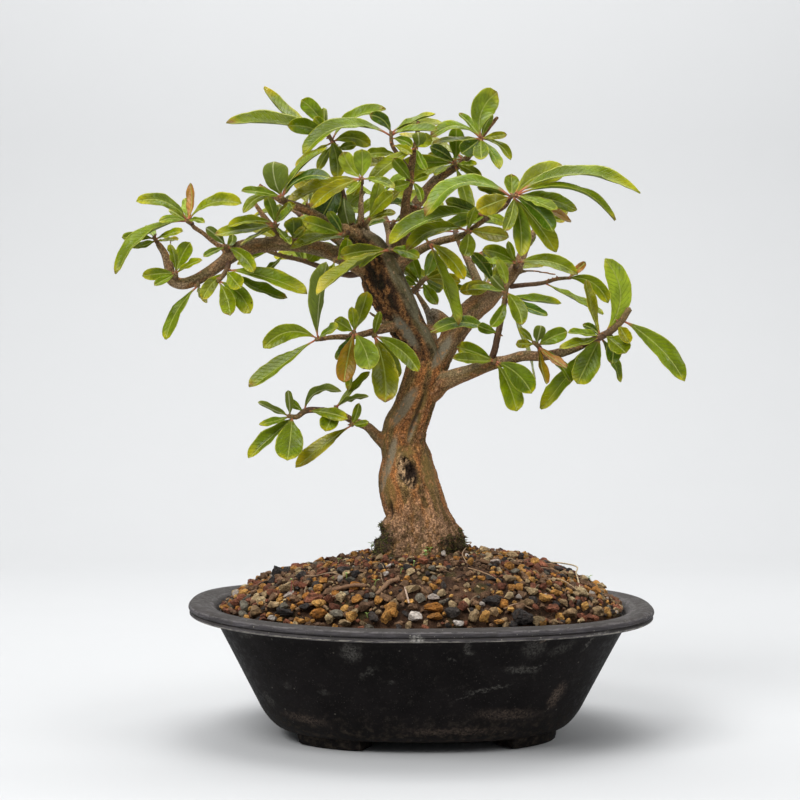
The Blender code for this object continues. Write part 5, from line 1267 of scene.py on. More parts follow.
def add_twig(gather, places, seed, sides=8, sink=1.6):
    """A stem, brown where it is old and greener towards its tip."""
    points, faces, share = fine_tube(places, sides, 0.10, seed, sink)
    patches = layered(points, (1.6, 1.6, 2.4), seed + 9, 3)
    colours = blended(TWIG_OLD, TWIG_YOUNG, ramp(share, 0.1, 1.2))
    colours = colours * (0.65 + 0.75 * patches)[:, None]
    gather.add(points, faces, colours, NO_BLADE, finish=1)


def add_buds(gather, places, draw):
    """Small pointed scales where leaves stand on a stem."""
    length = route_length(places)
    for _ in range(2 + int(length / 6)):
        spot, thickness = walk(places, draw.uniform(0.25, 1.0) * length)
        out = Vector((draw.uniform(-1, 1), draw.uniform(-1, 0.4), draw.uniform(-0.4, 1))).normalized()
        start = spot + out * thickness * 0.25
        tip = spot + out * (thickness * 0.5 + draw.uniform(0.7, 1.6))
        points, faces, share = fine_tube([(start, 1.3), (start.lerp(tip, 0.55), 1.0), (tip, 0.25)], 6, 0.05)
        colours = blended(BUD, BUD_TIP, share)
        gather.add(points, faces, colours, NO_BLADE, finish=1)


def make_leaf_finish(looks):
    """Glossy green blades with a pale rib, side veins, brown spots, pale specks and a whitish dusting that
    are partly painted sheen, and a dull grey-green underside.
    """
    leaf = Finish("leaf_blade", looks.gloss, 0.22)
    tint = leaf.attribute("tint", "Color")
    below, across, along, blade = (leaf.attribute(name) for name in LEAF_NUMBERS)
    from_rib = leaf.maths("ABSOLUTE", across)
    cloud = leaf.noise(5.0, 4.0)
    slanted = leaf.plus(leaf.less(along, leaf.times(from_rib, 1.15)), leaf.times(cloud, 2.2))
    beat = leaf.maths("FRACT", leaf.maths("DIVIDE", slanted, VEINS_APART))
    from_vein = leaf.maths("ABSOLUTE", leaf.less(beat, 0.5))
    vein = leaf.times(leaf.step(from_vein, 0.075, 0.01), blade)
    rib = leaf.times(leaf.step(from_rib, 0.44, 0.16), blade)
    upper = leaf.mix(leaf.step(cloud, 0.35, 0.7), tint, leaf.toned(tint, (1.18, 1.12, 0.9)))
    upper = leaf.laid(upper, (0.27, 0.31, 0.035), vein, looks.veins)
    upper = leaf.laid(upper, (0.40, 0.44, 0.095), rib, 0.72)
    lower = leaf.mix(0.60, tint, UNDERSIDE)
    lower = leaf.laid(lower, (0.30, 0.34, 0.13), vein, 0.20)
    lower = leaf.laid(lower, (0.44, 0.46, 0.20), rib, 0.8)
    coat = leaf.mix(leaf.times(below, blade), upper, lower)
    brown = leaf.times(leaf.specks(5.5, 0.15, 0.05), blade)
    coat = leaf.laid(coat, (0.075, 0.028, 0.010), brown, 0.85)
    # Pale specks and a whitish dusting: partly dust and water marks, partly painted sheen that stands in for
    # glints on the glossy blades
    pale = leaf.times(leaf.specks(2.4, 0.13, 0.10), blade)
    coat = leaf.laid(coat, (0.42, 0.43, 0.22), pale, 0.30)
    dust = leaf.times(leaf.step(leaf.noise(3.5, 5.0, 0.66), 0.60, 0.74), blade)
    leaf.colour(leaf.laid(coat, (0.40, 0.46, 0.34), dust, 0.22))
    sheen = leaf.step(cloud, 0.3, 0.75, looks.gloss - 0.09, looks.gloss + 0.08)
    leaf.rough(leaf.plus(sheen, leaf.times(below, 0.28)))
    leaf.glow(looks.depth, (0.9, 1.0, 0.25), 0.0016)
    leaf.bump(leaf.plus(leaf.times(vein, -0.8), leaf.times(leaf.noise(0.9, 3.0), 0.35),
                        leaf.times(leaf.noise(2.6, 2.0), 0.9), leaf.times(rib, -0.6)), 0.30)
    return leaf.material


def make_twig_finish():
    """Thin bark: ringed, speckled with small pale pores."""
    twig = Finish("twig_bark", 0.7, 0.3)
    grain = twig.noise(0.8, 4.0)
    # Painted shade in the hollows of the grain and painted light on its tops
    coat = twig.grained(grain, 0.3, 0.7, (0.55, 0.5, 0.5), (1.35, 1.3, 1.25))[0]
    twig.colour(twig.laid(coat, (0.36, 0.27, 0.17), twig.specks(1.5, 0.2, 0.3), 0.5))
    twig.bump(grain, 0.3)
    return twig.material


# How far apart the rings of a branch stand, how far its streaks are drawn out along it, and how many
# times its fused skin is smoothed
WOOD_STEP = 1.0
STRETCHED = 8.0
SMOOTHING = 5


def wood_line(rows):
    """A branch as a smooth line: its middle, its thickness, its frames and how far along each point is."""
    line, reach = smooth_line(branch_places(rows), WOOD_STEP, 4)
    return line[:, :3], line[:, 3], frames_along(line[:, :3]), reach


def rough_wood(lines):
    """All branches as closed tubes in one mesh, before they are fused."""
    points = []
    faces = []
    for middle, thickness, frames, _ in lines:
        sides = int(min(56, max(14, thickness.max() * 2.2)))
        start = len(points)
        for spot, thick, (_, across, back) in zip(middle, thickness, frames):
            for step in range(sides):
                turn = 2 * math.pi * step / sides
                radius = thick / 2 * fluting(turn, spot[2], thick)
                points.append(spot + radius * (across * math.cos(turn) + back * math.sin(turn)))
        last = len(points) - sides
        faces += band(len(middle), sides, start)
        faces.append(tuple(reversed(range(start, start + sides))))
        faces.append(tuple(range(last, last + sides)))
    return np.array(points), faces


def fused(points, faces, grain):
    """The tubes fused into one skin of small square faces."""
    mesh = bpy.data.meshes.new("rough_wood")
    mesh.from_pydata((points * MM).tolist(), [], faces)
    rough = set_down("rough_wood", mesh)
    change = rough.modifiers.new("fuse", "REMESH")
    change.mode = "VOXEL"
    change.voxel_size = grain
    graph = bpy.context.evaluated_depsgraph_get()
    result = bpy.data.meshes.new_from_object(rough.evaluated_get(graph))
    spots = np.zeros(len(result.vertices) * 3)
    result.vertices.foreach_get("co", spots)
    quads = [tuple(face.vertices) for face in result.polygons]
    edges = np.zeros(len(result.edges) * 2, np.int64)
    result.edges.foreach_get("vertices", edges)
    bpy.data.objects.remove(rough)
    bpy.data.meshes.remove(mesh)
    bpy.data.meshes.remove(result)
    return spots.reshape(-1, 3) / MM, quads, edges.reshape(-1, 2)


def relaxed(points, edges, rounds):
    """Points moved towards the mean of their neighbours."""
    count = np.bincount(edges.ravel(), minlength=len(points))[:, None]
    for _ in range(rounds):
        total = np.stack([np.bincount(edges[:, 0], points[edges[:, 1], axis], len(points))
                          + np.bincount(edges[:, 1], points[edges[:, 0], axis], len(points))
                          for axis in range(3)], axis=-1)
        points = points + 0.5 * (total / count - points)
    return points


def outward(points, quads):
    """The direction out of the surface at each point."""
    corners = np.array(quads)
    first, second, third, fourth = (points[corners[:, corner]] for corner in range(4))
    normals = np.cross(third - first, fourth - second)
    total = np.zeros_like(points)
    for corner in range(4):
        for axis in range(3):
            total[:, axis] += np.bincount(corners[:, corner], normals[:, axis], len(points))
    return total / np.maximum(np.linalg.norm(total, axis=1), 1e-9)[:, None]


def along_wood(points, lines):
    """For each point: its branch, its place in that branch's own frame, and the radius there."""
    best = np.full(len(points), 1e9)
    branch = np.zeros(len(points), np.int64)
    local = np.zeros((len(points), 3))
    radius = np.ones(len(points))
    for number, (middle, thickness, frames, reach) in enumerate(lines):
        room = thickness.max() / 2 + 5
        low = middle.min(0) - room
        high = middle.max(0) + room
        inside = np.nonzero(np.all((points > low) & (points < high), axis=1))[0]
        for part in np.array_split(inside, max(1, len(inside) // 4000)):
            if not len(part):
                continue
            away = points[part][:, None, :] - middle[None, :, :]
            gap = np.linalg.norm(away, axis=2) - thickness[None, :] / 2
            nearest = gap.argmin(1)
            depth = gap[np.arange(len(part)), nearest]
            closer = depth < best[part]
            chosen = part[closer]
            spot = nearest[closer]
            offset = points[chosen] - middle[spot]
            best[chosen] = depth[closer]
            branch[chosen] = number
            radius[chosen] = thickness[spot] / 2
            along, *sideways = (np.sum(offset * frames[spot, way], axis=1) for way in range(3))
            local[chosen] = np.stack([*sideways, reach[spot] + along], axis=-1)
    return branch, local, radius


def seen_at(points):
    """Where points show in the front view: across and down."""
    reach = (EYE_AWAY + points[:, 1]) / EYE_AWAY
    return (EYE_ACROSS + (points[:, 0] - EYE_RIGHT) / reach,
            EYE_DOWN - (points[:, 2] - EYE_HEIGHT) / reach)


def leaning(right, below, lean):
    """A place in the front view, turned into the frame of a mark that leans by degrees."""
    angle = math.radians(lean)
    return (right * math.cos(angle) + below * math.sin(angle),
            below * math.cos(angle) - right * math.sin(angle))


def patch(points, across, down, wide, high, lean=0.0, soft=0.35):
    """How far points lie in a leaning oval patch of the front view, from 0 outside to 1 in its middle."""
    here_across, here_down = seen_at(points)
    right, below = leaning(here_across - across, here_down - down, lean)
    return ramp(np.sqrt((right / wide) ** 2 + (below / high) ** 2), 1 + soft, 1 - soft)


# Bark colours
BARK_BROWN = (0.255, 0.146, 0.060)
BARK_RED = (0.390, 0.185, 0.062)
BARK_TAN = (0.540, 0.335, 0.200)
# Near black: painted shade in the bark's hollows and in the knot, and the dark of the moss and the knob
BARK_DARK = (0.022, 0.014, 0.009)
BARK_OLIVE = (0.155, 0.118, 0.042)
BARK_GREY = (0.205, 0.190, 0.150)
BARK_MOSS = (0.046, 0.036, 0.015)
RAW_WOOD = (0.52, 0.34, 0.16)
DEAD_WOOD = (0.54, 0.42, 0.27)

# Streaks and strips on the front of the trunk, as seen: across, down, half width, half height, lean
GREY_STRIPS = ((202, 203.5, 2.9, 11, 33), (195.6, 228, 2.0, 10, 13), (206.5, 214, 1.3, 7, 20),
               (191.5, 239, 1.3, 7, 10), (221, 176, 2.4, 9, 30), (203, 166, 2.6, 10, -35))
OLIVE_STRIPS = ((208.5, 208, 2.2, 13, 22), (214.5, 236, 4.2, 9, -12), (194, 244.5, 3.2, 8, -16),
                (202.5, 225.5, 5.5, 2.6, 0), (191, 222, 2.0, 9, 8), (197, 208, 2.2, 8, 30))
RED_STRIPS = ((203.8, 212.5, 2.7, 13, 24), (212, 213, 2.8, 14, 14), (201, 222, 3.0, 5, 0),
              (217.5, 193, 5.0, 4.5, 0), (190.5, 234, 1.6, 6, 5), (209.5, 222.5, 3.2, 8, 10),
              (210.5, 245, 3.0, 4.5, 10))
TAN_RIBS = ((203, 259, 1.9, 9, 8), (209, 256, 1.7, 12, 2), (215.5, 257, 1.7, 11, -12),
            (196.5, 262.5, 3.0, 4.5, 0), (200, 270, 2.4, 6, 12), (207, 270, 1.6, 7, 0),
            (221, 264, 1.7, 8, -22))

# The knot's hollow as seen: across, down, half width, half height, lean
KNOT = (203.8, 236.4, 4.3, 9.0, -20)


def strips(points, rows):
    """How far points lie in any of the streaks of a list."""
    return np.maximum.reduce([patch(points, *row, 0.30) for row in rows])


def shape_bark(points, quads, lines):
    """Relief and colours of the bark, zone by zone.

    Returns the moved points, the colours, how mossy each point is and how calm its bark.
    """
    names = list(BRANCHES)
    branch, local, radius = along_wood(points, lines)
    out = outward(points, quads)
    height = points[:, 2]
    own = local + (branch * 91.0)[:, None]
    long = own / np.array((1, 1, STRETCHED))
    side = local[:, 0] / np.maximum(radius, 0.1)
    thick = ramp(radius, 2.2, 8.0)
    base = ramp(height, 124, 98)
    upper = ramp(height, 176, 196)
    left = (branch == names.index("left_leader")) | (branch == names.index("twin_limb"))
    right = branch == names.index("right_leader")
    streaks = layered(long, 1.9, 11, 3)
    ribs = 1 - np.abs(2 * layered(long, 4.6, 12, 2) - 1)
    warts = layered(own, (1.9, 1.9, 2.6), 13, 3)
    broad = layered(own, (9, 9, 16), 14, 2)
    nearest, second, label = cells_at(own + 2.6 * warts[:, None], (1.9, 1.9, 5.4), 15)
    crack = ramp(second - nearest, 0.22, 0.02)
    fine_near, fine_second, fine_label = cells_at(own, (1.2, 1.2, 2.0), 16)
    scale_edge = ramp(fine_second - fine_near, 0.22, 0.03)
    front = ramp(-out[:, 1], 0.0, 0.4)
    grey = strips(points, GREY_STRIPS) * front
    olive = strips(points, OLIVE_STRIPS) * front
    red = strips(points, RED_STRIPS) * front * (1 - grey)
    tan = strips(points, TAN_RIBS) * front
    smooth = np.maximum.reduce([left * ramp(side, 0.22, 0.50) * ramp(broad, 0.26, 0.40), grey,
                                0.75 * olive, 0.9 * (1 - thick)]) * (1 - 0.8 * red)
    flaky = np.maximum(left * ramp(side, 0.55, 0.0), 0.55 * right * ramp(broad, 0.35, 0.6)) * thick
    flaky = np.maximum(flaky, thick * ramp(broad, 0.52, 0.62) * 0.7 * upper)
    flaky = np.maximum(flaky, 0.75 * red) * (1 - 0.8 * grey)
    rough = (1 - smooth) * thick
    relief = base * (1.7 * (ribs - 0.72) + 1.3 * (warts - 0.5) - 0.45 * crack)
    relief += (1 - base) * rough * (0.85 * (ribs - 0.72) + 0.6 * (warts - 0.5) - 0.2 * scale_edge)
    relief += flaky * (0.55 * (label - 0.5) - 0.6 * crack + 0.9 * (warts - 0.5) - 0.3 * scale_edge)
    relief += (1 - thick) * 0.07 * radius * (streaks - 0.5) * 2
    relief += 0.16 * smooth * (streaks - 0.5)
    relief += 0.9 * tan - 0.55 * grey - 0.35 * olive + 0.35 * red
    groove = patch(points, 208.6, 207, 1.0, 12, 20)
    relief -= 1.2 * groove
    left_cleft = patch(points, 195.6, 255.5, 0.9, 4.6, -8)
    relief -= 1.6 * left_cleft * ramp(out[:, 0], 0.35, -0.2)
    swelling = patch(points, 191.5, 267, 6.5, 7.5) + 0.8 * patch(points, 195, 262, 5, 3)
    relief += (2.0 * swelling * ramp(out[:, 0], 0.1, -0.6)
               + 1.3 * patch(points, 229, 271, 5, 7) * ramp(out[:, 0], 0.0, 0.6))
    bands = layered(long, 3.4, 17, 3)
    plates = ramp(0.55 * label + 0.45 * warts, 0.40, 0.62)
    brown = coated(BARK_OLIVE, (BARK_RED, ramp(bands, 0.40, 0.60)), (BARK_BROWN, base * 0.6),
                   (BARK_TAN, 0.85 * plates * (0.12 + 0.88 * base)))
    colours = coated(
        BARK_BROWN, (BARK_OLIVE, ramp(layered(own, (4, 4, 12), 18, 2), 0.35, 0.6)),
        (BARK_RED, 0.7 * ramp(layered(own, (1.6, 1.6, 3.2), 19, 2), 0.56, 0.7)),
        ((0.31, 0.245, 0.175), 0.35 * ramp(streaks, 0.3, 0.7)), (brown, thick),
        (BARK_RED, 0.85 * flaky * ramp(label, 0.2, 0.8)),
        (BARK_TAN, 0.45 * red * ramp(fine_label, 0.55, 0.9)),
        (BARK_TAN, 0.75 * tan * ramp(warts, 0.36, 0.56)))
    leaders = upper * left * (1 - smooth)
    colours = colours * (1 - 0.82 * leaders * ramp(label, 0.85, 0.40))[:, None]
    strip = blended((0.125, 0.102, 0.042), (0.165, 0.148, 0.088), ramp(streaks, 0.40, 0.66))
    flakes = ramp(fine_label, 0.84, 0.87) * np.maximum(grey, olive)
    pores = ramp(fine_label, 0.86, 0.9) * ramp(fine_near, 0.42, 0.2)
    colours = coated(
        colours, ((0.36, 0.245, 0.145), 0.5 * right * upper * ramp(label, 0.25, 0.6)),
        (strip, smooth * thick * (1 - olive)), ((0.175, 0.128, 0.040), 0.8 * olive * thick),
        ((0.230, 0.208, 0.150), 0.85 * grey), ((0.40, 0.215, 0.085), 0.7 * flakes),
        (BARK_TAN, 0.8 * pores * np.maximum(smooth, 1 - thick)))
    # Painted shade: the bark is darkened nearly to black in the cracks, between the ribs, in the groove and
    # in the cleft, where shade falls
    hollow = np.maximum.reduce([crack * np.maximum(flaky, 0.7 * base), 0.6 * scale_edge * rough,
                                ramp(ribs, 0.55, 0.25) * (0.35 + 0.5 * base) * thick, 0.85 * groove,
                                left_cleft])
    colours = blended(colours, BARK_DARK, 0.88 * hollow)
    moss = base * ramp(height, 108, 98) * ramp(layered(own, (7, 7, 9), 20, 3), 0.40, 0.56)
    lumpy = ramp(warts, 0.3, 0.5)
    moss = np.maximum.reduce([moss * ramp(np.abs(side), 0.45, 0.85), patch(points, 229, 274, 10, 7) * lumpy,
                              patch(points, 192, 272, 6, 11) * lumpy])
    colours = blended(colours, blended(BARK_MOSS, BARK_DARK, ramp(warts, 0.42, 0.58)), 0.90 * moss)
    relief += 2.6 * moss * (warts - 0.40)
    points, colours, relief = carve(points, out, colours, relief, warts, streaks)
    colours *= (0.86 + 0.46 * streaks)[:, None]
    calm = np.maximum(np.maximum(grey, 0.7 * olive), 0.8 * smooth * thick)
    middle = (1 - base) * (1 - upper) * thick
    colours = colours * (1 + middle[:, None] * np.array((0.26, 0.14, 0.04)))
    return points + out * relief[:, None], colours, moss, calm


def carve(points, out, colours, relief, warts, streaks):
    """The knot's hollow, painted dark as shade, with its dead wood, the sawn ends, and the pale scar on the
    big left branch.
    """
    across, down = seen_at(points)
    faces_front = ramp(-out[:, 1], -0.2, 0.25)
    knot_across, knot_down, wide, high, lean = KNOT
    right, below = leaning(across - knot_across, down - knot_down, lean)
    lens = np.abs(right) / wide + (below / high) ** 2
    lip = right / np.maximum(wide * (1 - (below / high) ** 2), 0.6)
    knot = ramp(lens, 1.08, 0.98) * faces_front
    inside = ramp(lens, 1.02, 0.86) * faces_front
    shreds = layered(points, (1.1, 3.0, 3.2), 23, 3)
    swollen = patch(points, 204.0, 236.2, 6.8, 11.8, -16)
    relief = relief * (1 - knot) + 1.3 * swollen * (1 - knot) * faces_front
    relief -= inside * (2.6 - 2.4 * ramp(shreds, 0.42, 0.62) - 1.6 * ramp(right, 0.5, -3.5))
    dead = np.maximum.reduce([0.8 * ramp(below, -3.5, -5.5), ramp(below, 2.5, 4.5), ramp(right, 0.1, -1.4)])
    dead = ramp(shreds, 0.38, 0.48) * dead * ramp(lip, 0.86, 0.66)
    # Painted shade: the knot's hollow is painted near black
    colours = blended(colours, BARK_DARK, knot)
    colours = blended(colours, DEAD_WOOD, 0.9 * dead * inside)
    lips = ramp(lens, 1.75, 1.25) * (1 - knot) * faces_front * ramp(right, 1.5, -1.5)
    colours = blended(colours, (0.40, 0.28, 0.15), 0.6 * lips * ramp(shreds, 0.40, 0.56))
    top = ramp(down, 119.0, 114.5) * ramp(np.abs(across - 180), 9.5, 7.0) * ramp(points[:, 1], 9, 5)
    raw = ramp(across + 4 * (streaks - 0.5), 183, 178)
    cut = top * ramp(out[:, 2], 0.30, 0.5)
    split = top * ramp(layered(points, (1.5, 4.0, 6.0), 24, 3), 0.38, 0.50)
    colours = blended(colours, blended(DEAD_WOOD, RAW_WOOD, raw), np.maximum(cut, split))
    relief += cut * 2.4 * (shreds - 0.55)
    knob = patch(points, 215.5, 157, 4.0, 4.5)
    colours = blended(colours, blended(BARK_GREY, BARK_DARK, ramp(warts, 0.5, 0.7)), 0.75 * knob)
    scar = patch(points, 89, 143.2, 4.6, 1.7, -8) * faces_front
    colours = blended(colours, (0.36, 0.27, 0.17), 0.85 * scar)
    return points, colours, relief


def make_bark_finish():
    """Bark: the point colours broken up by fine noise, with painted shade in the hollows of the grain and in
    the sunken pits between cells, and fine relief.
    """
    bark = Finish("bark", 0.82, 0.25)
    grain = bark.noise(0.75, 5.0, 0.68)
    pits = bark.cells(1.05)[0]
    # Painted shade in the hollows of the grain and painted light on its tops
    coat, dark = bark.grained(grain, 0.36, 0.64, (0.40, 0.35, 0.32), (1.50, 1.40, 1.28))
    # Painted shade: the pits between cells, which the bump sinks, are darkened
    coat = bark.laid(coat, dark, bark.step(pits, 0.52, 0.72), 0.50)
    coat = bark.laid(coat, bark.attribute("tint", "Color"), bark.attribute("bark_calm"), 0.72)
    coat = bark.laid(coat, (0.24, 0.19, 0.12), bark.step(bark.noise(4.5, 4.0, 0.6), 0.58, 0.74), 0.22)
    bark.colour(coat)
    bark.rough(bark.step(grain, 0.3, 0.7, 0.92, 0.70))
    bark.bump(bark.less(grain, bark.times(pits, 0.7)), 0.55)
    return bark.material


# Half a section of the bowl, from the outer edge of its floor up over the rim and down inside:
# height, half length, half depth
BOWL = (
    (5.0, 66.0, 49.0), (5.2, 69.4, 52.4), (6.3, 72.4, 55.3), (8.5, 75.1, 57.9), (11.5, 77.6, 60.2),
    (15.0, 79.9, 62.4), (18.0, 81.5, 63.5), (52.0, 99.8, 75.9), (54.5, 101.2, 77.0), (56.3, 102.8, 78.6),
    (57.4, 105.0, 80.8), (57.9, 108.2, 84.0), (57.9, 111.8, 87.4), (58.2, 113.9, 89.4), (58.9, 114.9, 90.4),
    (59.7, 114.8, 90.3), (60.2, 114.2, 89.7), (60.8, 114.9, 90.4), (61.5, 115.4, 90.9), (62.4, 115.3, 90.8),
    (63.4, 114.6, 90.1), (64.1, 113.2, 88.7),
    (64.3, 111.6, 87.1), (64.0, 109.2, 84.7), (63.5, 106.6, 82.1), (62.9, 104.2, 79.7), (61.8, 102.4, 77.9),
    (60.0, 101.0, 76.5), (57.0, 99.4, 75.4), (18.0, 78.6, 60.6), (15.0, 77.0, 59.4), (12.2, 75.2, 57.6),
    (9.8, 72.2, 54.6), (8.5, 68.6, 51.2), (8.2, 64.0, 47.0))
BOWL_SIDES = 180

# How far apart rings stand on a stretch of the section up to a length
BOWL_STEPS = ((2.5, 0.45), (6.0, 0.9), (math.inf, 2.6))

# A foot's section, from its outer side round below to its inner side: half length, half depth, height
FOOT = ((70.0, 53.0, 7.5), (69.4, 52.4, 3.0), (68.9, 51.9, 1.0), (68.2, 51.2, 0.25), (67.2, 50.2, 0.0),
        (58.2, 41.2, 0.0), (57.2, 40.2, 0.3), (56.4, 39.4, 1.2), (56.0, 39.0, 7.5))

# Dust and scuffs on the bowl's front, as seen: across, down, half width, half height, lean, strength, warm
SMUDGES = (
    (175, 327.5, 5.5, 4.5, 15, 0.75, 0), (184, 338, 5.5, 2.0, -35, 0.35, 0),
    (161, 350, 3.0, 1.5, 0, 0.30, 0), (196, 343, 2.4, 1.0, 10, 0.35, 0),
    (141.5, 348.5, 2.6, 2.6, 0, 0.25, 0), (234, 324, 2.0, 5.0, 5, 0.50, 0),
    (235, 327.5, 3.2, 1.4, 0, 0.65, 0), (274, 321, 3.4, 1.6, -35, 0.95, 1),
    (268, 326, 6.5, 5.0, -20, 0.45, 0), (283, 327, 8.0, 2.6, -22, 0.35, 0),
    (262, 337.5, 9.0, 2.2, 4, 0.55, 0), (268, 336.5, 6.5, 0.7, -12, 0.70, 0),
    (245, 347.5, 11.0, 0.9, -9, 0.60, 0), (236, 350, 8.0, 0.6, -22, 0.45, 0),
    (281, 354, 3.4, 8.5, 34, 0.55, 1), (297.5, 326, 0.9, 6.5, 42, 0.70, 0),
    (226, 331, 2.4, 0.9, 20, 0.40, 0), (208.5, 318, 3.4, 2.6, 10, 1.0, 0),
    (150, 366, 14, 3.0, 6, 0.30, 1), (228, 370.5, 26, 2.4, 0, 0.35, 1),
    (131, 358, 2.4, 5.5, -40, 0.45, 0), (120.5, 321.5, 5.0, 3.2, -25, 0.35, 0),
    (255, 362, 18, 3.4, 3, 0.30, 1), (300, 318.5, 7.0, 0.7, -9, 0.5, 0))

# How far from the axis the bowl's front lies where the smudges are seen, and how far noise frays them
BOWL_FRONT = -78.0
FRAY = 5.0

# Lines along the rim: height, half width, strength, tone, and whether scratches break them up. The pale lines
# are wear; the dark line lies in the rim's groove and is painted shade.
RIM_LINES = ((58.6, 0.55, 0.85, (0.36, 0.335, 0.29), True), (60.3, 0.45, 0.80, (0.018, 0.016, 0.016), False),
             (62.9, 0.55, 0.50, (0.27, 0.25, 0.25), True))
RIM_UNDERSIDE = (57.3, 58.2)


def bowl_rings(warp):
    """Rings of the bowl from its floor's outer edge to its floor inside, on a smooth section.

    Its rim stands a little higher at the two ends, and warp higher still at the left than at the right.
    """
    knots = []
    reach = 0.0
    before = BOWL[0]
    for row in BOWL:
        reach += math.dist(row[:2], before[:2])
        knots.append((reach, *row))
        before = row
    shares = []
    for near, far in zip(knots, knots[1:]):
        span = far[0] - near[0]
        apart = next(apart for limit, apart in BOWL_STEPS if span < limit)
        steps = math.ceil(span / apart)
        shares += [near[0] + span * step / steps for step in range(steps)]
    shares.append(knots[-1][0])
    rings = []
    for height, half_length, half_depth in through(knots, shares):
        ring = []
        for x, y in oval(half_length, half_depth, BOWL_SIDES):
            share = max(0.0, height - STRAIGHT_BELOW) / (RIM_TOP - STRAIGHT_BELOW)
            lift = RIM_LIFT * (x / HALF_LENGTH) ** 2 - warp * (x / HALF_LENGTH) * abs(x / HALF_LENGTH)
            sway = 0.2 * math.sin(x / 21)
            ring.append((x, y, height + share * (lift + sway)))
        rings.append(ring)
    return rings


def closed_rings(rings):
    """Points and faces of rings of equal count, closed with a fan at each end."""
    count = len(rings[0])
    points = [point for ring in rings for point in ring]
    faces = band(len(rings), count)
    for ring, order in ((0, -1), (len(rings) - 1, 1)):
        points.append(tuple(np.mean(np.array(rings[ring]), axis=0)))
        for step in range(count):
            edge = (ring * count + step, ring * count + (step + 1) % count)
            faces.append((*edge[::order], len(points) - 1))
    return points, faces


def foot_block(side, front):
    """One foot with worn edges: a curved block under the edge of the floor."""
    first, last = FOOT_TURNS[side * front < 0]
    sections = []
    for step in range(FOOT_STEPS + 1):
        across, back = squarish(math.radians(first + (last - first) * step / FOOT_STEPS))
        across, back = across * side, back * front
        worn = {0: 0.5, 1: 0.12}.get(min(step, FOOT_STEPS - step), 0.0)
        sections.append([(length * across, depth * back, max(height, worn))
                         for length, depth, height in FOOT])
    if side * front < 0:
        sections.reverse()
    return closed_rings(sections)


def boolean(target, tools, operation):
    """Join tools to a target or cut them from it, and remove them."""
    for tool in tools:
        change = target.modifiers.new("combine", "BOOLEAN")
        change.operation = operation
        change.object = tool
        change.solver = "EXACT"
        graph = bpy.context.evaluated_depsgraph_get()
        result = bpy.data.meshes.new_from_object(target.evaluated_get(graph))
        target.modifiers.clear()
        target.data = result
        bpy.data.objects.remove(tool)


def loose(name, points, faces):
    """A plain object to build with."""
    return set_down(name, make_mesh(name, points, faces))


def dimmed(colour, factor):
    """A colour times a number."""
    return tuple(factor * part for part in colour)


def smudge_masks(plastic):
    """Where the front of the bowl is smudged with grey dust, and where with warmer dust."""
    frayed = plastic.vectors("SCALE", plastic.noise(2.4, 4.0, 0.5, output="Color"))
    plastic.put(frayed.node.inputs["Scale"], FRAY * MM)
    place = plastic.vectors("ADD", plastic.place, frayed)
    marks = ([], [])
    for across, down, wide, high, lean, strength, warm in SMUDGES:
        spot = seen(across, down, BOWL_FRONT)
        mapping = plastic.node("ShaderNodeMapping", vector_type="TEXTURE")
        for key, value in (("Vector", place), ("Rotation", (0.0, math.radians(lean), 0.0)),
                           ("Location", (MIDDLE.x + (spot.x + FRAY / 2) * MM, MIDDLE.y - 70 * MM,
                                         MIDDLE.z + (spot.z + FRAY / 2) * MM)),
                           ("Scale", (wide * MM, 60 * MM, high * MM))):
            plastic.put(mapping.inputs[key], value)
        away = plastic.vectors("LENGTH", mapping.outputs["Vector"], output="Value")
        marks[warm].append(plastic.times(plastic.step(away, 1.25, 0.35), strength))
    broken = plastic.step(plastic.noise(1.1, 5.0, 0.7), 0.34, 0.66)
    return [plastic.times(plastic.chain("MAXIMUM", *kind), broken) for kind in marks]


def rim_level(plastic, right, height, warp):
    """How high a point would lie if the rim were level all round."""
    right = plastic.maths("DIVIDE", plastic.less(right, MIDDLE.x), HALF_LENGTH * MM)
    bowed = plastic.times(plastic.times(right, right), RIM_LIFT * MM)
    skewed = plastic.times(plastic.times(right, plastic.maths("ABSOLUTE", right)), warp)
    return plastic.less(height, plastic.less(bowed, skewed))


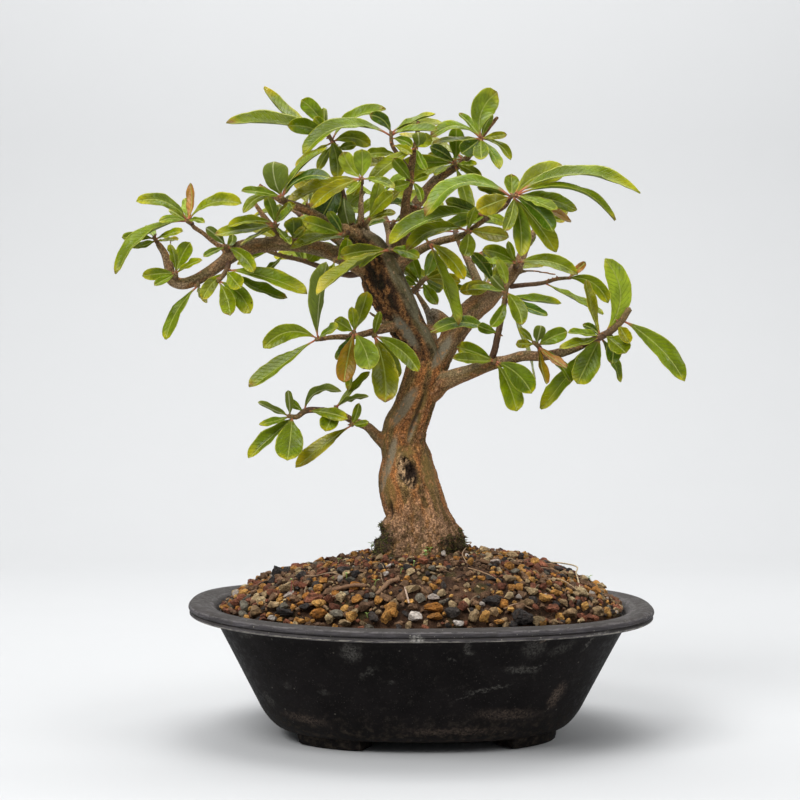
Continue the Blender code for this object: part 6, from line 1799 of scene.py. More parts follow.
def make_pot_finish(looks):
    """Dull black moulded plastic: dusty specks, scuffs, a greyed and scratched rim with painted shade in its
    groove, a dirty foot.
    """
    plastic = Finish("pot_plastic", 0.6, 0.06)
    right, _, height = plastic.parts(plastic.place)
    cloud = plastic.noise(16, 5.0, 0.62)
    dirt = plastic.noise(3.2, 6.0, 0.68)
    dust, warm_dust = smudge_masks(plastic)
    wall = plastic.mix(plastic.step(cloud, 0.3, 0.7), tuple(looks.wall), dimmed(looks.wall, 1.75))
    wall = plastic.laid(wall, tuple(looks.dust), plastic.step(dirt, 0.52, 0.72), 0.35)
    for size, radius, share, strength in ((0.8, 0.30, 0.22, 0.28), (2.1, 0.16, 0.30, 0.45),
                                          (5.0, 0.12, 0.25, 0.7)):
        wall = plastic.laid(wall, dimmed(looks.dust, 2.2), plastic.specks(size, radius, share), strength)
    low = plastic.times(plastic.step(height, POT_LOW.z + 24 * MM, POT_LOW.z + 4 * MM),
                        plastic.step(dirt, 0.44, 0.66))
    wall = plastic.laid(wall, (0.085, 0.066, 0.048), low, 0.42)
    wall = plastic.mix(dust, wall, (0.135, 0.128, 0.115))
    wall = plastic.mix(warm_dust, wall, (0.190, 0.140, 0.108))
    scratch = plastic.noise(1.0, 5.0, 0.7, plastic.stretched((0.10, 0.10, 1.6)))
    rim = plastic.mix(plastic.step(scratch, 0.42, 0.66), tuple(looks.rim), dimmed(looks.rim, 2.1))
    rim = plastic.laid(rim, dimmed(looks.dust, 1.8), plastic.step(dirt, 0.46, 0.70), 0.55)
    rim = plastic.laid(rim, (0.030, 0.028, 0.027), plastic.step(cloud, 0.58, 0.44), 0.35)
    level = rim_level(plastic, right, height, looks.warp)
    worn = plastic.step(plastic.noise(0.9, 5.0, 0.72, plastic.stretched((0.22, 0.22, 1.2))), 0.40, 0.60)
    # The pale lines are wear; the dark line is painted shade in the rim's groove
    for place, half, strength, tone, scratched in RIM_LINES:
        away = plastic.maths("ABSOLUTE", plastic.less(level, POT_LOW.z + place * MM))
        line = plastic.times(plastic.step(away, half * MM, 0.3 * half * MM), strength)
        rim = plastic.laid(rim, tone, line, worn) if scratched else plastic.mix(line, rim, tone)
    for size, share, strength in ((0.7, 0.16, 0.45), (1.8, 0.22, 0.75)):
        rim = plastic.laid(rim, (0.33, 0.31, 0.26), plastic.specks(size, 0.22, share), strength)
    rim = plastic.mix(dust, rim, (0.46, 0.44, 0.40))
    facing = plastic.parts(plastic.node("ShaderNodeNewGeometry").outputs["Normal"])[2]
    rim = plastic.laid(rim, dimmed(looks.dust, 1.8), plastic.step(facing, 0.25, 0.85), 0.45)
    on_rim = plastic.step(level, *(POT_LOW.z + edge * MM for edge in RIM_UNDERSIDE))
    plastic.colour(plastic.mix(on_rim, wall, rim))
    plastic.rough(plastic.step(dirt, 0.3, 0.7, 0.48, 0.74))
    grain = plastic.noise(0.45, 3.0)
    plastic.bump(plastic.plus(plastic.times(grain, 0.5), plastic.times(scratch, 0.5),
                              plastic.times(plastic.times(dirt, on_rim), 1.2)), 0.16)
    return plastic.material


# The earth below its surface, from the underside up the pot's wall: height, half length, half depth
EARTH_BODY = ((8.7, 20.0, 15.0), (8.7, 64.0, 47.0), (15.0, 76.2, 58.7), (40.0, 88.6, 67.2),
              (60.2, 99.0, 74.6))
BED_SIDES = 200
BED_RINGS = 64


def mound_height(x, y):
    """Height of the mound's even surface, which dips on its left."""
    share = out_share(x, y, *MOUND_HALF) ** (1 / POT_SQUARENESS)
    inward = 1 - np.minimum(share, 1.03) ** MOUND_POWER
    dip = DIP_DEPTH * np.exp(-((x - DIP_MIDDLE) / DIP_HALF_WIDTH) ** 2)
    return MOUND_FOOT + 0.8 * RIM_LIFT * (x / HALF_LENGTH) ** 2 + (MOUND_HEIGHT - dip) * inward


def mound_normal(x, y):
    """The way the mound's surface faces."""
    rise_right = mound_height(x + 0.5, y) - mound_height(x - 0.5, y)
    rise_back = mound_height(x, y + 0.5) - mound_height(x, y - 0.5)
    return unit(np.array((-float(rise_right), -float(rise_back), 1.0)))


def on_mound(across, down):
    """The point of the mound that shows at a place in the front view, or its horizon nearest to it."""
    closest = None
    for depth in np.arange(*MOUND_DEPTHS):
        spot = seen(across, down, depth)
        if out_share(spot.x, spot.y, *MOUND_HALF) > 1:
            continue
        above = spot.z - float(mound_height(spot.x, spot.y))
        if closest is None or above < closest[0]:
            closest = (above, Vector((spot.x, spot.y, spot.z - above)))
        if above <= 0:
            break
    return closest and closest[1]


# Bare earth in front, as seen: across, down, half width, half height, where it starts and ends, strength
BARE = ((234, 291, 17, 10.5, 0.7, 1.15, 0.97), (166, 284, 20, 8, 0.6, 1.2, 0.85),
        (195, 289, 17, 9, 0.6, 1.2, 0.80))


def earth_shown(x, y):
    """How bare of stones the mound is at a place: the crumbly patches and the strip by the trunk."""
    across, down = seen_at(np.stack([x, y, mound_height(x, y)], axis=-1))
    front = ramp(y, 12, -4)
    shown = [0.86 * (1 - ramp(np.sqrt((x - 1) ** 2 + (y * 1.2) ** 2), 34, 58))]
    for right, below, wide, high, start, end, strength in BARE:
        away = np.sqrt(((across - right) / wide) ** 2 + ((down - below) / high) ** 2)
        shown.append(strength * (1 - ramp(away, start, end)) * front)
    return np.maximum.reduce(shown)


def make_bed(looks):
    """The earth as one closed body: the rough surface, the side against the pot and the underside."""
    rings = [[(x, y, height) for x, y in oval(*half, BED_SIDES)] for height, *half in EARTH_BODY]
    for ring in range(BED_RINGS):
        share = 1 - (ring + 0.5) / BED_RINGS
        rings.append([(x * share, y * share, 0.0) for x, y in oval(*BED_HALF, BED_SIDES)])
    points, faces = closed_rings(rings)
    points = np.array(points)
    top = np.zeros(len(points), bool)
    top[len(EARTH_BODY) * BED_SIDES:len(rings) * BED_SIDES] = True
    top[-1] = True
    flat = points[top] * (1, 1, 0)
    bare = earth_shown(flat[:, 0], flat[:, 1])
    lumps = layered(flat, (5.5, 5.5, 5.5), 41, 4)
    nearest, _, label = cells_at(flat + 0.6 * lumps[:, None], 2.1, 42)
    crumbs = 0.75 - nearest
    fine = layered(flat, 0.9, 43, 2)
    at_edge = ramp(np.hypot(flat[:, 0] / BED_HALF[0], flat[:, 1] / BED_HALF[1]), 0.90, 1.0)
    level = mound_height(flat[:, 0], flat[:, 1]) - looks.bed / MM * (1 - 0.65 * bare) - 1.2 * at_edge
    points[top, 2] = (level + 2.2 * (lumps - 0.5) + 1.5 * crumbs * (0.5 + 0.5 * label)
                      + 0.7 * (fine - 0.5))
    earth = np.array(looks.earth)
    colours = np.tile(earth * 0.6, (len(points), 1))
    tone = layered(flat, (8, 8, 8), 44, 3)
    # The third layer darkens the gaps between the crumbs as painted shade
    colours[top] = coated(
        earth * 0.62, (earth * 1.35, ramp(tone, 0.32, 0.68)),
        (earth * (0.40, 0.38, 0.38), ramp(crumbs, 0.10, -0.25)),
        ((0.175, 0.098, 0.058), 0.55 * ramp(label, 0.55, 0.95) * bare),
        ((0.235, 0.105, 0.040), ramp(label, 0.955, 0.965) * ramp(nearest, 0.5, 0.3)),
        ((0.060, 0.062, 0.018), 0.5 * ramp(layered(flat, (9, 9, 9), 45, 3), 0.60, 0.72)))
    return make_mesh("earth_bed", points, faces, colours)


# Stones that stand out, as seen: across, down, width, height, kind
STONES = (
    (139, 286, 6, 5.5, "dark"), (132.5, 288.5, 5, 4, "brown"), (177, 277, 3.2, 3.2, "ochre"),
    (167, 280, 4.5, 4.2, "brown"), (171.5, 278.5, 3.6, 3.4, "brown"), (171.5, 285, 6.5, 4.6, "dark"),
    (156.5, 299.5, 10, 5.4, "lava"), (164, 299.5, 5, 5, "lava"), (136, 296.5, 5, 3.5, "lava"),
    (143, 294, 7, 4.6, "tan"), (159.5, 302.5, 6.5, 4.4, "ochre"), (160, 306.5, 7, 5.6, "ochre"),
    (127.5, 306, 6, 5.4, "tan"), (122, 304, 4.5, 6, "grey"), (117.5, 302, 5.4, 4.4, "lava"),
    (111.5, 301.5, 3.6, 5, "lava"), (113, 304, 3, 2.6, "ochre"), (116, 306, 5.5, 2.6, "lava"),
    (142.5, 306, 9, 4.8, "dark"), (136, 303, 7, 3.8, "tan"), (136, 309.3, 4, 2.6, "white"),
    (140, 310, 3, 2.4, "ochre"), (150.5, 310.6, 3.4, 2.6, "ochre"), (156, 311, 2.6, 2, "ochre"),
    (164.5, 309, 5, 5.4, "tan"), (171, 298.5, 5.5, 5, "tan"), (168.5, 307.5, 7, 4, "grey"),
    (192.5, 309, 5.4, 7, "ochre"), (175.5, 308.5, 5.4, 5.4, "ochre"), (195, 304.5, 6, 6, "ochre"),
    (196.5, 306.5, 5, 4.6, "ochre"), (197, 303, 5, 5.6, "tan"), (173, 311.5, 6.5, 3, "tan"),
    (189.5, 300, 4, 4.6, "ochre"), (207, 308.5, 7, 4.2, "white"), (206.5, 294.5, 7, 3.6, "tan"),
    (210, 299.5, 5, 4.6, "grey"), (193, 280, 3.4, 4.4, "lava"), (212, 280, 5.6, 4.4, "lava"),
    (170.5, 289.5, 3.2, 3.6, "white"), (175, 290, 5, 4, "grey"), (193, 287, 2.4, 2.4, "white"),
    (217.5, 304, 9.5, 4.8, "ochre"), (217, 308.5, 7.5, 3.4, "ochre"), (221, 297, 4.6, 4, "tan"),
    (235, 281.5, 3.4, 4.6, "ochre"), (232, 303.5, 5.5, 5, "lava"), (237.5, 308.5, 5.4, 6.4, "tan"),
    (242.5, 309, 4.8, 6.4, "ochre"), (239, 304, 2.6, 2.4, "ochre"), (251.5, 302, 4.6, 3.8, "ochre"),
    (254.5, 298.5, 4, 4, "tan"), (263.5, 302, 6.4, 4.4, "tan"), (259.5, 298.5, 2.8, 2.6, "white"),
    (272, 299, 7.4, 4, "ochre"), (261, 308.5, 9.5, 7.4, "dark"), (269.5, 310.5, 5.4, 4.8, "tan"),
    (276.5, 304, 7, 4.4, "lava"), (254.5, 289.5, 6.4, 3.6, "tan"), (255, 283.5, 5, 4.4, "ochre"),
    (257.5, 286, 4.6, 2.6, "grey"), (260, 293.5, 4.4, 4.4, "ochre"), (271.5, 293.5, 4.4, 3.2, "lava"),
    (285, 307, 7, 4.6, "tan"), (284, 311, 3.4, 3, "ochre"), (292.5, 303, 3.4, 5, "ochre"),
    (299, 306, 5.4, 5, "tan"), (304, 306, 3.6, 6, "ochre"), (311, 302.5, 6, 5.4, "brown"),
    (298, 296, 4.6, 4.4, "ochre"), (301, 293, 5, 4, "tan"), (291, 296, 7, 4.6, "tan"),
    (308, 306.5, 2.2, 2.2, "white"), (216.5, 298.5, 5.6, 2.8, "white"), (229.5, 312, 5, 2.8, "white"),
    (293.5, 290, 3, 3, "dark"), (248, 281, 5, 2.8, "white"), (256, 278, 5.5, 4, "tan"),
    (262, 277.5, 4.6, 4, "ochre"), (267, 281, 5, 3.6, "ochre"), (242, 275, 5.5, 4, "tan"),
    (247, 277, 4, 3, "brown"), (222, 277.3, 2.6, 3.6, "white"), (271, 311.5, 4, 3, "ochre"),
    (250, 311.5, 5.5, 2.6, "ochre"), (206, 303.5, 5, 4, "brown"), (152, 304, 5, 4, "dark"),
    (147, 299.5, 5, 4, "brown"), (151, 293, 4.6, 3.8, "lava"), (182, 303.5, 5.5, 4.6, "brown"),
    (186.5, 309.5, 5, 4.6, "dark"), (226, 306.5, 7, 5, "dark"), (246.5, 306.5, 5, 4.6, "tan"))

# Kinds of stone: the two ends of its colour, how rough its shape is, how often it is met, how far apart
# its pits are, and how strongly its grain shows
Kind = namedtuple("Kind", "dull bright rough share pits contrast")
KINDS = {
    "ochre": Kind((0.50, 0.190, 0.032), (0.74, 0.380, 0.105), 0.19, 0.19, 0.9, 0.32),
    "lava": Kind((0.190, 0.064, 0.034), (0.38, 0.135, 0.070), 0.20, 0.18, 0.7, 0.35),
    "brown": Kind((0.140, 0.076, 0.042), (0.34, 0.190, 0.100), 0.18, 0.31, 0.9, 0.35),
    "dark": Kind((0.030, 0.026, 0.026), (0.080, 0.066, 0.058), 0.20, 0.11, 0.8, 0.40),
    "grey": Kind((0.145, 0.128, 0.098), (0.265, 0.232, 0.175), 0.15, 0.04, 1.3, 0.25),
    "tan": Kind((0.360, 0.225, 0.110), (0.64, 0.460, 0.250), 0.18, 0.15, 1.1, 0.25),
    "white": Kind((0.62, 0.50, 0.42), (0.82, 0.73, 0.64), 0.12, 0.02, 1.4, 0.14)}

STONE_CUTS = 11


def stone_shape(draw, level, rough):
    """A worn, angular pebble about one unit in radius, and how much painted shade each point takes in its
    pits and low lumps.
    """
    work = bmesh.new()
    bmesh.ops.create_icosphere(work, subdivisions=level, radius=1.0)
    points = np.array([tuple(point.co) for point in work.verts])
    faces = [tuple(point.index for point in face.verts) for face in work.faces]
    work.free()
    for _ in range(STONE_CUTS):
        normal = unit(np.array([draw.gauss(0, 1) for _ in range(3)]))
        over = points @ normal - draw.uniform(0.45, 0.78)
        points = points - np.outer(np.maximum(over, 0) * 0.97, normal)
    shift = draw.uniform(0, 50)
    lumps = layered(points + shift, 0.85, 51, 3) - 0.5
    nearest = cells_at(points + shift, 0.40, 52)[0]
    grit = layered(points + shift, 0.26, 55, 2) - 0.5
    points = points * (1 + rough * (3.2 * lumps + 1.1 * grit - 2.2 * np.maximum(0, 0.45 - nearest)))[:, None]
    # Painted shade: how deep each point lies in a pit or among low lumps
    dark = ramp(0.5 - nearest + 0.9 * (0.5 - lumps), 0.0, 0.5)
    return points, faces, dark


def surface_spot(x, y, normal, lift):
    """A point over the mound at a place, that far out along the way the mound faces."""
    return np.array((x, y, float(mound_height(x, y)))) + normal * lift


def gravel_place(turn, out):
    """The place on the mound at a turn, a share of the way out from its middle."""
    across, back = squarish(turn)
    return across * GRAVEL_HALF[0] * out, back * GRAVEL_HALF[1] * out


def turned(draw, points, normal, tilt):
    """Points turned so that their third axis follows a normal, with a random turn and some tilt."""
    up = unit(normal + tilt * any_way(draw))
    turn = draw.uniform(0, 2 * math.pi)
    first = unit(np.cross(up, (math.cos(turn), math.sin(turn), 0.13)))
    return points[:, :1] * first + points[:, 1:2] * np.cross(up, first) + points[:, 2:] * up


class Gravel:
    """Stones of every kind, gathered by kind."""

    def __init__(self, looks):
        self.draw = random.Random(SEED)
        self.looks = looks
        self.kinds = {kind: Gather() for kind in KINDS}
        self.shapes = {(kind, level): [stone_shape(self.draw, level, facts.rough) for _ in range(9)]
                       for kind, facts in KINDS.items() for level in (2, 3, 4)}
        self.places = np.zeros((0, 3))

    def any_kind(self):
        """A kind drawn by how often each is met."""
        return self.draw.choices(list(KINDS), [kind.share for kind in KINDS.values()])[0]

    def put(self, kind, centre, points, faces, dark):
        """Keep a stone of a kind, in a colour of its own, with painted shade in its pits and hollows and
        earth on it.
        """
        share = self.draw.random()
        base = np.array(KINDS[kind].dull) * (1 - share) + np.array(KINDS[kind].bright) * share
        base = base * self.draw.uniform(0.8, 1.15)
        soil = ramp(layered(points + centre, 1.3, 53, 2), 0.52, 0.74)
        fresh = ramp(layered(points * 1.7 + centre, 1.0, 54, 2), 0.50, 0.72)
        # The stone's dark layer is painted shade in its pits and hollows
        colours = coated(base, (np.minimum(base * 1.7 + 0.05, 0.80), 0.45 * fresh),
                         (base * 0.40, 0.75 * dark), (np.array(self.looks.earth) * 0.9, 0.45 * soil))
        self.kinds[kind].add(points + centre, faces, colours)

    def add(self, kind, centre, radii, normal=None, tilt=0.35):
        """One stone with radii across, back and up: lying on the mound, or upright as seen."""
        size = max(radii)
        level = 2 if size < 2.1 or centre[1] > 18 else 3
        if normal is None and size > 2.7:
            level = 4
        points, faces, dark = self.draw.choice(self.shapes[kind, level])
        if normal is None:
            spun = turned(self.draw, points, np.array((0.0, 0.0, 1.0)), 2.0)
            placed = spun / np.abs(spun).max(0) * np.array(radii)
        else:
            placed = turned(self.draw, points * np.array(radii), normal, tilt)
        self.put(kind, np.asarray(centre, float), placed, faces, dark)
        self.places = np.concatenate([self.places, [[centre[0], centre[1], size]]])

    def add_seen(self, across, down, width, height, kind):
        """A stone that shows at a place in the front view, resting on the mound."""
        spot = on_mound(across, down + 0.25 * height)
        if spot is None:
            return
        normal = mound_normal(spot.x, spot.y)
        half = (0.56 * width, 0.25 * (width + height), 0.56 * height)
        target = seen(across, down, spot.y)
        centre = np.array((target.x, spot.y - 0.15 * height, target.z)) + 0.15 * normal
        self.add(kind, centre, half)

    def free(self, x, y, room):
        """Whether a new stone at a place keeps off the others."""
        gap = np.hypot(self.places[:, 0] - x, self.places[:, 1] - y)
        return np.all(gap > self.looks.packing * (self.places[:, 2] + room))

    def line_rim(self, inward, level):
        """A ring of mixed stones inside the pot's inner wall, all round, at a height."""
        turn = 0.0
        while turn < 2 * math.pi:
            size = self.draw.uniform(1.2, 2.7)
            x, y = (share * (half - inward - 0.6 * size) for share, half in zip(squarish(turn), INNER_HALF))
            turn += size * self.draw.uniform(1.25, 1.8) / 88
            if not self.free(x, y, 0.35 * size):
                continue
            radii = (size * self.draw.uniform(0.85, 1.25), size, size * self.draw.uniform(0.7, 0.95))
            height = level + self.draw.uniform(-0.6, 0.9) + RIM_LIFT * (x / HALF_LENGTH) ** 2
            self.add(self.any_kind(), (x, y, height), radii, np.array((0.0, 0.0, 1.0)))

    def scatter(self, tries, smallest, largest, reach, bare_limit):
        """Stones of a size range over the mound, fewer where the earth is bare."""
        for _ in range(tries):
            turn = self.draw.uniform(0, 2 * math.pi)
            out = math.sqrt(self.draw.random()) * reach
            x, y = gravel_place(turn, out)
            size = self.draw.uniform(smallest, largest) * (0.8 + 0.35 * out ** 3)
            if math.hypot(x - 1, y) < TRUNK_ROOM or not self.free(x, y, size):
                continue
            bare = float(earth_shown(np.array([x]), np.array([y]))[0])
            if self.draw.random() < bare * bare_limit:
                continue
            normal = mound_normal(x, y)
            radii = (size * self.draw.uniform(0.85, 1.3), size, size * self.draw.uniform(0.6, 0.85))
            lift = size * self.draw.uniform(-0.25, 0.35) - 0.2 + 0.6 * float(ramp(out, 0.8, 0.97))
            self.add(self.any_kind(), surface_spot(x, y, normal, lift), radii, normal)


# Rings of stones: how far inside the pot's wall, and their height
GRAVEL_RINGS = ((0.0, 62.9), (3.2, 64.2))

# Layers of stones: tries, smallest, largest, how far out they reach, and how bare they leave bare earth
GRAVEL_LAYERS = ((3200, 2.3, 3.3, 0.985, 1.0), (9000, 1.5, 2.2, 0.99, 0.97), (14000, 0.9, 1.4, 0.995, 0.9))


def make_stones(looks):
    """All the gravel: the stones that stand out, then finer and finer ones between them."""
    gravel = Gravel(looks)
    for row in STONES:
        gravel.add_seen(*row)
    for row in GRAVEL_RINGS:
        gravel.line_rim(*row)
    for row in GRAVEL_LAYERS:
        gravel.scatter(*row)
    return gravel


def make_crumbs(looks):
    """Small crumbs of earth and grit that fill between the stones."""
    draw = random.Random(SEED + 1)
    crumbs = Gather()
    shapes = [stone_shape(draw, 1, 0.10)[:2] for _ in range(6)] + [stone_shape(draw, 2, 0.12)[:2]]
    earth = np.array(looks.earth)
    tones = [earth * 0.55, earth * 0.9, earth * 1.4, (0.23, 0.105, 0.040), (0.30, 0.19, 0.10),
             (0.16, 0.06, 0.035)]
    weights = (0.28, 0.30, 0.18, 0.11, 0.07, 0.06)
    for _ in range(looks.crumbs):
        turn = draw.uniform(0, 2 * math.pi)
        out = math.sqrt(draw.random()) * 0.99
        x, y = gravel_place(turn, out)
        size = draw.uniform(0.3, 1.05)
        normal = mound_normal(x, y)
        centre = surface_spot(x, y, normal, draw.uniform(-1.2, 0.4))
        points, faces = draw.choice(shapes)
        placed = turned(draw, points * size, normal, 1.0)
        crumbs.add(placed + centre, faces, np.array(draw.choices(tones, weights)[0]) * draw.uniform(0.7, 1.2))
    return crumbs.mesh("crumbs")


def make_stone_finish(name):
    """Porous stone: the point colours with fine grain, pits darkened as painted shade, and a dusting of
    earth.
    """
    stone = Finish("stone_" + name, 0.88, 0.25)
    kind = KINDS[name]
    grain = stone.noise(0.6, 5.0, 0.68)
    holes = stone.cells(kind.pits)[0]
    # Painted shade in the hollows of the grain and painted light on its tops
    coat, dark = stone.grained(grain, 0.32, 0.68, (1 - kind.contrast,) * 3,
                               (1 + kind.contrast, 1 + kind.contrast, 1 + 0.9 * kind.contrast))
    # Painted shade in the pits, which the bump sinks
    stone.colour(stone.laid(coat, dark, stone.step(holes, 0.26, 0.08), 0.6))
    stone.rough(stone.step(grain, 0.3, 0.7, 0.95, 0.78))
    stone.bump(stone.plus(grain, stone.times(stone.step(holes, 0.0, 0.35), 0.8)), 0.45)
    return stone.material


def make_earth_finish():
    """Damp crumbly earth."""
    earth = Finish("earth", 0.92, 0.2)
    grain = earth.noise(0.55, 5.0, 0.7)
    lumps = earth.noise(1.7, 4.0, 0.6)
    # Painted shade in the hollows of the grain and painted light on its tops
    coat = earth.grained(grain, 0.34, 0.66, (0.45, 0.42, 0.40), (1.55, 1.45, 1.35))[0]
    earth.colour(earth.laid(coat, (0.30, 0.15, 0.06), earth.specks(1.6, 0.22, 0.10), 0.7))
    earth.rough(earth.step(lumps, 0.3, 0.7, 0.97, 0.82))
    earth.bump(earth.plus(grain, lumps), 0.6)
    return earth.material


# Small plants on the earth, as seen: across, down, height
SEEDLINGS = (
    (186, 272.5, 4.5), (194.5, 273.5, 5.0), (169, 281.5, 2.6), (200.5, 287, 3.0), (173, 290, 3.4),
    (187.5, 293, 3.0), (212.5, 280.5, 5.5), (184, 309.5, 2.4), (208, 276, 4.0), (215, 278, 4.5),
    (192, 276.5, 3.0), (167, 290.5, 2.0), (206.5, 283.5, 3.0), (145.2, 297, 8.5), (294.5, 290.5, 4.0))

# Dry stalks and rootlets lying on the earth: thickness, colour and places as seen, with a lift
STRAWS = (
    (0.75, (0.46, 0.36, 0.22), ((274.5, 281.5, 0.3), (280, 282, 2.2), (284, 283.5, 3.4), (287.5, 289, 1.6),
                                (290, 295, 0.2))),
    (0.6, (0.42, 0.30, 0.18), ((274, 290.5, 0.4), (279, 291.5, 1.6), (285, 294.5, 1.4), (291, 298, 0.2))),
    (0.6, (0.36, 0.22, 0.12), ((234, 284.5, 0.2), (240, 287, 1.0), (246, 289.5, 0.8), (251, 292.5, 0.1))),
    (0.55, (0.34, 0.22, 0.13), ((226, 270, 0.3), (230, 274, 1.6), (231.5, 279, 0.4), (234, 283, 0.1))),
    (1.9, (0.215, 0.115, 0.060), ((166.5, 296, -0.2), (172, 295, 0.5), (177.5, 294, 0.6),
                                  (183, 293.6, -0.3))),
    (2.1, (0.230, 0.130, 0.072), ((188.5, 298, -0.3), (192, 295, 0.5), (195.5, 292, 0.6),
                                  (199.5, 290.5, -0.4))),
    (1.5, (0.250, 0.150, 0.080), ((148, 305.5, -0.2), (153, 304.5, 0.6), (158, 303, 0.4),
                                  (163.5, 304.5, -0.2))),
    (0.9, (0.55, 0.40, 0.30), ((202.5, 294.5, 0.1), (203.2, 298, 0.9), (204.5, 302.5, 0.1))),
    (0.6, (0.30, 0.20, 0.12), ((150, 288, 0.1), (158, 289.5, 1.1), (165, 287.5, 0.5), (170, 288, 0.1))),
    (0.7, (0.28, 0.17, 0.10), ((252, 305, 0.1), (258, 303.5, 1.4), (266, 305.5, 0.4))))


def on_earth(across, down, lift):
    """A place on the mound as seen, lifted along the way the mound faces."""
    spot = on_mound(across, down)
    if spot is None:
        raise RuntimeError("nothing of the mound shows at %s, %s" % (across, down))
    normal = mound_normal(spot.x, spot.y)
    return spot + Vector(normal) * lift


def small_blade(root, tip, width, up, stations=7):
    """A little leaf: five points across, cupped, rounded at its tip."""
    chord = tip - root
    side = chord.cross(up).normalized()
    face = side.cross(chord).normalized()
    points = []
    for layer in (0, 1):
        for station in range(stations + 1):
            share = station / stations
            half = width / 2 * (0.16 + 0.84 * math.sin(math.pi * min(1.0, share * 0.92 + 0.06)) ** 0.8)
            bend = math.sin(math.pi * share) * 0.12 * chord.length
            for column in range(5):
                across = (column - 2) / 2
                spot = root + chord * share + face * (bend + 0.22 * half * across ** 2 - 0.13 * layer)
                points.append(spot + side * half * across)
    faces = []
    layer = 5 * (stations + 1)
    for station in range(stations):
        for column in range(4):
            here = station * 5 + column
            faces.append((here, here + 5, here + 6, here + 1))
            faces.append((layer + here, layer + here + 1, layer + here + 6, layer + here + 5))
        for column, order in ((0, 1), (4, -1)):
            here = station * 5 + column
            faces.append((here, layer + here, layer + here + 5, here + 5)[::order])
    for station, order in ((0, 1), (stations, -1)):
        for column in range(4):
            here = station * 5 + column
            faces.append((here, here + 1, layer + here + 1, layer + here)[::order])
    return points, faces


def make_seedlings():
    """Small weeds that have sprouted on the earth, a few leaves on a thin stem each."""
    draw = random.Random(SEED + 2)
    weeds = Gather()
    for number, (across, down, height) in enumerate(SEEDLINGS):
        root = on_earth(across, down, -0.3)
        red = height > 8
        top = root + Vector((draw.uniform(-0.6, 0.6), draw.uniform(-0.8, 0.2), height * 0.8))
        bend = root.lerp(top, 0.5) + Vector((draw.uniform(-0.4, 0.4), draw.uniform(-0.3, 0.3), 0))
        stalk = (0.33, 0.075, 0.075) if red else (0.21, 0.30, 0.075)
        points, faces, _ = fine_tube([(root, 0.45), (bend, 0.4), (top, 0.35)], 6, 0.05, number)
        weeds.add(points, faces, stalk)
        pairs = 1 if height < 3.5 or red else 2
        for pair in range(pairs):
            start = root.lerp(top, 1.0 - 0.35 * pair)
            turn = draw.uniform(0, math.pi)
            for half_turn in (0, math.pi):
                out = Vector((math.cos(turn + half_turn), math.sin(turn + half_turn), draw.uniform(0.1, 0.7)))
                long = height * draw.uniform(0.42, 0.62) * (0.35 if red else 1.0)
                tip = start + out.normalized() * long
                points, faces = small_blade(start, tip, long * 0.62, Vector((0, 0, 1)))
                tone = blended((0.24, 0.36, 0.075), (0.40, 0.52, 0.20), draw.random())
                weeds.add(points, faces, tone)
    return weeds.mesh("seedlings")


def make_straws(looks):
    """Dry stalks, rootlets and bits of bark on the earth."""
    draw = random.Random(SEED + 3)
    straws = Gather()
    for number, (thickness, colour, rows) in enumerate(STRAWS):
        places = [(on_earth(across, down, lift + thickness * 0.4), thickness) for across, down, lift in rows]
        points, faces, _ = fine_tube(places, 9, 0.22, number)
        tone = layered(points, (1.5, 1.5, 1.5), 61 + number, 3)
        straws.add(points, faces, np.array(colour) * (0.6 + 0.8 * tone)[:, None])
    for number in range(looks.straws):
        turn = draw.uniform(0, 2 * math.pi)
        out = draw.uniform(0.35, 0.96)
        x = 96 * out * math.cos(turn)
        y = 72 * out * math.sin(turn)
        heading = draw.uniform(0, 2 * math.pi)
        long = draw.uniform(3, 12)
        places = []
        for step in range(4):
            share = step / 3
            heading += draw.uniform(-0.5, 0.5)
            x += math.cos(heading) * long / 3
            y += math.sin(heading) * long / 3
            if out_share(x, y, *STRAW_HALF) > 1:
                break
            lift = 0.5 + 1.0 * math.sin(math.pi * share)
            places.append((Vector((x, y, float(mound_height(x, y)))) + Vector(mound_normal(x, y)) * lift,
                           draw.uniform(0.3, 0.6)))
        if len(places) < 3:
            continue
        points, faces, _ = fine_tube(places, 6, 0.15, number)
        tone = np.array(draw.choice(((0.28, 0.19, 0.11), (0.17, 0.10, 0.055), (0.10, 0.055, 0.035))))
        straws.add(points, faces, tone * draw.uniform(0.7, 1.2))
    return straws.mesh("straws")


# The turns at which the three corners of a moss leaf stand round it
CORNERS = (0.0, 2.1, 4.2)


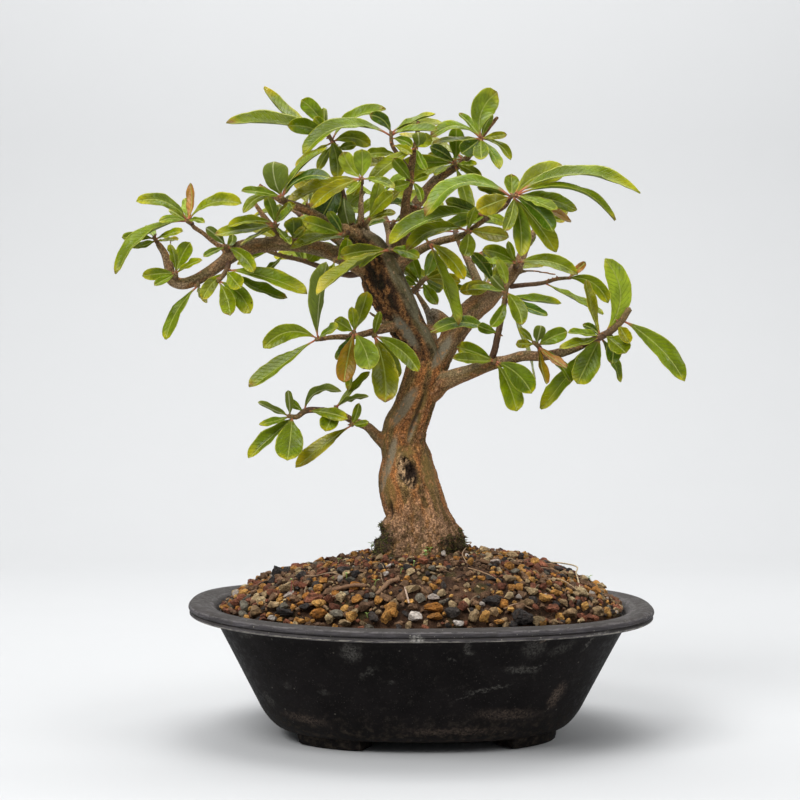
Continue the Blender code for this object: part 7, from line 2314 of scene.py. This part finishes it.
def make_moss_tufts(looks, points, quads, share):
    """Short moss leaves on the mossy parts of the roots and on damp earth beside them."""
    draw = random.Random(SEED + 4)
    out = outward(points, quads)
    mossy = [index for index in np.nonzero(share > 0.35)[0] if points[index, 2] > 84]
    tufts = Gather()
    for number in range(looks.tufts):
        if number % 4 and mossy:
            index = draw.choice(mossy)
            spot = points[index]
            normal = out[index]
        else:
            turn = draw.uniform(0, 2 * math.pi)
            away = draw.uniform(21, 40)
            x, y = 2 + away * math.cos(turn), away * 0.85 * math.sin(turn)
            if noise_at(np.array([[x, y, 0.0]]), 8.0, 71)[0] < 0.52:
                continue
            normal = mound_normal(x, y)
            spot = surface_spot(x, y, normal, -0.6)
        tall = draw.uniform(0.7, 1.9)
        wide = draw.uniform(0.16, 0.30)
        lean = unit(normal + 0.55 * any_way(draw))
        first = unit(np.cross(lean, (0.3, 0.8, 0.52)))
        second = np.cross(lean, first)
        ways = [first * math.cos(turn) + second * math.sin(turn) for turn in CORNERS]
        ring = [spot - normal * 0.25 + wide * way for way in ways]
        middle = [spot + lean * tall * 0.5 + 0.8 * wide * way for way in ways]
        tip = spot + lean * tall + 0.3 * tall * np.array((0, 0, -0.4)) + 0.25 * tall * first
        faces = [(0, 2, 1)]
        for step in range(3):
            beside = (step + 1) % 3
            faces += [(step, beside, 3 + beside, 3 + step), (3 + step, 3 + beside, 6)]
        tone = blended((0.040, 0.038, 0.010), (0.17, 0.16, 0.030), draw.random() ** 2.2)
        # Each moss leaf is darker at its base, among the others, as painted shade, and lighter at its tip as
        # painted light
        colour = np.array([tone * 0.4] * 3 + [tone * 0.9] * 3 + [tone * 1.3])
        tufts.add(np.array(ring + middle + [tip]), faces, colour)
    return tufts.mesh("moss")


def make_plain_finish(name, roughness, grain_size, contrast, depth, glow=0.0):
    """A finish that takes the point colours and breaks them up with fine noise."""
    made = Finish(name, roughness, 0.35)
    grain = made.noise(grain_size, 4.0, 0.6)
    # Painted shade in the hollows of the grain and painted light on its tops
    made.colour(made.grained(grain, 0.3, 0.7, (1 - contrast,) * 3, (1 + contrast,) * 3)[0])
    made.rough(made.step(grain, 0.3, 0.7, roughness - 0.06, roughness + 0.06))
    made.bump(grain, depth)
    if glow:
        made.glow(glow, (0.9, 1.0, 0.3), 0.001)
    return made.material


# The floor in metres: half its width, where it starts and where it bends up, the bend's radius, its top
FLOOR_HALF_WIDTH = 3.2
FLOOR_FRONT = -2.2
FLOOR_BEND = 0.75
FLOOR_RADIUS = 0.45
FLOOR_HIGH = 2.6
BEND_STEPS = 12


def make_floor(looks):
    """A pale floor that curves up behind the plant."""
    rows = [(FLOOR_FRONT, 0.0), (FLOOR_BEND, 0.0)]
    for step in range(1, BEND_STEPS + 1):
        turn = math.radians(90 * step / BEND_STEPS)
        rows.append((FLOOR_BEND + FLOOR_RADIUS * math.sin(turn), FLOOR_RADIUS * (1 - math.cos(turn))))
    rows.append((FLOOR_BEND + FLOOR_RADIUS, FLOOR_HIGH))
    points = [(across, back, POT_LOW.z + up) for back, up in rows
              for across in (-FLOOR_HALF_WIDTH, FLOOR_HALF_WIDTH)]
    faces = [(2 * row, 2 * row + 1, 2 * row + 3, 2 * row + 2) for row in range(len(rows) - 1)]
    mesh = bpy.data.meshes.new("floor")
    mesh.from_pydata(points, [], faces)
    mesh.shade_smooth()
    paper = Finish("floor_paper", 0.9, 0.2)
    paper.colour(paper.mix(paper.noise(60, 3.0), dimmed(looks.floor, 0.985), tuple(looks.floor)))
    mesh.materials.append(paper.material)
    floor = set_down("floor", mesh)


# The lights in metres from the pot: name, place, size, power as a share of the key light's, and target
TREE_MIDDLE = (0, 0, 0.18)
LIGHTS = (("key", (-0.70, -0.85, 1.25), (0.9, 0.8), 1.0, TREE_MIDDLE),
          ("fill", (1.2, -0.7, 0.9), (0.8, 0.8), 0.30, TREE_MIDDLE),
          ("top", (0.1, 0.1, 1.4), (1.1, 0.9), 0.50, TREE_MIDDLE),
          ("backdrop_light", (0, 0.45, 1.5), (2.2, 0.4), 0.62, (0, 1.15, 0.35)))


def add_light(name, place, size, power, target):
    """A soft square light aimed at a point."""
    light = bpy.data.lights.new(name, "AREA")
    light.shape = "RECTANGLE"
    light.size, light.size_y = size
    light.energy = power
    lamp = set_down(name, light)
    lamp.location = place
    lamp.rotation_euler = (Vector(target) - Vector(place)).to_track_quat("-Z", "Y").to_euler()


def add_camera():
    """The camera of the photograph: an arm's length in front, a little above the middle."""
    camera = bpy.data.cameras.new("camera")
    camera.lens = LENS
    camera.sensor_width = SENSOR
    made = set_down("camera", camera)
    made.location = MIDDLE + Vector((EYE_RIGHT, -EYE_AWAY, EYE_HEIGHT)) * MM
    made.rotation_euler = (math.radians(90 - EYE_DIPS), 0.0, 0.0)
    bpy.context.scene.camera = made


def set_world(strength):
    """An even, slightly cool sky light."""
    world = bpy.data.worlds.new("studio")
    world.use_nodes = True
    background = world.node_tree.nodes["Background"]
    background.inputs["Color"].default_value = (0.93, 0.965, 1.0, 1.0)
    background.inputs["Strength"].default_value = strength
    bpy.context.scene.world = world
    bpy.context.scene.view_settings.view_transform = "Standard"


class PotLooks(bpy.types.PropertyGroup):
    """The moulded pot."""
    wall: FloatVectorProperty(name="Wall", description="Colour of the pot's wall", subtype="COLOR",
                              size=3, min=0.0, max=1.0, default=(0.0062, 0.0052, 0.0052))
    rim: FloatVectorProperty(name="Rim", description="Colour of the worn rim", subtype="COLOR",
                             size=3, min=0.0, max=1.0, default=(0.058, 0.053, 0.056))
    dust: FloatVectorProperty(name="Dust", description="Colour of dust and specks", subtype="COLOR",
                              size=3, min=0.0, max=1.0, default=(0.042, 0.038, 0.033))
    warp: FloatProperty(name="Warp", description="How much higher the rim stands at its left end",
                        unit="LENGTH", min=0.0, max=0.005, default=0.00125)


class SoilLooks(bpy.types.PropertyGroup):
    """The earth and the gravel on it."""
    earth: FloatVectorProperty(name="Earth", description="Colour of the damp earth", subtype="COLOR",
                               size=3, min=0.0, max=1.0, default=(0.066, 0.036, 0.021))
    bed: FloatProperty(name="Bed", description="How far the earth lies below the tops of the gravel",
                       unit="LENGTH", min=0.0, max=0.005, default=0.0019)
    packing: FloatProperty(name="Packing", description="How close stones may lie, as a share of their sizes",
                           subtype="FACTOR", min=0.5, max=1.2, default=0.66)
    crumbs: IntProperty(name="Crumbs", description="How many crumbs lie between the stones",
                        min=0, max=8000, default=2000)
    straws: IntProperty(name="Rootlets", description="How many loose rootlets lie about",
                        min=0, max=200, default=46)


class WoodLooks(bpy.types.PropertyGroup):
    """The trunk and the branches."""
    grain: FloatProperty(name="Grain", description="Size of the squares that the bark is modelled in",
                         unit="LENGTH", min=0.0004, max=0.003, default=0.00074)
    tufts: IntProperty(name="Moss leaves", description="How many moss leaves grow on and by the roots",
                       min=0, max=8000, default=1900)


class FoliageLooks(bpy.types.PropertyGroup):
    """The leafy sprays."""
    thickness: FloatProperty(name="Thickness", description="Thickness of a blade beside its rib",
                             unit="LENGTH", min=0.0001, max=0.001, default=0.00034)
    buckle: FloatProperty(name="Buckle", description="How far the blades buckle between their veins",
                          unit="LENGTH", min=0.0, max=0.002, default=0.00075)
    wave: FloatProperty(name="Wave", description="How far the margins of the blades wave",
                        unit="LENGTH", min=0.0, max=0.002, default=0.00062)
    gloss: FloatProperty(name="Roughness", description="Roughness of the upper side of the blades",
                         subtype="FACTOR", min=0.0, max=1.0, default=0.32)
    veins: FloatProperty(name="Veins", description="How clearly the side veins show",
                         subtype="FACTOR", min=0.0, max=1.0, default=0.30)
    depth: FloatProperty(name="Translucency", description="How far light spreads inside the blades",
                         subtype="FACTOR", min=0.0, max=1.0, default=0.16)


class StageLooks(bpy.types.PropertyGroup):
    """The floor and the lights."""
    floor: FloatVectorProperty(name="Floor", description="Colour of the floor and the backdrop",
                               subtype="COLOR", size=3, min=0.0, max=1.0, default=(0.60, 0.605, 0.61))
    sky: FloatProperty(name="Sky", description="Strength of the even light from all round",
                       min=0.0, max=4.0, default=0.22)
    key: FloatProperty(name="Key", description="Power of the large light at the front left, in watts",
                       min=0.0, max=500.0, default=20.0)


class BONSAI_OT_pot(bpy.types.Operator):
    """Make the moulded pot with its worn rim"""
    bl_idname = "bonsai.make_pot"
    bl_label = "Make pot"

    def execute(self, context):
        looks = context.scene.pot_looks
        pot = loose("moulded_pot", *closed_rings(bowl_rings(looks.warp / MM)))
        feet = [loose("foot", *foot_block(side, front)) for side in (-1, 1) for front in (-1, 1)]
        boolean(pot, feet, "UNION")
        drains = []
        for side in (-1, 1):
            turns = [2 * math.pi * step / DRAIN_SIDES for step in range(DRAIN_SIDES)]
            rings = [[(side * DRAIN_APART / 2 + math.cos(turn) * DRAIN_WIDTH / 2,
                       math.sin(turn) * DRAIN_WIDTH / 2, height) for turn in turns]
                     for height in (0.0, FLOOR_TOP + 6)]
            drains.append(loose("drain", *closed_rings(rings)))
        boolean(pot, drains, "DIFFERENCE")
        mesh = pot.data
        bpy.data.objects.remove(pot)
        mesh.materials.clear()
        add_piece("moulded_pot", mesh, [make_pot_finish(looks)], ["pot"])
        mesh.set_sharp_from_angle(angle=math.radians(SHARP_FROM))
        return {"FINISHED"}


class BONSAI_OT_soil(bpy.types.Operator):
    """Make the earth with its crumbs"""
    bl_idname = "bonsai.make_soil"
    bl_label = "Make earth"

    def execute(self, context):
        looks = context.scene.soil_looks
        earth = make_earth_finish()
        add_piece("earth_bed", make_bed(looks), [earth], ["soil"])
        add_piece("crumbs", make_crumbs(looks), [earth])
        return {"FINISHED"}


class BONSAI_OT_gravel(bpy.types.Operator):
    """Strew the stones over the mound, one piece for each kind"""
    bl_idname = "bonsai.make_gravel"
    bl_label = "Make gravel"

    def execute(self, context):
        gravel = make_stones(context.scene.soil_looks)
        for kind in KINDS:
            mesh = gravel.kinds[kind].mesh("gravel_" + kind)
            add_piece("gravel_" + kind, mesh, [make_stone_finish(kind)])
            mesh.shade_flat()
        return {"FINISHED"}


class BONSAI_OT_wood(bpy.types.Operator):
    """Make the trunk and the branches with their bark, and the moss at the roots"""
    bl_idname = "bonsai.make_wood"
    bl_label = "Make wood"

    def execute(self, context):
        looks = context.scene.wood_looks
        lines = [wood_line(rows) for rows in BRANCHES.values()]
        points, quads, edges = fused(*rough_wood(lines), looks.grain)
        points = relaxed(points, edges, SMOOTHING)
        points, colours, moss, calm = shape_bark(points, quads, lines)
        mesh = make_mesh("tree_wood", points, quads, colours, {"bark_calm": calm})
        add_piece("tree_wood", mesh, [make_bark_finish()], ["wood"])
        tufts = make_moss_tufts(looks, points, quads, moss)
        add_piece("moss", tufts, [make_plain_finish("moss_green", 0.8, 1.0, 0.3, 0.05, 0.1)])
        return {"FINISHED"}


class BONSAI_OT_foliage(bpy.types.Operator):
    """Make every spray: its stem with buds, and its leaves"""
    bl_idname = "bonsai.make_foliage"
    bl_label = "Make foliage"

    def execute(self, context):
        looks = context.scene.foliage_looks
        finishes = [make_leaf_finish(looks), make_twig_finish()]
        tree = grow()
        for number, (spray, stem) in enumerate(tree.stems.items()):
            draw = random.Random(SEED * 100 + number)
            gather = Gather()
            add_twig(gather, stem, number)
            add_buds(gather, stem, draw)
            for row in tree.leaves[spray]:
                gather.add(*fine_leaf(row, draw, looks))
            add_piece(spray + "_leaves", gather.mesh(spray + "_leaves"), finishes, [spray])
        return {"FINISHED"}


class BONSAI_OT_small_growth(bpy.types.Operator):
    """Make the seedlings, the dry stalks and the rootlets on the earth"""
    bl_idname = "bonsai.make_small_growth"
    bl_label = "Make seedlings and straw"

    def execute(self, context):
        looks = context.scene.soil_looks
        green = make_plain_finish("seedling_green", 0.45, 0.8, 0.15, 0.06, 0.2)
        add_piece("seedlings", make_seedlings(), [green])
        straw = make_plain_finish("straw", 0.8, 0.6, 0.35, 0.15)
        add_piece("straws", make_straws(looks), [straw])
        return {"FINISHED"}


class BONSAI_OT_stage(bpy.types.Operator):
    """Set the camera, the pale floor and the soft lights"""
    bl_idname = "bonsai.make_stage"
    bl_label = "Make stage"

    def execute(self, context):
        looks = context.scene.stage_looks
        add_camera()
        make_floor(looks)
        set_world(looks.sky)
        for name, place, size, share, target in LIGHTS:
            add_light(name, MIDDLE + Vector(place), size, looks.key * share, MIDDLE + Vector(target))
        return {"FINISHED"}


STEPS = (BONSAI_OT_stage, BONSAI_OT_pot, BONSAI_OT_soil, BONSAI_OT_gravel, BONSAI_OT_wood,
         BONSAI_OT_foliage, BONSAI_OT_small_growth)
LOOKS = {"pot_looks": PotLooks, "soil_looks": SoilLooks, "wood_looks": WoodLooks,
         "foliage_looks": FoliageLooks, "stage_looks": StageLooks}


class BONSAI_PT_panel(bpy.types.Panel):
    """The pieces of the bonsai and their looks"""
    bl_label = "Pomegranate bonsai"
    bl_idname = "BONSAI_PT_panel"
    bl_space_type = "VIEW_3D"
    bl_region_type = "UI"
    bl_category = "Bonsai"

    def draw(self, context):
        layout = self.layout
        for step in STEPS:
            layout.operator(step.bl_idname)
        for name, group in LOOKS.items():
            box = layout.box()
            box.label(text=group.__doc__)
            for key in group.__annotations__:
                box.prop(getattr(context.scene, name), key)


def register():
    """Make the looks, the operators and the panel known."""
    for name, group in LOOKS.items():
        bpy.utils.register_class(group)
        setattr(bpy.types.Scene, name, PointerProperty(type=group))
    for step in STEPS:
        bpy.utils.register_class(step)
    bpy.utils.register_class(BONSAI_PT_panel)


def unregister():
    """Take them away again."""
    bpy.utils.unregister_class(BONSAI_PT_panel)
    for step in reversed(STEPS):
        bpy.utils.unregister_class(step)
    for name, group in LOOKS.items():
        delattr(bpy.types.Scene, name)
        bpy.utils.unregister_class(group)


def main():
    """Build the whole scene, one operator after another."""
    register()
    bpy.ops.bonsai.make_stage()
    bpy.ops.bonsai.make_pot()
    bpy.ops.bonsai.make_soil()
    bpy.ops.bonsai.make_gravel()
    bpy.ops.bonsai.make_wood()
    bpy.ops.bonsai.make_foliage()
    bpy.ops.bonsai.make_small_growth()


if __name__ == "__main__":
    main()
